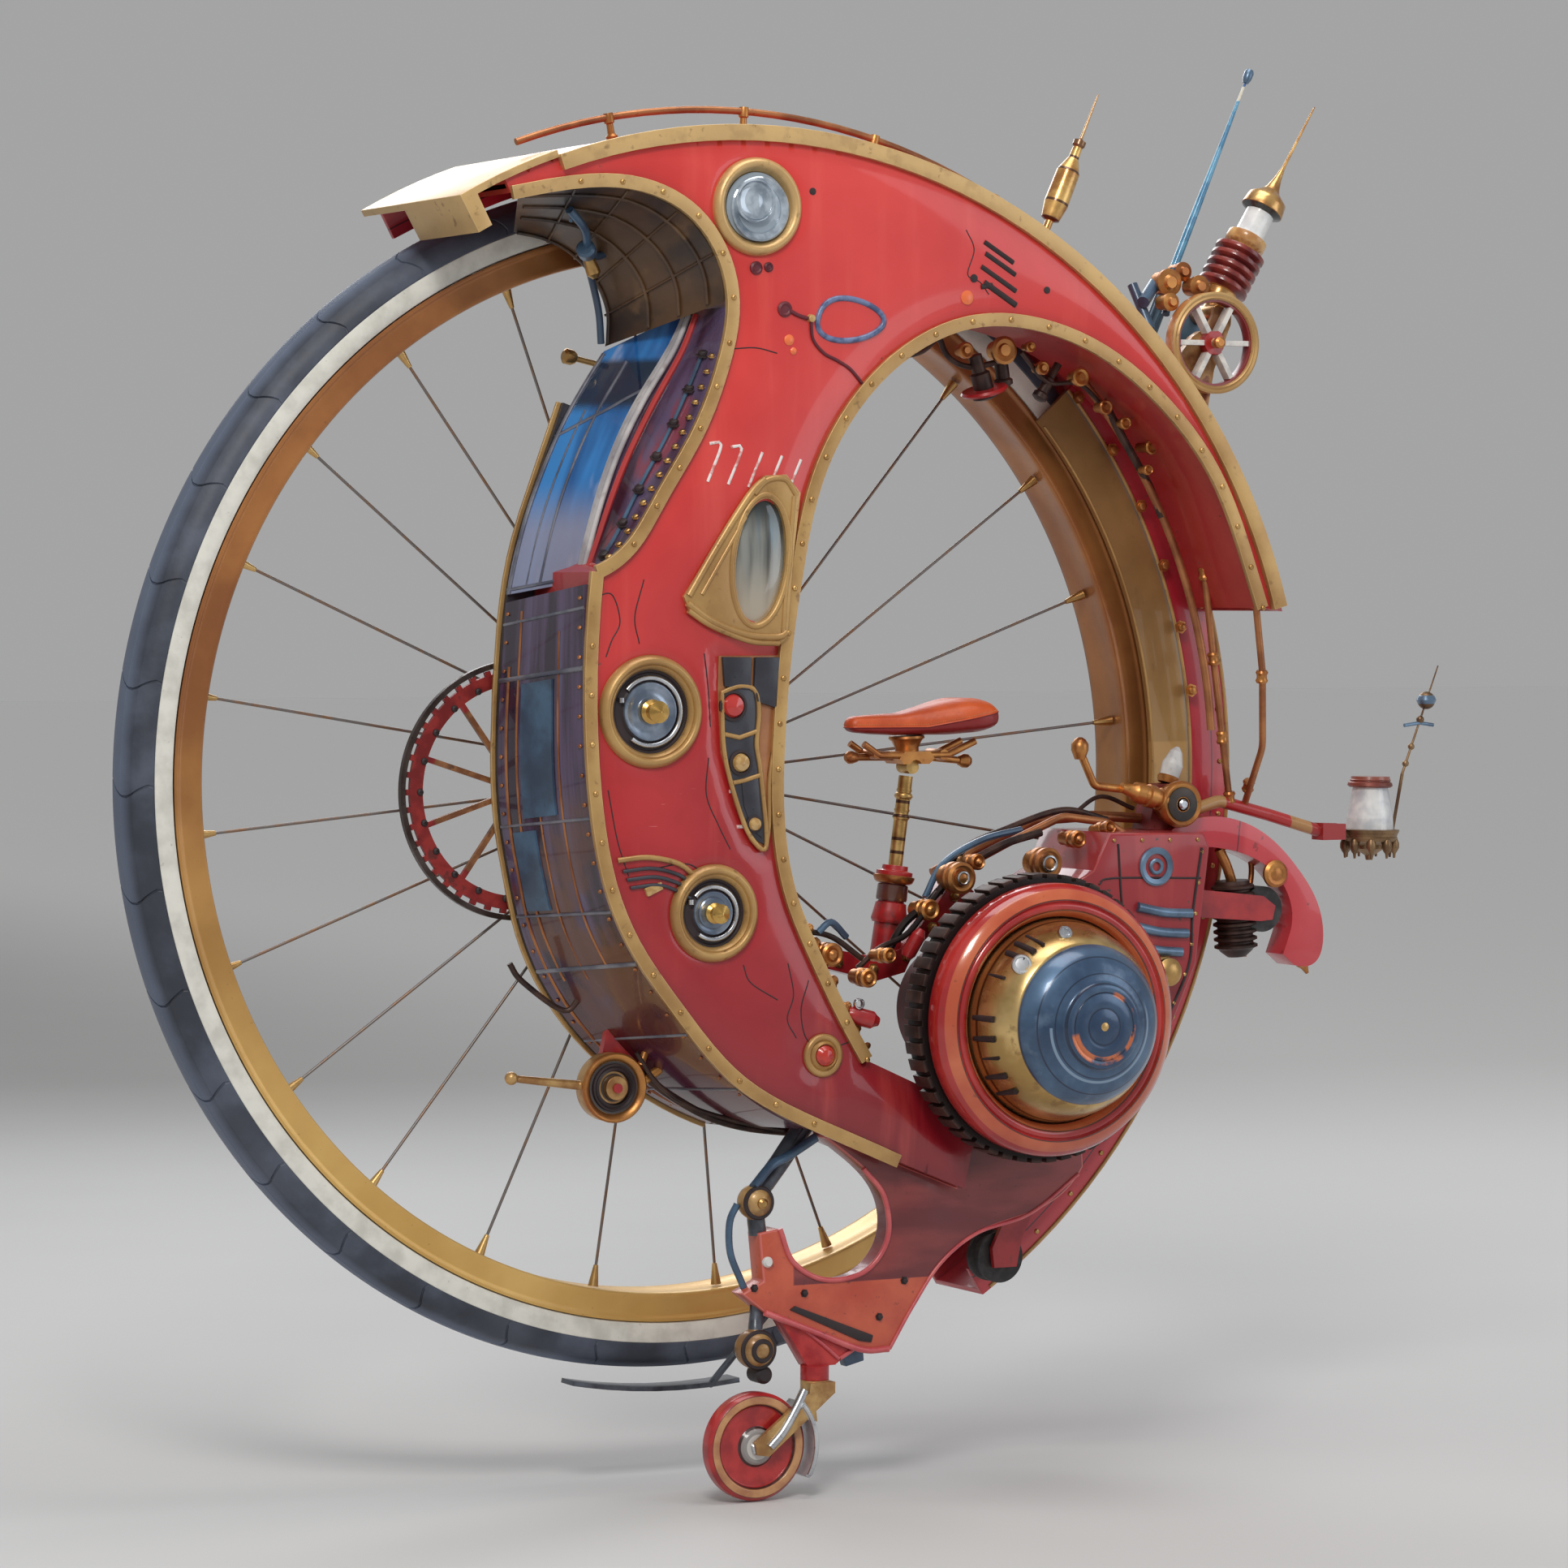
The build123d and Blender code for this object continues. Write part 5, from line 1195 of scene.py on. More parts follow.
lenses = [
    faced("lens_0", -8, 946, [(300, 0), (300, 35), (318, 34), (321, 30), (318.5, 25), (319.5, 12),
        (321, 0)], 64, lens, "clear_glass", None, crease=50),
    faced("lens_1", -8, 946, [(316, 32), (322.5, 36), (324, 33), (319, 30), (316, 32)], 64, lens,
        "clear_glass", None, crease=50),
    faced("lens_2", 4, 934, [(300, 38), (315, 53), (317, 50), (312, 40), (300, 38)], 64, lens,
        "clear_glass", None, crease=50),
]
joined("porthole_lenses", lenses)

# The instrument plate: two black slates above, a leather-brown plate, and a brass-edged
# finger plate with a red lamp, a ball lamp and a slate-blue point.
tan = plain_metal("tan_plate", (0.46, 0.20, 0.075), (0.33, 0.13, 0.05), 0.42, 0.2, coat=0.2)
slate = plain_metal("slate_plate", (0.055, 0.057, 0.072), (0.03, 0.03, 0.04), 0.35, 0.3, coat=0.3)


def plate(name, corners, low, high, finish, slot, body=None, *replaced, edge=1.6):
    """A flat plate between two depths with rounded edges."""
    count = len(corners)
    points = [at(x, depth, z) for depth in (low, high) for x, z in corners]
    faces = [list(range(count)), list(range(count, 2 * count))]
    faces += [(k, (k + 1) % count, (k + 1) % count + count, k + count) for k in range(count)]
    obj = mesh_piece(name, points, faces)
    shape = bmesh.new()
    shape.from_mesh(obj.data)
    bmesh.ops.bevel(
        shape, geom=shape.edges[:], offset=edge / 1000, offset_type="OFFSET", segments=2, profile=0.6,
        affect="EDGES", clamp_overlap=True,
    )
    shape.to_mesh(obj.data)
    shape.free()
    return finished(obj, finish, slot, body, *replaced)


plate("panel_ground", [(-66, 206), (46, 206), (36, 81), (24, 12), (24, -80), (18, -114), (-8, -98),
    (-36, -39), (-62, 48), (-68, 152)],
      299, 303, tan, "red_paint", None, "instrument_dials")
joined("panel_slates", [
    plate("slate_0", [(-62, 204), (-8, 203), (-10, 150), (-58, 156)], 302, 309, slate, "dark_steel"),
    plate("slate_1", [(-2, 203), (44, 203), (38, 120), (2, 130), (-4, 158)], 302, 310, slate, "dark_steel"),
    plate("slate_2", [(-27, 4), (4, 8), (12, -94), (-6, -80), (-22, -40)], 304, 308, blue_grey,
        "blue_glass"),
])
finger = [(-62, 146), (-30, 156), (0, 148), (6, 110), (2, 60), (10, 10), (20, -106), (-8, -92), (-34, -36),
    (-58, 50)]
plate("finger_plate", finger, 302.5, 306, slate, "dark_steel")
border = [at(p.x, 306, p.y) for p in smooth_line([*finger, finger[0]], 6)[:-1]]
edging = [tube("finger_edge", border, 4.2, gilt, "brass", closed=True)]
divider = [at(x, 306, z) for x, z in ((-58, 78), (-30, 72), (3, 82))]
edging.append(tube("finger_bar", divider, 4, gilt, "brass"))
divider = [at(x, 306, z) for x, z in ((-42, -2), (-20, 2), (9, 10))]
edging.append(tube("finger_bar_low", divider, 4, gilt, "brass"))
edging.append(tube("panel_side", on_side([(48, 120), (37, 60), (27, 0), (26, -70), (20, -112)], 304), 4,
    gilt, "brass"))
joined("panel_edging", edging)
sockets = [faced(f"socket_{n}", x, z, [
    (304, r + 1), (304, r + 9), (309, r + 9), (310, r + 5), (306, r + 1), (304, r + 1)], 48, black,
        "dark_steel")
    for n, (x, z, r) in enumerate(((-42, 124, 16), (-28, 31, 12), (-3, -70, 6)))]
joined("lamp_sockets", sockets)
lamp_red = Finish("lamp_glass", Roughness=0.12, Coat_Weight=0.6)
upper = lamp_red.axis("Z").rising(0.06, 0.08)
lamp_red.feed(Base_Color=lamp_red.mix(upper, lamp_red.mix(lamp_red.noise(80, 2).rising(0.4, 0.6),
    (0.42, 0.24, 0.08), (0.56, 0.36, 0.14)), (0.52, 0.035, 0.03)))
coat_nodes(lamp_red, ["indicator_lamps"])
button_red = Finish("button_red", Roughness=0.22, Coat_Weight=0.5)
button_red.feed(Base_Color=button_red.mix(button_red.noise(70, 3).rising(0.45, 0.7), (0.55, 0.035, 0.02),
    (0.40, 0.015, 0.02)))
coat_nodes(button_red, ["push_button"])

# The oval window: a cast gilt cowl with a fat rolled lip, folded back to a swept tail at its
# left and foot, round a bulged pane.
oval_x, oval_z, oval_tilt = 5, 361, radians(-7)


def oval_place(across, up, turn, depth):
    """A place on an oval about the window's centre."""
    x, z = across * cos(turn), up * sin(turn)
    return at(oval_x + x * cos(oval_tilt) - z * sin(oval_tilt), depth,
        oval_z + x * sin(oval_tilt) + z * cos(oval_tilt))


oval_rows = [(46, 102, 300), (46, 102, 312), (48, 104, 317), (52, 108, 319.5), (56, 112, 318),
    (58, 114, 314), (58, 114, 300)]
oval_steps = 96
points = [oval_place(w, h, 2 * pi * k / oval_steps, d) for w, h, d in oval_rows for k in range(oval_steps)]
faces = []
for a in range(len(oval_rows)):
    b = (a + 1) % len(oval_rows)
    faces += [
        (a * oval_steps + k, a * oval_steps + (k + 1) % oval_steps, b * oval_steps + (k + 1) % oval_steps,
            b * oval_steps + k)
        for k in range(oval_steps)
    ]
lip = finished(mesh_piece("oval_lip", points, faces), gilt, "brass", crease=60)
softened("oval_cowl", "oval_window_frame", 4.0, gilt, "brass")
folds = [lip]
for number, (corners, size) in enumerate((
    ([(-130, 292), (-84, 262), (-20, 240), (36, 236), (52, 244)], 6),
        ([(-128, 280), (-84, 254), (-16, 230), (38, 226)], 5),
    ([(-128, 304), (-72, 390), (-16, 468), (12, 494)], 6), ([(-104, 306), (-62, 372), (-24, 432)], 4),
    ([(-8, 470), (16, 492), (50, 494), (70, 470)], 5), ([(66, 466), (58, 380), (50, 300), (46, 244)], 4),
)):
    folds.append(tube(f"oval_fold_{number}", on_side(corners, 315), size, gilt, "brass"))
joined("oval_folds", folds)
points = [oval_place(0.1, 0.1, 0, 314)]
for share, depth in ((0.25, 313.9), (0.5, 313.4), (0.75, 312), (0.92, 310), (1.0, 307)):
    points += [oval_place(47 * share, 103 * share, 2 * pi * k / 64, depth) for k in range(64)]
points += [oval_place(47, 103, 2 * pi * k / 64, 301) for k in range(64)]
points.append(oval_place(0.1, 0.1, 0, 301))
faces = [(0, 1 + k, 1 + (k + 1) % 64) for k in range(64)]
for a in range(5):
    faces += [(1 + a * 64 + k, 1 + a * 64 + (k + 1) % 64, 65 + a * 64 + (k + 1) % 64,
        65 + a * 64 + k) for k in range(64)]
last = len(points) - 1
faces += [(last, last - 64 + k, last - 64 + (k + 1) % 64) for k in range(64)]
finished(mesh_piece("oval_pane", points, faces), window, "clear_glass", None, crease=50)

# The hood beside the lower gauge: three thin louvres under a bent brass drip rail.
louvres = []
for number, (drop, size) in enumerate(((0, 4.6), (18, 3.2), (32, 3.2), (45, 3.0))):
    corners = [(-252 + drop * 0.5, -124 - drop), (-200 + drop * 0.4, -120 - drop), (-148, -130 - drop),
        (-118, -148 - drop * 0.9)]
    path = on_face(corners, 2.4, 6)
    louvres.append(tube(f"hood_{number}", path, size, gilt if number == 0 else slate,
        "brass" if number == 0 else "dark_steel"))
joined("hood_louvres", louvres[1:])
louvres[0].name = "hood_rail"
plate("hood_tag", [(-206, -170), (-176, -160), (-172, -172), (-200, -184)], 303, 313, lamp_red, "lamp_red")

# The grab loop of blue cable, its brass clip, and the thin red lead that runs from it.
cable = Finish("loop_cable", Roughness=0.35, Coat_Weight=0.3)
cable.feed(Base_Color=cable.mix(cable.noise(60, 3).rising(0.4, 0.65), (0.055, 0.085, 0.19),
    (0.15, 0.20, 0.36)))
coat_nodes(cable, ["loop_handle"])
maroon = plain_metal("maroon_lead", (0.16, 0.02, 0.03), (0.09, 0.01, 0.02), 0.4, 0.0)
lead = [(100, 752), (104, 724), (124, 702), (150, 690), (176, 676), (204, 650), (214, 640)]
path = on_face(lead, 2.0, 5)
leads = [tube("lead_0", path, 2.6, maroon, "dark_red_paint")]
lead = [(60, 770), (78, 762), (94, 758)]
path = on_face(lead, 2.2, 5)
leads.append(tube("lead_1", path, 3.2, maroon, "dark_red_paint"))
for number, (x, z, r) in enumerate(((52, 772, 13), (0, 838, 11), (22, 840, 8))):
    top = face_depth(x, z)
    leads.append(faced(f"lead_boss_{number}", x, z, [
        (top - 3, 0), (top - 3, r), (top + 2, r), (top + 4, r * 0.7), (top + 2.4, r * 0.5), (top + 3.4, 0)],
            24, maroon, "dark_red_paint"))
joined("loop_leads", leads)
ember = plain_metal("ember_lamp", (0.90, 0.20, 0.05), (0.72, 0.12, 0.04), 0.3, 0.0, coat=0.5)
embers = []
for number, (x, z, r) in enumerate(((60, 722, 9), (68, 704, 6), (206, 634, 5), (398, 800, 12))):
    top = face_depth(x, z)
    embers.append(faced(f"ember_{number}", x, z, [(top - 3, 0), (top - 3, r), (top + 1, r),
        (top + 3, r * 0.6), (top + 3.6, 0)], 20, ember, "orange_red_paint"))
joined("ember_lamps", embers)

# The drum's finishes are laid in turned rings, so each reads its distance from the drum's axis.
drum_x, drum_z = 505, -402


def layered(finish, place, first, *steps, soft=0.0006):
    """Tones that change at set places: steps are (place, tone) pairs."""
    tone = first
    for limit, there in steps:
        tone = finish.mix(place.rising(limit - soft, limit + soft), tone, there)
    return tone


def along(finish, foot, head):
    """Distance in metres from foot towards head."""
    foot, head = at(*foot), at(*head)
    way = (head - foot).normalized()
    return finish.axis("X") * way.x + finish.axis("Y") * way.y + finish.axis("Z") * way.z - foot.dot(way)


# The drum's ribbed rotor of blackened iron, with brown grease between the ribs.
rotor = Finish("rotor_iron", Metallic=0.5)
grime = rotor.noise(26, 4)
from_shaft = rotor.radius(drum_x / 1000, drum_z / 1000)
tone = rotor.mix(grime.rising(), (0.030, 0.018, 0.016), (0.085, 0.045, 0.035))
rotor.feed(Base_Color=rotor.mix(from_shaft.rising(0.234, 0.242), (0.012, 0.008, 0.008), tone),
    Roughness=0.35 + 0.25 * grime)
rotor.bump(rotor.noise(120, 3), 0.0005, 0.4)
softened("rotor_ribs", "drum_rotor", 1.0, rotor, "rotor_black", "drum")

# The rotor's outer ring: orange over red enamel, lined in dark brown.
ring_paint = Finish("ring_enamel", Roughness=0.2, Coat_Weight=0.6, Coat_Roughness=0.05)
from_shaft = ring_paint.radius(drum_x / 1000, drum_z / 1000)
cloud = ring_paint.noise(9, 3)
hot = ring_paint.mix(cloud.rising(), (0.50, 0.085, 0.032), (0.62, 0.15, 0.06))
cherry = ring_paint.mix(cloud.rising(), (0.36, 0.012, 0.014), (0.50, 0.035, 0.03))
brown = (0.07, 0.018, 0.012)
tone = layered(ring_paint, from_shaft, brown, (0.1735, hot), (0.183, brown), (0.1848, cherry),
    (0.200, brown), (0.2018, hot), (0.219, cherry))
tone = ring_paint.mix(ring_paint.noise(90, 3).rising(0.66, 0.76) * 0.5, tone, (0.16, 0.04, 0.02))
ring_paint.feed(Base_Color=tone)
ring_paint.bump(1 - from_shaft.near(0.1842, 0.0008, 0.0005) - from_shaft.near(0.2009, 0.0008, 0.0005),
    0.001, 0.8)
low, ring_inner, ring_outer = 384, 170, 228
ring = faced("ring_rolled", drum_x, drum_z, [
    (low, ring_inner), (low, ring_outer - 6), (low + 3, ring_outer - 2), (low + 9, ring_outer),
        (low + 32, ring_outer),
    (low + 41, ring_outer - 4), (low + 49, ring_outer - 12), (low + 55, ring_outer - 21),
        (low + 58, ring_outer - 28),
    (low + 55.4, ring_outer - 30), (low + 54.4, ring_outer - 31.5), (low + 57, ring_outer - 33.5),
        (low + 58, ring_outer - 36),
    (low + 57, ring_outer - 42), (low + 54, ring_outer - 47), (low + 48, ring_inner + 7),
        (low + 40, ring_inner + 2),
    (low + 36, ring_inner), (low, ring_inner)], 144, ring_paint, "orange_red_paint", "drum", "drum_ring",
        crease=50)

# The gold band is a spun cone, cut by slots on its left side and set with two round bosses.
band_gold = Finish("band_gold", Metallic=0.9, Coat_Weight=0.3, Coat_Roughness=0.1)
turn = band_gold.angle(drum_x / 1000, drum_z / 1000)
brushed = band_gold.noise(14, 3)
from_shaft = band_gold.radius(drum_x / 1000, drum_z / 1000)
tone = band_gold.mix(brushed.rising(0.35, 0.68), (0.42, 0.26, 0.085), (0.74, 0.52, 0.22))
tone = band_gold.mix(band_gold.noise(40, 3).rising(0.6, 0.72) * 0.6, tone, (0.24, 0.13, 0.05))
tone = layered(band_gold, from_shaft, tone, (0.1655, (0.12, 0.06, 0.025)), (0.1668, (0.6, 0.4, 0.16)))
band_gold.feed(Base_Color=tone, Roughness=0.18 + 0.2 * brushed)
band_gold.bump(band_gold.noise(160, 3), 0.0003, 0.3)
faced("band_spun", drum_x, drum_z, [
    (low, 120), (low, 170), (low + 44, 170), (low + 49.5, 169), (low + 60, 166), (low + 82, 160),
        (low + 105, 152),
    (low + 120, 143.5), (low + 131, 135.5), (low + 134, 131), (low + 134, 120), (low, 120)], 144,
    band_gold, "brass", "drum", "drum_band", crease=50)
slots = []
for number, turned_to in enumerate((118, 126, 134, 150, 176, 188, 200, 212, 224)):
    start, end = ((434, 164.5), (482, 156.5)) if turned_to > 140 else ((452, 162.5), (498, 150))
    way = Vector((cos(radians(turned_to)), sin(radians(turned_to))))
    places = []
    for share in (0.0, 0.33, 0.66, 1.0):
        depth, radius = (a + (b - a) * share for a, b in zip(start, end))
        places.append(at(drum_x + way.x * (radius + 0.4), depth, drum_z + way.y * (radius + 0.4)))
    slots.append(tube(f"band_slot_{number}", places, 5.5 if number % 3 else 3.0, black, "rotor_black",
        "drum", sides=3))
joined("band_slots", slots)
bosses = []
for number, (turned_to, radius, depth, size) in enumerate(((138, 150, 500, 17), (100, 152, 496, 12))):
    spot = (drum_x + radius * cos(radians(turned_to)), drum_z + radius * sin(radians(turned_to)))
    lean = (0.45 * cos(radians(turned_to)), 0.9, 0.45 * sin(radians(turned_to)))
    foot = at(spot[0], depth - 4, spot[1])
    head = foot + Vector((lean[0], -lean[1], lean[2])) * 0.02
    bosses.append(turned(f"boss_{number}", foot, head, [
        (-4, 0), (-4, size), (4, size), (6, size - 2), (6, size - 5), (4, size - 6), (5, 0)], 32, bright,
            "brass", "drum"))
joined("band_bosses", bosses)

# The dome: satin blue enamel with stepped rings, orange lining worn through on one side,
# and a gold centre pin.
dome_paint = Finish("dome_enamel", Metallic=0.35, Coat_Weight=0.55, Coat_Roughness=0.12)
from_shaft = dome_paint.radius(drum_x / 1000, drum_z / 1000)
turn = dome_paint.angle(drum_x / 1000, drum_z / 1000)
cloud = dome_paint.noise(8, 4)
patch = dome_paint.noise(22, 4)
tone = dome_paint.mix(cloud.rising(0.32, 0.68), (0.022, 0.052, 0.115), (0.085, 0.165, 0.28))
tone = dome_paint.mix(patch.rising(0.55, 0.72) * 0.45, tone, (0.17, 0.25, 0.36))
for radius, width in ((0.0705, 0.0012), (0.056, 0.001), (0.030, 0.001), (0.113, 0.0008), (0.0865, 0.0008)):
    tone = dome_paint.mix(from_shaft.near(radius, width, 0.0006) * 0.8, tone, (0.012, 0.022, 0.05))
ochre = (0.62, 0.17, 0.06)
lower_left = from_shaft.near(0.0565, 0.0062, 0.0015) * turn.rising(-3.0,
    -2.85) * (1 - turn.rising(-1.05, -0.9))
tone = dome_paint.mix(lower_left * patch.rising(0.34, 0.46), tone, ochre)
right_side = from_shaft.near(0.0565, 0.0034, 0.001) * turn.rising(-1.1, -1.0) * (1 - turn.rising(1.15, 1.3))
tone = dome_paint.mix(right_side * patch.rising(0.42, 0.52) * 0.9, tone, ochre)
# Painted highlight: a lighter blue arc along the lower half of the ring at 92.5 mm.
highlight_arc = from_shaft.near(0.0925, 0.0016, 0.001) * (1 - turn.rising(0.1, 0.5))
tone = dome_paint.mix(highlight_arc * 0.7, tone, (0.30, 0.42, 0.56))
dome_paint.feed(Base_Color=tone, Roughness=0.2 + 0.22 * cloud)
dome_paint.bump(patch, 0.0004, 0.35)
top = low + 134
faced("dome_stepped", drum_x, drum_z, [
    (low, 0), (low, 119), (top + 1, 119), (top + 1, 132), (top + 5, 132.6), (top + 9, 131), (top + 20, 124),
        (top + 30, 114),
    (top + 33, 110), (top + 37, 101), (top + 42, 90), (top + 45, 83), (top + 47, 76), (top + 48, 72.6),
        (top + 51, 70.6),
    (top + 55, 69), (top + 56.5, 66), (top + 56, 58), (top + 54.6, 56), (top + 56.2, 54), (top + 57, 34),
        (top + 55.8, 30),
    (top + 57, 27), (top + 58, 14), (top + 58, 0)], 144, dome_paint, "dome_blue", "drum", "drum_dome",
        crease=40)
faced("dome_pin", drum_x, drum_z, [(top + 56, 0), (top + 56, 8), (top + 57.6, 8), (top + 59, 5),
    (top + 59.4, 0)], 24, brass, "brass", "drum")

# Behind the rotor the housing is dark cast iron with a red rim.
coat_nodes(plain_metal("housing_iron", (0.12, 0.022, 0.022), (0.06, 0.014, 0.014), 0.45, 0.3),
    ["drum_housing"])

# The chain and its sprocket: red oxide paint rubbed to iron on the teeth, brown on the
# spokes, and a plain oiled roller chain.
oxide = Finish("sprocket_oxide", Roughness=0.5, Metallic=0.2)
from_axle = oxide.radius(-0.308, -0.018)
grime = oxide.noise(30, 4)
tone = oxide.mix(grime.rising(), (0.20, 0.014, 0.014), (0.36, 0.032, 0.028))
tone = oxide.mix(from_axle.rising(0.158, 0.164), oxide.mix(grime.rising(0.4, 0.6), (0.20, 0.075, 0.03),
    (0.34, 0.15, 0.06)), tone)
tone = oxide.mix(grime.rising(0.58, 0.68) * 0.7, tone, (0.05, 0.02, 0.018))
oxide.feed(Base_Color=tone)
oxide.bump(grime, 0.0008, 0.5)
coat_nodes(oxide, ["sprocket"])
coat_nodes(plain_metal("chain_steel", (0.14, 0.11, 0.10), (0.06, 0.04, 0.035), 0.35, 0.9), ["drive_chain"])
row("sprocket_studs", screw_head, [arc_line(180, 0, 360, 54, (-308, -18), 3)], 51, black, "sprocket_red",
    "sprocket", size=1.3)

# The cockpit box: the same crimson, with a pressed seam, a riveted cheek and blue badges
# that carry no writing.
softened("cockpit_shell", "cockpit_box", 2.4, red, "red_paint")
badge_blue = plain_metal("badge_blue", (0.16, 0.26, 0.38), (0.07, 0.12, 0.19), 0.25, 0.5, coat=0.5)


def ring_badge(name, x, z, outer, width, depth, finish, slot):
    return faced(name, x, z, [
        (depth - 3, outer - width), (depth - 3, outer), (depth + 3, outer),
            (depth + 5, outer - width * 0.3),
        (depth + 3, outer - width), (depth - 3, outer - width)], 48, finish, slot)


badges = [ring_badge("badge_ring", 775, -158, 33, 11, 301, badge_blue, "signal_blue"),
    ring_badge("badge_eye", 775, -158, 14, 6, 301, badge_blue, "signal_blue")]
for number, (x0, z0, x1, z1) in enumerate(((738, -226, 846, -240), (728, -258, 838, -274),
    (724, -288, 826, -306))):
    badges.append(tube(f"badge_bar_{number}", on_side([(x0, z0), ((x0 + x1) / 2, (z0 + z1) / 2 - 4),
        (x1, z1)], 302), 8.5, badge_blue, "signal_blue"))
joined("cockpit_badges", badges)
knob = lathe("cockpit_fitting", at(792, 296, -338), at(792, 340, -338), [
    (0, 0), (0, 26), (5, 26), (7, 21), (10, 19), (16, 24), (24, 24), (30, 17), (33, 8), (33, 0)], 32)
finished(knob, brass, "brass")
tubes("cockpit_seams", black, "dark_red_paint", [
    (on_side([(700, -118), (712, -250), (742, -340), (800, -402)], 300), 2.2),
    (on_side([(662, -186), (690, -176), (866, -180)], 300), 1.8),
    (on_side([(868, -128), (850, -240), (842, -330), (792, -430)], 300), 2.6),
], sides=3)
row("cockpit_rivets", screw_head, [on_side([(868, -135), (842, -320), (788, -440)], 300),
    on_side([(692, -112), (860, -114)], 300)], 48, brass, "brass", size=0.8)

# The crank: brass arm and knob on a barrel with dark bands, a dial with a pale screw at its
# end, and the white pilot lamp above.
casting = plain_metal("orange_brass", (0.62, 0.29, 0.085), (0.36, 0.13, 0.045), 0.3, 0.8)
coat_nodes(casting, ["hand_crank"])
coat_nodes(plain_metal("stand_iron", (0.28, 0.035, 0.03), (0.13, 0.03, 0.03), 0.4, 0.3), ["control_stand"])
crank_bits = [
    lathe("crank_barrel", at(862, 181, -50), at(790, 179, -30), [
        (-4, 0), (-4, 18), (6, 20), (8, 16), (14, 16), (16, 20), (30, 20.5), (32, 17), (38, 17), (40, 19),
            (56, 17),
        (62, 12), (78, 9), (84, 9), (84, 0)], 32),
    lathe("crank_knob", at(703, 170, 26), at(703, 170, 62), [
        (-4, 0), (-4, 9), (4, 12), (12, 15), (22, 15), (30, 10), (34, 4), (34, 0)], 24),
]
for bit in crank_bits:
    finished(bit, casting, "brass", "crank")
joined("crank_fittings", crank_bits)
dial = facing("crank_dial", 894, -58, [
    (180, 11), (180, 39), (188, 41), (196, 40), (201, 36), (199, 32), (197, 28), (200, 25), (200, 12),
        (195, 11), (180, 11)], 64)
finished(dial, casting, "brass", "crank", crease=40)
face_dark = facing("crank_dial_face", 894, -58, [(196, 12), (196, 30), (199.5, 29), (201, 25), (201, 14),
    (199, 12), (196, 12)], 64)
finished(face_dark, plain_metal("dial_dark", (0.085, 0.07, 0.06), (0.04, 0.035, 0.035), 0.35, 0.6),
    "rotor_black", "crank")
faced("stand_screw", 894, -58, [(193, 0), (193, 9), (202, 9), (205, 6), (205, 0)], 24, bright, "steel")
white = Finish("white_enamel", Roughness=0.22, Coat_Weight=0.6)
cloud = white.noise(18, 3)
tone = white.mix(cloud.rising(), (0.46, 0.47, 0.48), (0.74, 0.73, 0.70))
tone = white.mix(white.noise(50, 4).rising(0.62, 0.74) * 0.45, tone, (0.30, 0.22, 0.17))
white.feed(Base_Color=tone)
coat_nodes(white, ["cockpit_lamp"])
lamp_ring = lathe("pilot_collar", at(905, 130, -23.5), at(928, 130, 42), [
    (0, 0), (0, 17), (7, 19), (10, 19.5), (13, 17.5), (13, 10), (0, 0)], 32)
finished(lamp_ring, casting, "brass")

# The lamp arm in red and brass, and its bell: opal glass under a brown collar, a beaded
# dark foot, and a whip of beads with a blue cross-bar.
arm_paint = Finish("arm_paint", Roughness=0.35, Coat_Weight=0.3)
worn_out = arm_paint.noise(24, 4)
part_way = arm_paint.axis("X")
tone = layered(arm_paint, part_way, (0.42, 0.24, 0.09), (1.02, (0.40, 0.02, 0.02)),
    (1.15, (0.40, 0.20, 0.07)), (1.19, (0.33, 0.02, 0.02)))
tone = arm_paint.mix(worn_out.rising(0.56, 0.7) * 0.8, tone, (0.10, 0.05, 0.035))
arm_paint.feed(Base_Color=tone)
arm_paint.bump(worn_out, 0.0008, 0.5)
coat_nodes(arm_paint, ["lamp_arm"])
opal = Finish("opal_bell", Roughness=0.25, Coat_Weight=0.5)
up = opal.axis("Z")
cloud = opal.noise(22, 3)
tone = opal.mix(cloud.rising(), (0.50, 0.52, 0.55), (0.78, 0.78, 0.76))
tone = layered(opal, up, tone, (-0.033, (0.26, 0.075, 0.05)), soft=0.001)
opal.feed(Base_Color=tone)
opal.bump(cloud, 0.0004, 0.3)
coat_nodes(opal, ["lamp_shade"])
bronze = plain_metal("dark_bronze", (0.30, 0.19, 0.10), (0.11, 0.06, 0.035), 0.35, 0.85)
coat_nodes(bronze, ["lamp_base"])
foot = [
    lathe("lamp_foot", at(1316, 150, -152), at(1318, 150, -16), [
        (-14, 0), (-14, 6), (-6, 8), (-2, 14), (6, 26), (12, 27), (16, 38), (20, 47), (26, 50), (30, 46),
            (34, 51), (40, 53),
        (41, 44), (41, 0)], 48),
]
for number in range(9):
    turned_to = 2 * pi * number / 9
    spot = at(1316 + 44 * cos(turned_to), 150 + 44 * sin(turned_to), -136)
    foot.append(lathe(f"lamp_bead_{number}", spot, spot + Vector((0, 0, -0.03)), [
        (-8, 0), (-8, 6), (0, 9), (8, 9), (14, 6), (18, 3), (26, 2), (26, 0)], 12))
for bit in foot:
    finished(bit, bronze, "brass", "lamp_head")
joined("lamp_foot_beads", foot)
turned("lamp_collar", (1317, 150, -37), (1317.5, 150, -14), [
    (0, 20), (0, 36), (3, 40), (8, 39), (11, 35), (13, 36.5), (16, 33), (17, 20), (0, 20)], 48,
    plain_metal("collar_brown", (0.30, 0.075, 0.05), (0.15, 0.04, 0.03), 0.35, 0.3), "copper", "lamp_head")
cross = [tube("whip_cross", [at(1390, 150, 72), at(1422, 150, 76), at(1452, 150, 72)], 3.4, badge_blue,
    "signal_blue", "lamp_head")]
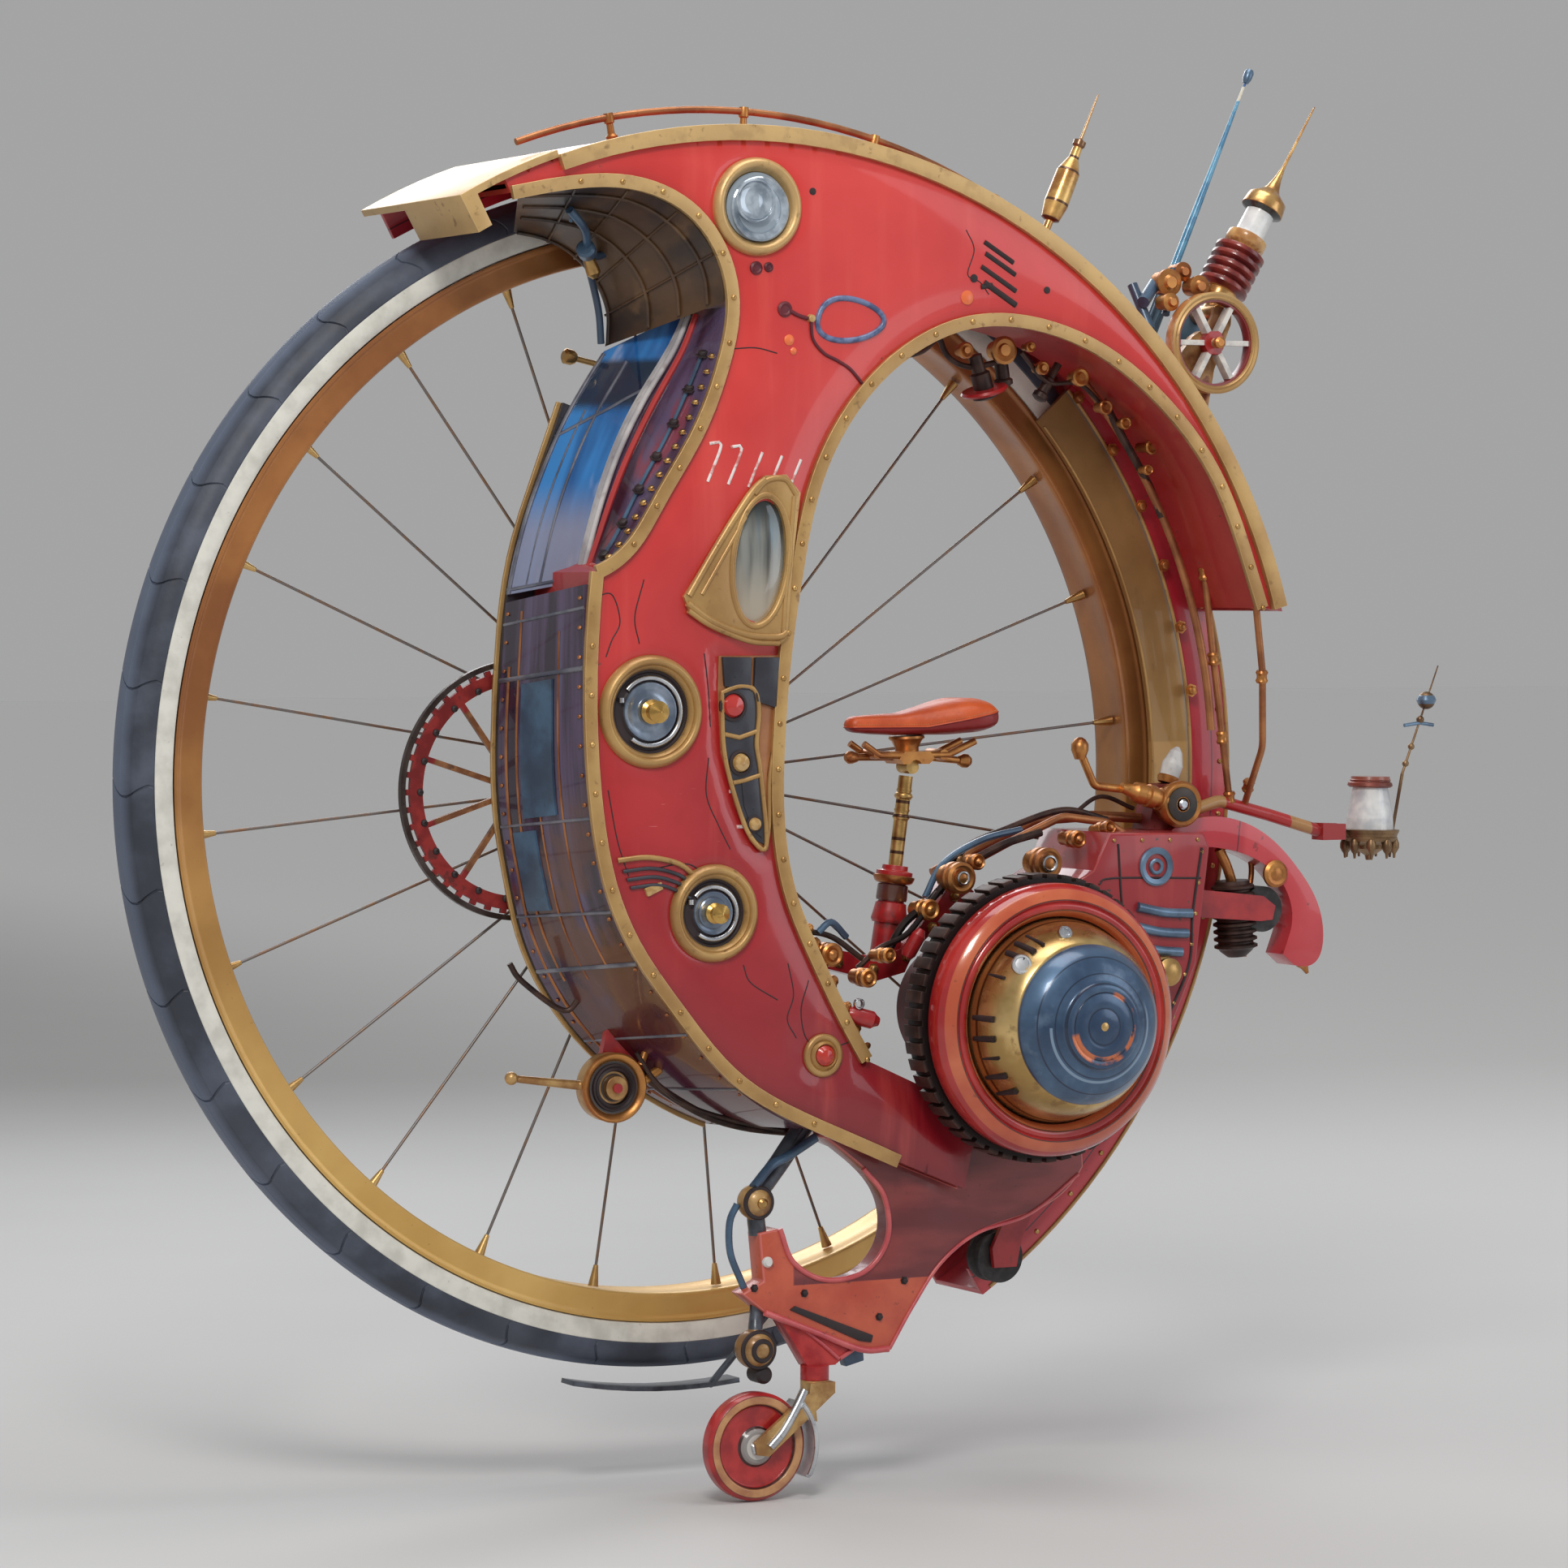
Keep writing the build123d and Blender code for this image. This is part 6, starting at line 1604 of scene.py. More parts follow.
cross.append(turned("whip_ball", (1437, 150, 104), (1437, 150, 130),
    [(0, 0), (1, 7), (6, 15), (13, 18), (20, 15), (25, 7), (26, 0)], 24, badge_blue, "signal_blue",
    "lamp_head"))
joined("whip_fittings", cross)

# The red claw fender with its rolled lip, and the corrugated filter that hangs behind it.
softened("claw_rolled", "claw_fender", 5.0, hoop_red, "red_paint")
filter_line = [at(1030, 146, -196), at(1040, 146, -330)]
pleats = [(0, 0), (0, 30)]
for number in range(9):
    pleats += [(6 + number * 13, 31), (9 + number * 13, 38), (13 + number * 13, 38), (16 + number * 13, 31)]
pleats += [(124, 28), (134, 16), (134, 0)]
turned("tail_filter", filter_line[0], filter_line[1], pleats, 40, rotor, "rotor_black")
tail = [
    tube("tail_pipe_0", curved([(1000, 150, -140), (1016, 150, -170), (1030, 146, -200)], 8), 9, casting,
        "brass"),
    tube("tail_pipe_1", curved([(1060, 120, -120), (1080, 130, -170), (1066, 140, -240), (1052, 150, -330)],
        8), 5, casting, "brass"),
    turned("tail_cap", (1166, 150, -326), (1190, 150, -372),
        [(-10, 0), (-10, 12), (6, 15), (14, 12), (22, 13), (30, 7), (42, 3), (42, 0)], 24, casting,
        "brass"),
]
joined("tail_fittings", tail)
faced("claw_boss", 1098, -184, [(176, 0), (176, 24), (182, 24), (186, 19), (185, 13), (188, 8), (188, 0)],
    32, casting, "brass")
rubber_grip = Finish("roller_rubber", Roughness=0.6)
rubber_grip.feed(Base_Color=rubber_grip.mix(rubber_grip.noise(40, 4).rising(0.4, 0.65),
    (0.018, 0.017, 0.018), (0.05, 0.045, 0.045)))
rubber_grip.bump(rubber_grip.noise(200, 2), 0.0004, 0.5)
coat_nodes(rubber_grip, ["guide_roller", "tail_roller"])

# The saddle: leather over foam, narrow at the nose and wide behind, filled until it is tight.
# A dark red skirt is sewn to the orange top, and the pan below keeps the underside flat.
widths = [(254, 4), (257, 13), (265, 19), (300, 24), (340, 31), (380, 40), (420, 55), (450, 67), (475, 72),
    (500, 71), (518, 61), (527, 42), (531, 10)]
tops = [(254, 88), (257, 95), (265, 100), (300, 102.5), (350, 104.5), (400, 117), (430, 125), (460, 131),
    (490, 130.5), (512, 125), (525, 114), (531, 104)]
lows = [(254, 84), (257, 77), (265, 73), (300, 69.5), (340, 67.5), (440, 67.5), (490, 71), (512, 77),
    (525, 87), (531, 98)]


def read_off(line, x):
    """The height of a line of corners at x."""
    for (x0, v0), (x1, v1) in zip(line, line[1:]):
        if x <= x1:
            return v0 + (v1 - v0) * max(0, x - x0) / (x1 - x0)
    return line[-1][1]


def saddle_place(x, turn):
    """A place on the leather: turn 0 is the near side, 90 the top."""
    half, high, low = (read_off(line, x) for line in (widths, tops, lows))
    middle = low + (high - low) * 0.42
    c, s = cos(turn), sin(turn)
    power = 0.8 if s > 0 else 0.55
    side = half * (abs(c) ** 0.75) * (1 if c > 0 else -1)
    rise = (high - middle if s > 0 else middle - low) * abs(s) ** power * (1 if s > 0 else -1)
    groove = 0
    if s > 0:
        groove = 2.5 * exp(-((half * c / 9) ** 2)) * smooth((x - 330) / 60) * smooth((500 - x) / 30)
    return at(x, 150 + side, middle + rise - groove)


stations = [254 + 277 * smooth(k / 44) for k in range(45)]
round_steps = 40
points = [saddle_place(x, 2 * pi * k / round_steps) for x in stations for k in range(round_steps)]
faces = [
    (a * round_steps + k, a * round_steps + (k + 1) % round_steps,
        (a + 1) * round_steps + (k + 1) % round_steps, (a + 1) * round_steps + k)
    for a in range(44) for k in range(round_steps)
]
faces += [tuple(range(round_steps)), tuple(range(44 * round_steps, 45 * round_steps))]
saddle = mesh_piece("saddle_leather", points, faces)
bpy.context.view_layer.objects.active = saddle
remesh = saddle.modifiers.new("even", "REMESH")
remesh.mode = "VOXEL"
remesh.voxel_size = 0.004
saddle.data = as_modified(saddle)
saddle.modifiers.clear()
start_places = [v.co.copy() for v in saddle.data.vertices]
held = saddle.vertex_groups.new(name="pan")
held.add([k for k, p in enumerate(start_places) if p.z * 1000 < read_off(lows, p.x * 1000) + 5], 1.0,
    "REPLACE")
cloth = saddle.modifiers.new("cloth", "CLOTH")
cloth.settings.quality = 6
cloth.settings.mass = 0.3
cloth.settings.tension_stiffness = 40
cloth.settings.compression_stiffness = 40
cloth.settings.shear_stiffness = 20
cloth.settings.bending_stiffness = 8
cloth.settings.use_pressure = True
cloth.settings.uniform_pressure_force = 4
cloth.settings.vertex_group_mass = "pan"
cloth.settings.effector_weights.gravity = 0
cloth.point_cache.frame_end = 20
for number in range(1, 21):
    bpy.context.scene.frame_set(number)
swollen = as_modified(saddle)
saddle.modifiers.clear()
saddle.vertex_groups.clear()
for vertex, after, before in zip(saddle.data.vertices, swollen.vertices, start_places):
    move = after.co - before
    if move.length > 0.0022:
        move = move.normalized() * 0.0022
    vertex.co = before + move
bpy.data.meshes.remove(swollen)
bpy.context.scene.frame_set(1)
rounder = saddle.modifiers.new("round", "SUBSURF")
rounder.levels = rounder.render_levels = 1
saddle.data = as_modified(saddle)
saddle.modifiers.clear()
leather = Finish("saddle_leather", Roughness=0.42, Coat_Weight=0.15, Coat_Roughness=0.3)
hide = leather.noise(260, 3)
cloud = leather.noise(14, 4)
skirt = leather.axis("Z") - 0.20 * (leather.axis("X") - 0.39).math("MAXIMUM", 0.0)
tone = leather.mix(cloud.rising(0.3, 0.7), (0.50, 0.065, 0.012), (0.68, 0.115, 0.022))
tone = leather.mix(hide.rising(0.55, 0.72) * 0.3, tone, (0.36, 0.04, 0.01))
tone = leather.mix(1 - skirt.rising(0.0812, 0.0822), tone, (0.24, 0.010, 0.010))
leather.feed(Base_Color=tone, Roughness=0.36 + 0.2 * hide)
leather.bump(hide, 0.0005, 0.35)
finished(saddle, leather, "saddle_leather", "saddle", "saddle", crease=80)
seam = []
for k in range(120):
    turned_to = 2 * pi * k / 120
    x = 393 - 139 * cos(turned_to)
    half = read_off(widths, x)
    z = 81.7 + 0.20 * max(0, x - 390)
    wanted = at(x, 150 + (half + 2) * (1 if turned_to < pi else -1) * min(1, abs(sin(turned_to)) * 3), z)
    hit = saddle.closest_point_on_mesh(wanted)
    seam.append(hit[1])
tube("saddle_piping", seam, 1.7, leather, "saddle_leather", "saddle", closed=True, sides=2)
stitch = fitting("stitch_pattern", [(-1.3, 0), (-1.3, 0.5), (1.3, 0.5), (1.3, 0)], 6)
for vertex in stitch.data.vertices:
    vertex.co = (vertex.co.z, vertex.co.y, vertex.co.x)
thread = plain_metal("waxed_thread", (0.62, 0.30, 0.12), (0.40, 0.16, 0.06), 0.6, 0.0)
above = []
for place in seam:
    lifted = place + Vector((0, 0, 0.0042))
    above.append(saddle.closest_point_on_mesh(lifted)[1])
row("saddle_stitches", stitch, [above], 4.2, thread, "saddle_leather", "saddle", closed=True)

# The saddle's brass clamp bar with end knobs, its rails, and the stem below: gold with
# turned beads over a brass cup, a purple band and a red boot on the cradle.
coat_nodes(casting, ["saddle_frame"])
clamp = [
    lathe("clamp_0", at(372, 150, 66), at(374, 150, 20),
        [(0, 0), (0, 30), (4, 31), (8, 26), (20, 20), (26, 20), (26, 0)], 32),
    lathe("clamp_1", at(266, 150, 31), at(250, 150, 31),
        [(-10, 0), (-10, 8), (0, 11), (6, 11), (12, 6), (12, 0)], 20),
    lathe("clamp_2", at(480, 150, 22.5), at(500, 150, 21),
        [(-6, 0), (-6, 8), (2, 12), (10, 12), (16, 8), (18, 3), (18, 0)], 20),
    lathe("clamp_3", at(430, 124, 34), at(430, 176, 34),
        [(-2, 0), (-2, 9), (2, 10), (50, 10), (54, 9), (54, 0)], 16),
    lathe("clamp_4", at(300, 124, 36), at(300, 176, 36),
        [(-2, 0), (-2, 7), (2, 8), (50, 8), (54, 7), (54, 0)], 16),
]
for piece in clamp:
    finished(piece, casting, "brass", "saddle")
joined("saddle_clamps", clamp)
stem = Finish("stem_gold", Metallic=0.85)
up = along(stem, (338, 150, -248), (371, 150, -2))
worn_out = stem.noise(30, 4)
tone = stem.mix(worn_out.rising(), (0.38, 0.22, 0.07), (0.66, 0.43, 0.16))
for place in (0.118, 0.141, 0.180, 0.204):
    tone = stem.mix(up.near(place, 0.0025, 0.0005), tone, (0.10, 0.05, 0.03))
stem.feed(Base_Color=tone, Roughness=0.25 + 0.2 * worn_out)
stem.bump(worn_out, 0.0005, 0.4)
coat_nodes(stem, ["seat_post"])
beads = []
for number, (place, size) in enumerate(((178, 15), (190, 13.5), (214, 16), (224, 13.5))):
    beads.append(turned(f"stem_bead_{number}", (338, 150, -248), (371, 150, -2), [
        (place - 6, 0), (place - 6, 12), (place - 4, size - 2), (place, size), (place + 4, size - 2),
            (place + 6, 12), (place + 6, 0)], 24,
        stem, "brass", "seat_post", crease=60))
joined("stem_beads", beads)
cradle_red = Finish("cradle_red", Roughness=0.32, Coat_Weight=0.4, Coat_Roughness=0.15)
worn_out = cradle_red.noise(20, 4)
tone = cradle_red.mix(worn_out.rising(0.3, 0.6), (0.26, 0.008, 0.014), (0.42, 0.02, 0.022))
tone = cradle_red.mix(cradle_red.attribute("worn") * 0.6, tone, (0.52, 0.09, 0.06))
tone = cradle_red.mix(worn_out.rising(0.6, 0.7) * 0.7, tone, (0.10, 0.035, 0.03))
cradle_red.feed(Base_Color=tone)
cradle_red.bump(worn_out, 0.0006, 0.4)
softened("cradle_cast", "seat_cradle", 1.4, cradle_red, "red_paint", keep_under=35)
sleeve = []
foot, head = at(330.8, 150, -302), at(350.9, 150, -152)
for name, start, profile, finish, slot in (
    ("boot", 52, [(0, 21), (0, 27), (6, 30), (22, 27), (34, 25), (36, 21), (0, 21)], cradle_red,
        "dark_red_paint"),
    ("band", 90, [(0, 21), (0, 24.5), (4, 25.5), (26, 25), (28, 23), (28, 21), (0, 21)], plum,
        "plum_lacquer"),
    ("cup", 119, [(0, 21), (0, 26), (3, 31), (10, 34), (13, 34), (14, 30), (20, 25), (22, 21), (0, 21)],
        casting, "brass"),
):
    piece = lathe(f"sleeve_{name}", foot, head, [(start + d, r + 1.2) for d, r in profile], 40)
    sleeve.append(finished(piece, finish, slot, crease=40))
row("cradle_bolts", bolt_head, [[at(x, 176, z) for x, z in ((96, -268), (190, -304), (296, -326),
    (352, -312), (410, -256), (452, -206))]], 66, brass, "brass", size=1.3)

# The lower bracket: maroon enamel above, bare orange primer below a masked line, and pink
# lining round its edges. A black slot with a white pin takes the caster's stay.
enamel = Finish("bracket_enamel", Roughness=0.32, Coat_Weight=0.4, Coat_Roughness=0.12)
worn_out = enamel.noise(12, 4)
across = enamel.noise(6, 3, (0.6, 1, 2.5))
maroon_tone = enamel.mix(across.rising(0.3, 0.7), (0.13, 0.014, 0.018), (0.30, 0.048, 0.045))
orange_tone = enamel.mix(worn_out.rising(0.3, 0.7), (0.46, 0.062, 0.030), (0.60, 0.11, 0.052))
lower = (1 - enamel.axis("Z").rising(-0.839, -0.837)).math("MAXIMUM",
    1 - enamel.axis("X").rising(0.088, 0.092))
tone = enamel.mix(lower, maroon_tone, orange_tone)
tone = enamel.mix(enamel.attribute("worn") * 0.75, tone, (0.66, 0.16, 0.14))
tone = enamel.mix(enamel.noise(70, 4).rising(0.62, 0.72) * 0.55, tone, (0.09, 0.02, 0.018))
enamel.feed(Base_Color=tone, Roughness=0.28 + 0.2 * worn_out)
enamel.bump(enamel.noise(90, 3), 0.0005, 0.35)
softened("bracket_cast", "lower_bracket", 3.0, enamel, "orange_red_paint")
lining_pink = plain_metal("lining_pink", (0.66, 0.13, 0.13), (0.50, 0.06, 0.075), 0.3, 0.0, coat=0.4)
arc_edge = [(64, -742), (90, -800), (150, -832), (225, -822), (268, -770), (262, -700), (222, -650)]
rear_edge = [(640, -680), (545, -742), (441, -770), (371, -816), (318, -884), (272, -955)]
tubes("bracket_lining", lining_pink, "orange_red_paint", [
    (on_side(arc_edge, 272), 4.6),
    (on_side([(36, -880), (126, -916), (216, -952), (270, -955)], 272), 5.5),
    (on_side(rear_edge, 272), 3.2),
    (on_side([(52, -866), (140, -934), (178, -966)], 267), 3.6),
    (on_side([(232, -934), (206, -952), (180, -966)], 267), 3.6),
])
plate("bracket_slot", [(82, -878), (92, -872), (240, -930), (236, -942), (214, -938)], 270, 275, black,
    "rotor_black")
faced("bracket_pin", 40, -796, [(271, 0), (271, 9), (276, 9), (280, 6), (280, 0)], 20, white,
    "white_ceramic")
row("bracket_bolts", bolt_head, [[at(x, 272, z) for x, z in ((16, -838), (50, -852), (110, -852))],
    [at(x, 272, z) for x, z in ((300, -842), (252, -900))]], 50, black, "dark_steel", size=0.9)

# The braces: a blue-grey arm, two gold damper balls in black rings, the red V plate that
# holds the caster, and the scraper bar under the tyre.
brace = Finish("brace_paint", Metallic=0.3, Coat_Weight=0.3)
worn_out = brace.noise(22, 4)
tone = brace.mix(worn_out.rising(), (0.035, 0.042, 0.055), (0.11, 0.13, 0.16))


def within(finish, x, depth, z, radius):
    """1 inside a ball about a place in millimetres."""
    parts = ((finish.axis("X") - x / 1000) ** 2, (finish.axis("Y") + depth / 1000) ** 2,
        (finish.axis("Z") - z / 1000) ** 2)
    return (parts[0] + parts[1] + parts[2]).math("LESS_THAN", (radius / 1000) ** 2)


gold_ball = brace.mix(worn_out.rising(0.4, 0.65), (0.26, 0.13, 0.045), (0.55, 0.34, 0.13))
for x, z, r in ((28, -698, 31), (28, -942, 35)):
    tone = brace.mix(within(brace, x, 250, z, r), tone, gold_ball)
v_red = brace.mix(worn_out.rising(), (0.38, 0.014, 0.02), (0.56, 0.045, 0.04))
in_v = brace.axis("X").rising(0.0615, 0.0625) * (1 - brace.axis("Z").rising(-0.857,
    -0.856)) * (1 - brace.axis("Y").rising(-0.21, -0.20))
tone = brace.mix(in_v, tone, v_red)
brace.feed(Base_Color=tone, Roughness=0.3 + 0.2 * worn_out)
brace.bump(worn_out, 0.0006, 0.4)
softened("braces_cast", "bracket_braces", 1.2, brace, "dark_steel", keep_under=40)
dampers = []
for x, z, r in ((28, -698, 29), (28, -942, 33)):
    for depth in (266, 279):
        size = (r * r - (depth - 250) ** 2) ** 0.5
        dampers.append(faced(f"damper_{z}_{depth}", x, z, [
            (depth - 4, size - 2), (depth - 4, size + 3), (depth, size + 4.5), (depth + 3, size + 2.5),
                (depth + 3, size - 3), (depth - 4, size - 2)], 40, black, "black_rubber"))
dampers.append(faced("damper_low", 40, -985, [(228, 0), (228, 15), (262, 15), (266, 10), (266, 0)], 24,
    black, "black_rubber"))
joined("damper_rings", dampers)
blue_strip = [
    tube("blue_strip_0", curved([(-4, 250, -700), (-16, 246, -730), (-14, 244, -780), (4, 246, -826),
        (18, 250, -858)], 6), 6, blue_grey, "blue_glass"),
    tube("blue_strip_1", curved([(150, 238, -598), (100, 236, -626), (66, 240, -640), (20, 262, -672)], 6),
        8, blue_grey, "blue_glass"),
    plate("blue_tab", [(196, -962), (236, -950), (238, -976), (204, -984)], 226, 246, blue_grey,
        "blue_glass"),
]
joined("blue_links", blue_strip)
turned("upper_pin", (28, 276, -698), (28, 288, -698), [(-2, 0), (-2, 9), (6, 9), (9, 5), (9, 0)], 20, brass,
    "brass")

# The caster: a red disc with a gold rim and white hub, under a white steel fender on a
# gilt strut.
caster = Finish("caster_paint", Roughness=0.3, Coat_Weight=0.4)
worn_out = caster.noise(26, 4)
from_pin = caster.radius(0.020, -1.101)
tone = caster.mix(worn_out.rising(0.3, 0.65), (0.30, 0.010, 0.014), (0.50, 0.028, 0.028))
ring_tan = caster.mix(worn_out.rising(), (0.40, 0.17, 0.075), (0.58, 0.30, 0.13))
tone = layered(caster, from_pin, (0.60, 0.58, 0.55), (0.021, (0.30, 0.28, 0.27)),
    (0.030, (0.05, 0.012, 0.012)), (0.034, tone), (0.0675, (0.06, 0.012, 0.01)), (0.0705, ring_tan),
    (0.0835, (0.10, 0.016, 0.014)), (0.0845, tone))
caster.feed(Base_Color=tone)
caster.bump(caster.noise(160, 3), 0.0004, 0.4)
softened("caster_turned", "caster_wheel", 1.2, caster, "caster_red", "caster_wheel", keep_under=35)
fork_metal = Finish("fork_metal", Metallic=0.55, Coat_Weight=0.2)
worn_out = fork_metal.noise(24, 4)
tone = fork_metal.mix(worn_out.rising(), (0.34, 0.17, 0.06), (0.62, 0.40, 0.16))
from_pin = fork_metal.radius(0.020, -1.101)
steel_white = fork_metal.mix(worn_out.rising(0.4, 0.7), (0.50, 0.52, 0.55), (0.76, 0.77, 0.78))
on_fender = from_pin.near(0.102, 0.0049, 0.0003) * (1 - fork_metal.axis("Z").rising(-1.029, -1.027))
tone = fork_metal.mix(on_fender, tone, steel_white)
fork_metal.feed(Base_Color=tone, Roughness=0.26 + 0.2 * worn_out)
fork_metal.bump(worn_out, 0.0005, 0.4)
softened("fork_cast", "caster_fork", 1.6, fork_metal, "gold_paint", "caster_fork")
cap = [
    faced("caster_nut", 20, -1101, [(279.4, 9), (279.4, 15), (284, 14), (286, 11), (286, 9), (279.4, 9)], 6,
        bright, "steel", "caster_fork", crease=20),
    tube("caster_stay", curved([(104, 284, -1012), (86, 288, -1040), (58, 294, -1076), (34, 294, -1100)],
        5), 8, bright, "steel", "caster_fork"),
    tube("caster_fold", arc_line(102, -30, 40, 293, (20, -1101), 4), 4.2, bright, "steel", "caster_fork"),
]
joined("caster_steel", cap)

# The masts. The insulator stacks a brass stem, red ribs, a collar, white ceramic, a black
# gasket and a brass cap with a needle; the whip beside it is blue glass fibre.
stack = Finish("insulator_stack", Roughness=0.28, Coat_Weight=0.35)
worn_out = stack.noise(30, 4)
up = along(stack, (946, 195, 790), (1163, 195, 1156))
gold_tone = stack.mix(worn_out.rising(), (0.42, 0.19, 0.06), (0.70, 0.42, 0.15))
rib_tone = stack.mix(worn_out.rising(), (0.13, 0.016, 0.016), (0.27, 0.04, 0.03))
china = stack.mix(worn_out.rising(0.3, 0.6), (0.62, 0.63, 0.64), (0.80, 0.80, 0.78))
stack.feed(
    Base_Color=layered(stack, up, gold_tone, (0.047, rib_tone), (0.133, gold_tone), (0.158, china),
        (0.205, (0.02, 0.02, 0.02)), (0.2115, gold_tone)),
    Metallic=(1 - up.rising(0.046, 0.047)) * 0.8 + up.rising(0.211, 0.2115) * 0.8,
)
stack.bump(worn_out, 0.0005, 0.4)
softened("insulator_turned", "insulator_mast", 0.8, stack, "white_ceramic", "antenna", keep_under=60)
rim_paint = Finish("pulley_paint", Roughness=0.3, Coat_Weight=0.3)
worn_out = rim_paint.noise(30, 4)
from_pin = rim_paint.radius(0.913, 0.737)
gold_tone = rim_paint.mix(worn_out.rising(), (0.42, 0.17, 0.055), (0.66, 0.34, 0.12))
tone = layered(rim_paint, from_pin, (0.36, 0.02, 0.02),
    (0.0215, rim_paint.mix(worn_out.rising(0.4, 0.6), (0.46, 0.44, 0.42), (0.70, 0.66, 0.60))),
    (0.0685, (0.22, 0.016, 0.016)), (0.0745, gold_tone))
rim_paint.feed(Base_Color=tone)
rim_paint.bump(worn_out, 0.0005, 0.4)
softened("pulley_cast", "pulley_wheel", 1.6, rim_paint, "brass", "pulley")
faced("pulley_lip", 913, 737, [(264, 74), (264, 87), (270, 87.5), (272, 84), (270, 80), (272, 77),
    (269, 74), (264, 74)], 72, gilt, "brass", "pulley", crease=50)
faced("pulley_nut", 913, 737, [(273, 0), (273, 8), (276, 10), (284, 10), (287, 6), (287, 0)], 24, casting,
    "brass")
fibre = Finish("blue_fibre", Roughness=0.2, Coat_Weight=0.4)
up = fibre.axis("Z")
fibre.feed(
    Base_Color=layered(fibre, up, fibre.mix(fibre.noise(30, 3).rising(0.4, 0.6), (0.045, 0.21, 0.38),
        (0.12, 0.36, 0.55)), (1.165, (0.70, 0.66, 0.55)), (1.19, (0.02, 0.10, 0.30))),
    Alpha=0.92 - 0.18 * fibre.noise(12, 2),
)
coat_nodes(fibre, ["signal_mast"])
turned("signal_knob", (1052, 150, 1204), (1059, 150, 1220),
    [(-8, 0), (-8, 5), (0, 8), (12, 8.5), (17, 6), (17, 0)], 20, badge_blue, "signal_blue", "signal_mast")
base_metal = Finish("mast_metal", Metallic=0.4, Coat_Weight=0.2)
worn_out = base_metal.noise(26, 4)
tone = base_metal.mix(worn_out.rising(0.35, 0.62), (0.24, 0.10, 0.045), (0.50, 0.27, 0.10))
tone = base_metal.mix(base_metal.axis("Y").rising(-0.200, -0.190), tone, (0.075, 0.14, 0.20))
tone = base_metal.mix(worn_out.rising(0.58, 0.7) * 0.8, tone, (0.20, 0.03, 0.025))
base_metal.feed(Base_Color=tone, Roughness=0.3 + 0.2 * worn_out)
base_metal.bump(worn_out, 0.0007, 0.5)
softened("mast_cast", "mast_base", 1.4, base_metal, "brass", keep_under=40)
flask = Finish("flask_brass", Metallic=0.6, Coat_Weight=0.4)
up = along(flask, (588, 216, 886), (708, 216, 1157))
worn_out = flask.noise(30, 4)
tone = flask.mix(worn_out.rising(), (0.42, 0.19, 0.05), (0.78, 0.50, 0.16))
tone = layered(flask, up, tone, (0.196, (0.22, 0.11, 0.05)), (0.213, (0.52, 0.30, 0.14)))
for place in (0.061, 0.092, 0.151, 0.177):
    tone = flask.mix(up.near(place, 0.002, 0.0005), tone, (0.12, 0.055, 0.025))
flask.feed(Base_Color=tone, Roughness=0.2 + 0.2 * worn_out)
flask.bump(worn_out, 0.0004, 0.3)
coat_nodes(flask, ["oil_flask"])
tubes("mast_struts", blue_grey, "blue_glass", [
    ([at(800, 215, 806), at(858, 170, 850)], 11),
    ([at(815, 214, 760), at(800, 180, 838)], 9),
    ([at(846, 214, 786), at(876, 190, 866)], 7),
])
bits = []
for number, (x, z, depth, r) in enumerate(((858, 842, 200, 20), (892, 862, 190, 14), (910, 836, 214, 16),
    (836, 806, 240, 13))):
    bits.append(faced(f"mast_fitting_{number}", x, z, [
        (depth - 24, 0), (depth - 24, r), (depth, r), (depth + 2, r * 1.2), (depth + 8, r * 1.2),
            (depth + 11, r * 0.7), (depth + 16, r * 0.5), (depth + 16, 0)], 24, casting, "brass"))
joined("mast_fittings", bits)

# Copper pipes with brass unions, and the brackets that hold the rollers and the winch.
coat_nodes(copper, ["copper_pipes"])
unions = []
for name, foot, head in (
    ("a", (967, 150, 352), (969, 150, 300)), ("b", (1000, 262, 304), (1004, 261, 270)),
        ("c", (986, 150, 204), (990, 150, 168)),
    ("d", (1017, 258, 174), (1020, 252, 136)), ("e", (1030, 136, -40), (1032, 134, -62)),
        ("f", (1056, 160, -20), (1060, 144, -50)),
    ("g", (1008, 146, 66), (1010, 145, 40)),
):
    unions.append(turned(f"union_{name}", foot, head, [
        (0, 0), (0, 9), (4, 11), (8, 9), (14, 9), (18, 11), (22, 9), (22, 0)], 16, casting, "brass"))
for angle in (49, 62, 75, 88, 101):
    c, s = cos(radians(angle)), sin(radians(angle))
    unions.append(turned(f"union_{angle}", (1071 * c, 190, 1071 * s), (1104 * c, 190, 1104 * s), [
        (-4, 0), (-4, 9), (2, 10), (6, 6), (22, 5.6), (24, 8.5), (34, 9), (40, 8), (40, 0)], 16, casting,
            "brass"))
joined("pipe_unions", unions)
coat_nodes(cradle_red, ["small_brackets"])
winch_metal = Finish("winch_metal", Metallic=0.6, Coat_Weight=0.2)
worn_out = winch_metal.noise(28, 4)
from_pin = winch_metal.radius(-0.196, -0.505)
gold_tone = winch_metal.mix(worn_out.rising(), (0.34, 0.16, 0.055), (0.58, 0.36, 0.14))
tone = layered(winch_metal, from_pin, gold_tone, (0.020, (0.07, 0.05, 0.045)), (0.0235, gold_tone),
    (0.0265, (0.09, 0.085, 0.09)), (0.0435, gold_tone))
winch_metal.feed(Base_Color=tone, Roughness=0.28 + 0.2 * worn_out)
winch_metal.bump(worn_out, 0.0006, 0.4)
softened("winch_cast", "winch", 1.4, winch_metal, "brass", "winch")
faced("winch_lip", -196, -505, [
    (177, 44), (177, 57.5), (184, 58), (187, 55), (186, 51), (182, 47), (179, 44), (177, 44)], 64, casting,
        "brass", "winch", crease=50)
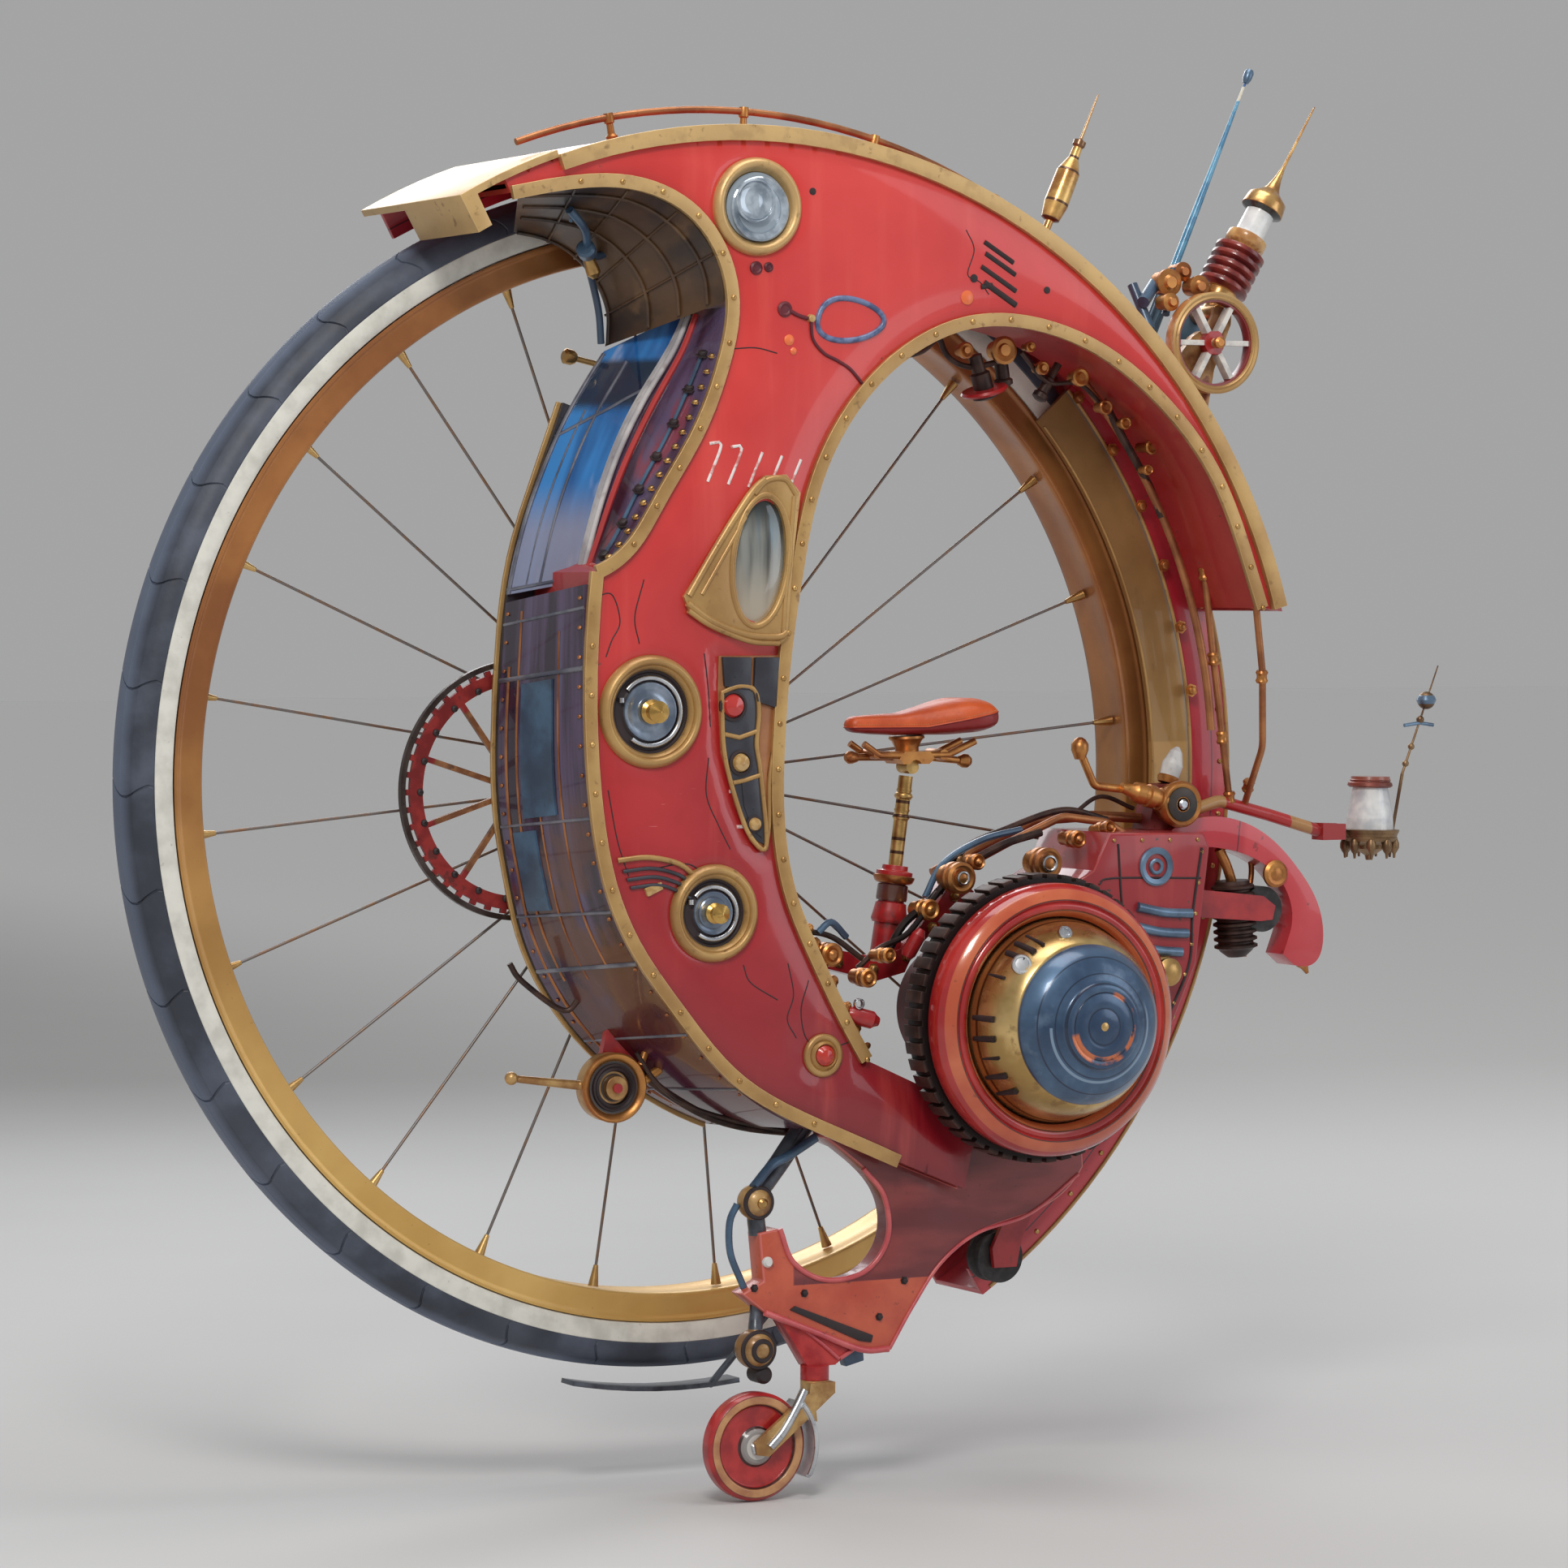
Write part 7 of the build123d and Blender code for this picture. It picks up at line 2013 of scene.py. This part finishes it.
faced("winch_well", -196, -505, [(178, 27), (178, 40), (183, 39), (184, 36), (181, 33), (183, 29),
    (178, 27)], 48, black, "rotor_black", "winch")
tubes("winch_lines", casting, "brass", [
    (curved([(-150, 186, -470), (-130, 176, -430), (-120, 190, -380), (-128, 200, -350)], 6), 6),
    (curved([(-146, 176, -500), (-96, 172, -470), (-70, 180, -440)], 6), 8),
])

# Small fittings: the hoses under the limb, the valves inside the arc, and the engine's
# pumps, glands and unions between the saddle and the drum.
tubes("limb_hoses", rotor, "black_rubber", [(curved(corners, 7), size) for corners, size in (
    ([(-150, 172, -478), (-93, 172, -520), (-20, 170, -560), (55, 168, -583), (150, 180, -596)], 7),
    ([(-160, 190, -448), (-120, 186, -500), (-60, 180, -540), (30, 176, -570), (110, 200, -588)], 4),
    ([(-230, 130, -352), (-258, 118, -380), (-330, 110, -330), (-352, 108, -300)], 5),
)], sides=3)
bits, rounds, irons, reds = [], [], [], []
for number, (x, z, depth, r, tall) in enumerate((
    (519, 718, 222, 24, 30), (440, 716, 230, 14, 22), (675, 676, 214, 16, 26), (734, 626, 200, 13, 26),
        (600, 690, 214, 12, 24),
    (852, 560, 160, 13, 40), (786, 600, 180, 11, 24), (826, 520, 190, 9, 22), (560, 724, 240, 9, 20),
)):
    bits.append(faced(f"valve_{number}", x, z, [
        (depth - tall, 0), (depth - tall, r * 0.7), (depth - 6, r * 0.7), (depth - 4, r), (depth + 3, r),
            (depth + 5, r * 0.8),
        (depth + 3, r * 0.5), (depth + 7, r * 0.4), (depth + 7, 0)], 24, casting, "brass"))
for number, (foot, head, r) in enumerate((
    ((478, 200, 700), (500, 196, 640), 17), ((530, 190, 716), (540, 186, 662), 12),
        ((640, 190, 690), (610, 186, 640), 10),
)):
    length = (Vector(foot) - Vector(head)).length
    irons.append(turned(f"pot_{number}", foot, head, [
        (-10, 0), (-10, r * 0.7), (length * 0.3, r * 0.7), (length * 0.35, r), (length * 0.8, r),
            (length * 0.86, r * 1.35),
        (length, r * 1.35), (length + 4, r * 0.7), (length + 4, 0)], 24, rotor, "dark_red_paint"))
reds.append(turned("pot_flange", (494, 198, 654), (499, 196, 638),
    [(0, 0), (0, 38), (4, 41), (8, 38), (9, 22), (9, 0)], 40, cradle_red, "dark_red_paint"))
for number, (corners, size) in enumerate((
    ([(404, 196, 748), (430, 190, 706), (470, 196, 690), (520, 210, 700)], 5),
    ([(560, 210, 716), (620, 196, 668), (690, 190, 664), (760, 180, 610)], 4),
    ([(760, 150, 640), (800, 160, 566), (850, 150, 500), (880, 150, 440)], 7),
    ([(300, 230, 700), (360, 220, 712), (400, 210, 740)], 4),
)):
    irons.append(tube(f"arch_pipe_{number}", curved(corners, 7), size, rotor, "dark_steel", sides=3))
for number, (foot, head, r) in enumerate((
    ((424, 214, -172), (424, 262, -172), 27), ((370, 200, -226), (372, 250, -224), 18),
        ((462, 200, -148), (464, 236, -146), 14),
    ((560, 270, -148), (560, 316, -148), 27), ((640, 236, -110), (640, 268, -110), 15),
        ((150, 262, -290), (150, 300, -290), 20),
    ((214, 270, -330), (214, 304, -330), 16), ((256, 262, -296), (258, 296, -294), 13),
        ((700, 236, -96), (702, 262, -92), 12),
)):
    bits.append(turned(f"pump_{number}", foot, head, [
        (-16, 0), (-16, r * 0.8), (4, r * 0.8), (6, r), (16, r), (18, r * 0.86), (24, r * 0.86), (26, r),
            (34, r), (37, r * 0.8),
        (35, r * 0.62), (33, r * 0.5), (38, r * 0.42), (41, r * 0.2), (41, 0)], 32, casting, "brass"))
for number, (x, z, depth, r) in enumerate(((424, -172, 252, 12), (560, -148, 307, 14),
    (196, -372, 303, 9))):
    rounds.append(faced(f"white_ring_{number}", x, z, [
        (depth - 4, r * 0.6), (depth - 4, r), (depth + 3, r), (depth + 4, r * 0.8), (depth + 1, r * 0.6),
            (depth - 4, r * 0.6)], 32, bright, "steel"))
for number, (corners, size) in enumerate((
    ([(300, 210, -300), (330, 214, -250), (380, 210, -214), (440, 214, -160), (520, 216, -120),
        (600, 212, -100)], 7),
    ([(230, 236, -318), (270, 240, -286), (330, 232, -262), (390, 226, -196)], 5),
    ([(420, 180, -200), (470, 170, -130), (560, 160, -96), (680, 150, -66), (770, 150, -84)], 6),
    ([(700, 140, -80), (760, 142, -44), (830, 140, -66)], 4),
    ([(110, 270, -250), (160, 276, -262), (220, 268, -300)], 5),
)):
    irons.append(tube(f"engine_pipe_{number}", curved(corners, 7), size, rotor, "dark_steel", sides=3))
for number, (foot, head, r) in enumerate((((186, 292, -390), (228, 300, -402), 15),
    ((330, 230, -298), (350, 236, -262), 13))):
    length = (Vector(foot) - Vector(head)).length
    reds.append(turned(f"red_can_{number}", foot, head, [
        (-6, 0), (-6, r * 0.7), (2, r), (length - 6, r), (length, r * 0.7), (length + 6, r * 0.5),
            (length + 6, 0)], 24, cradle_red, "dark_red_paint"))
joined("valves", bits)
joined("steel_rings", rounds)
joined("iron_pipes", irons)
tubes("blue_pipes", blue_grey, "blue_glass", [(curved(corners, 7), 6) for corners in (
    [(386, 190, -206), (424, 186, -150), (500, 184, -112), (580, 180, -96)],
    [(128, 286, -252), (150, 290, -236), (184, 280, -262)],
)], sides=3)
joined("red_cans", reds)
row("valve_line", bolt_head,
    [[at(985 * cos(t), 96, 985 * sin(t)) for t in (radians(8 + k) for k in range(34))]], 96, casting,
    "brass", size=1.5)
glands = []
for number, (x, z, depth, r, tall) in enumerate((
    (92, -254, 286, 12, 22), (106, -284, 270, 16, 30), (122, -312, 292, 10, 18), (138, -346, 276, 14, 28),
        (160, -386, 290, 11, 24),
    (184, -424, 274, 15, 26), (200, -452, 292, 9, 20),
)):
    foot = at(x - 8, depth, z - 5)
    head = at(x + tall, depth, z + tall * 0.5)
    reach = (head - foot).length * 1000
    glands.append(turned(f"gland_{number}", foot, head, [
        (0, 0), (0, r * 0.7), (8, r * 0.7), (9, r), (reach - 8, r), (reach - 6, r * 0.75), (reach, r * 0.6),
            (reach + 3, r * 0.3), (reach + 3, 0)],
        20, casting, "brass"))
joined("inner_glands", glands)

# The floor that it stands on
floor_mesh = bpy.data.meshes.new("floor")
floor_mesh.from_pydata([(-60, -60, -1.1925), (60, -60, -1.1925), (60, 60, -1.1925), (-60, 60, -1.1925)], [],
    [(0, 1, 2, 3)])
floor = placed("floor", floor_mesh)
paper = Finish("floor_paper", Roughness=0.8)
# Painted light: from two to six metres out the paper turns paler, standing in for lamp light that falls off
# with distance, so that it meets the backdrop.
away = paper.radius().rising(2.0, 6.0)
paper.feed(Base_Color=paper.mix(away, paper.mix(paper.noise(1.2, 2), (0.60, 0.60, 0.60),
    (0.64, 0.64, 0.64)), (0.98, 0.98, 0.98)))
floor_mesh.materials.append(paper.material)

for pattern in (screw_head, bolt_head, stitch):
    bpy.data.objects.remove(pattern)
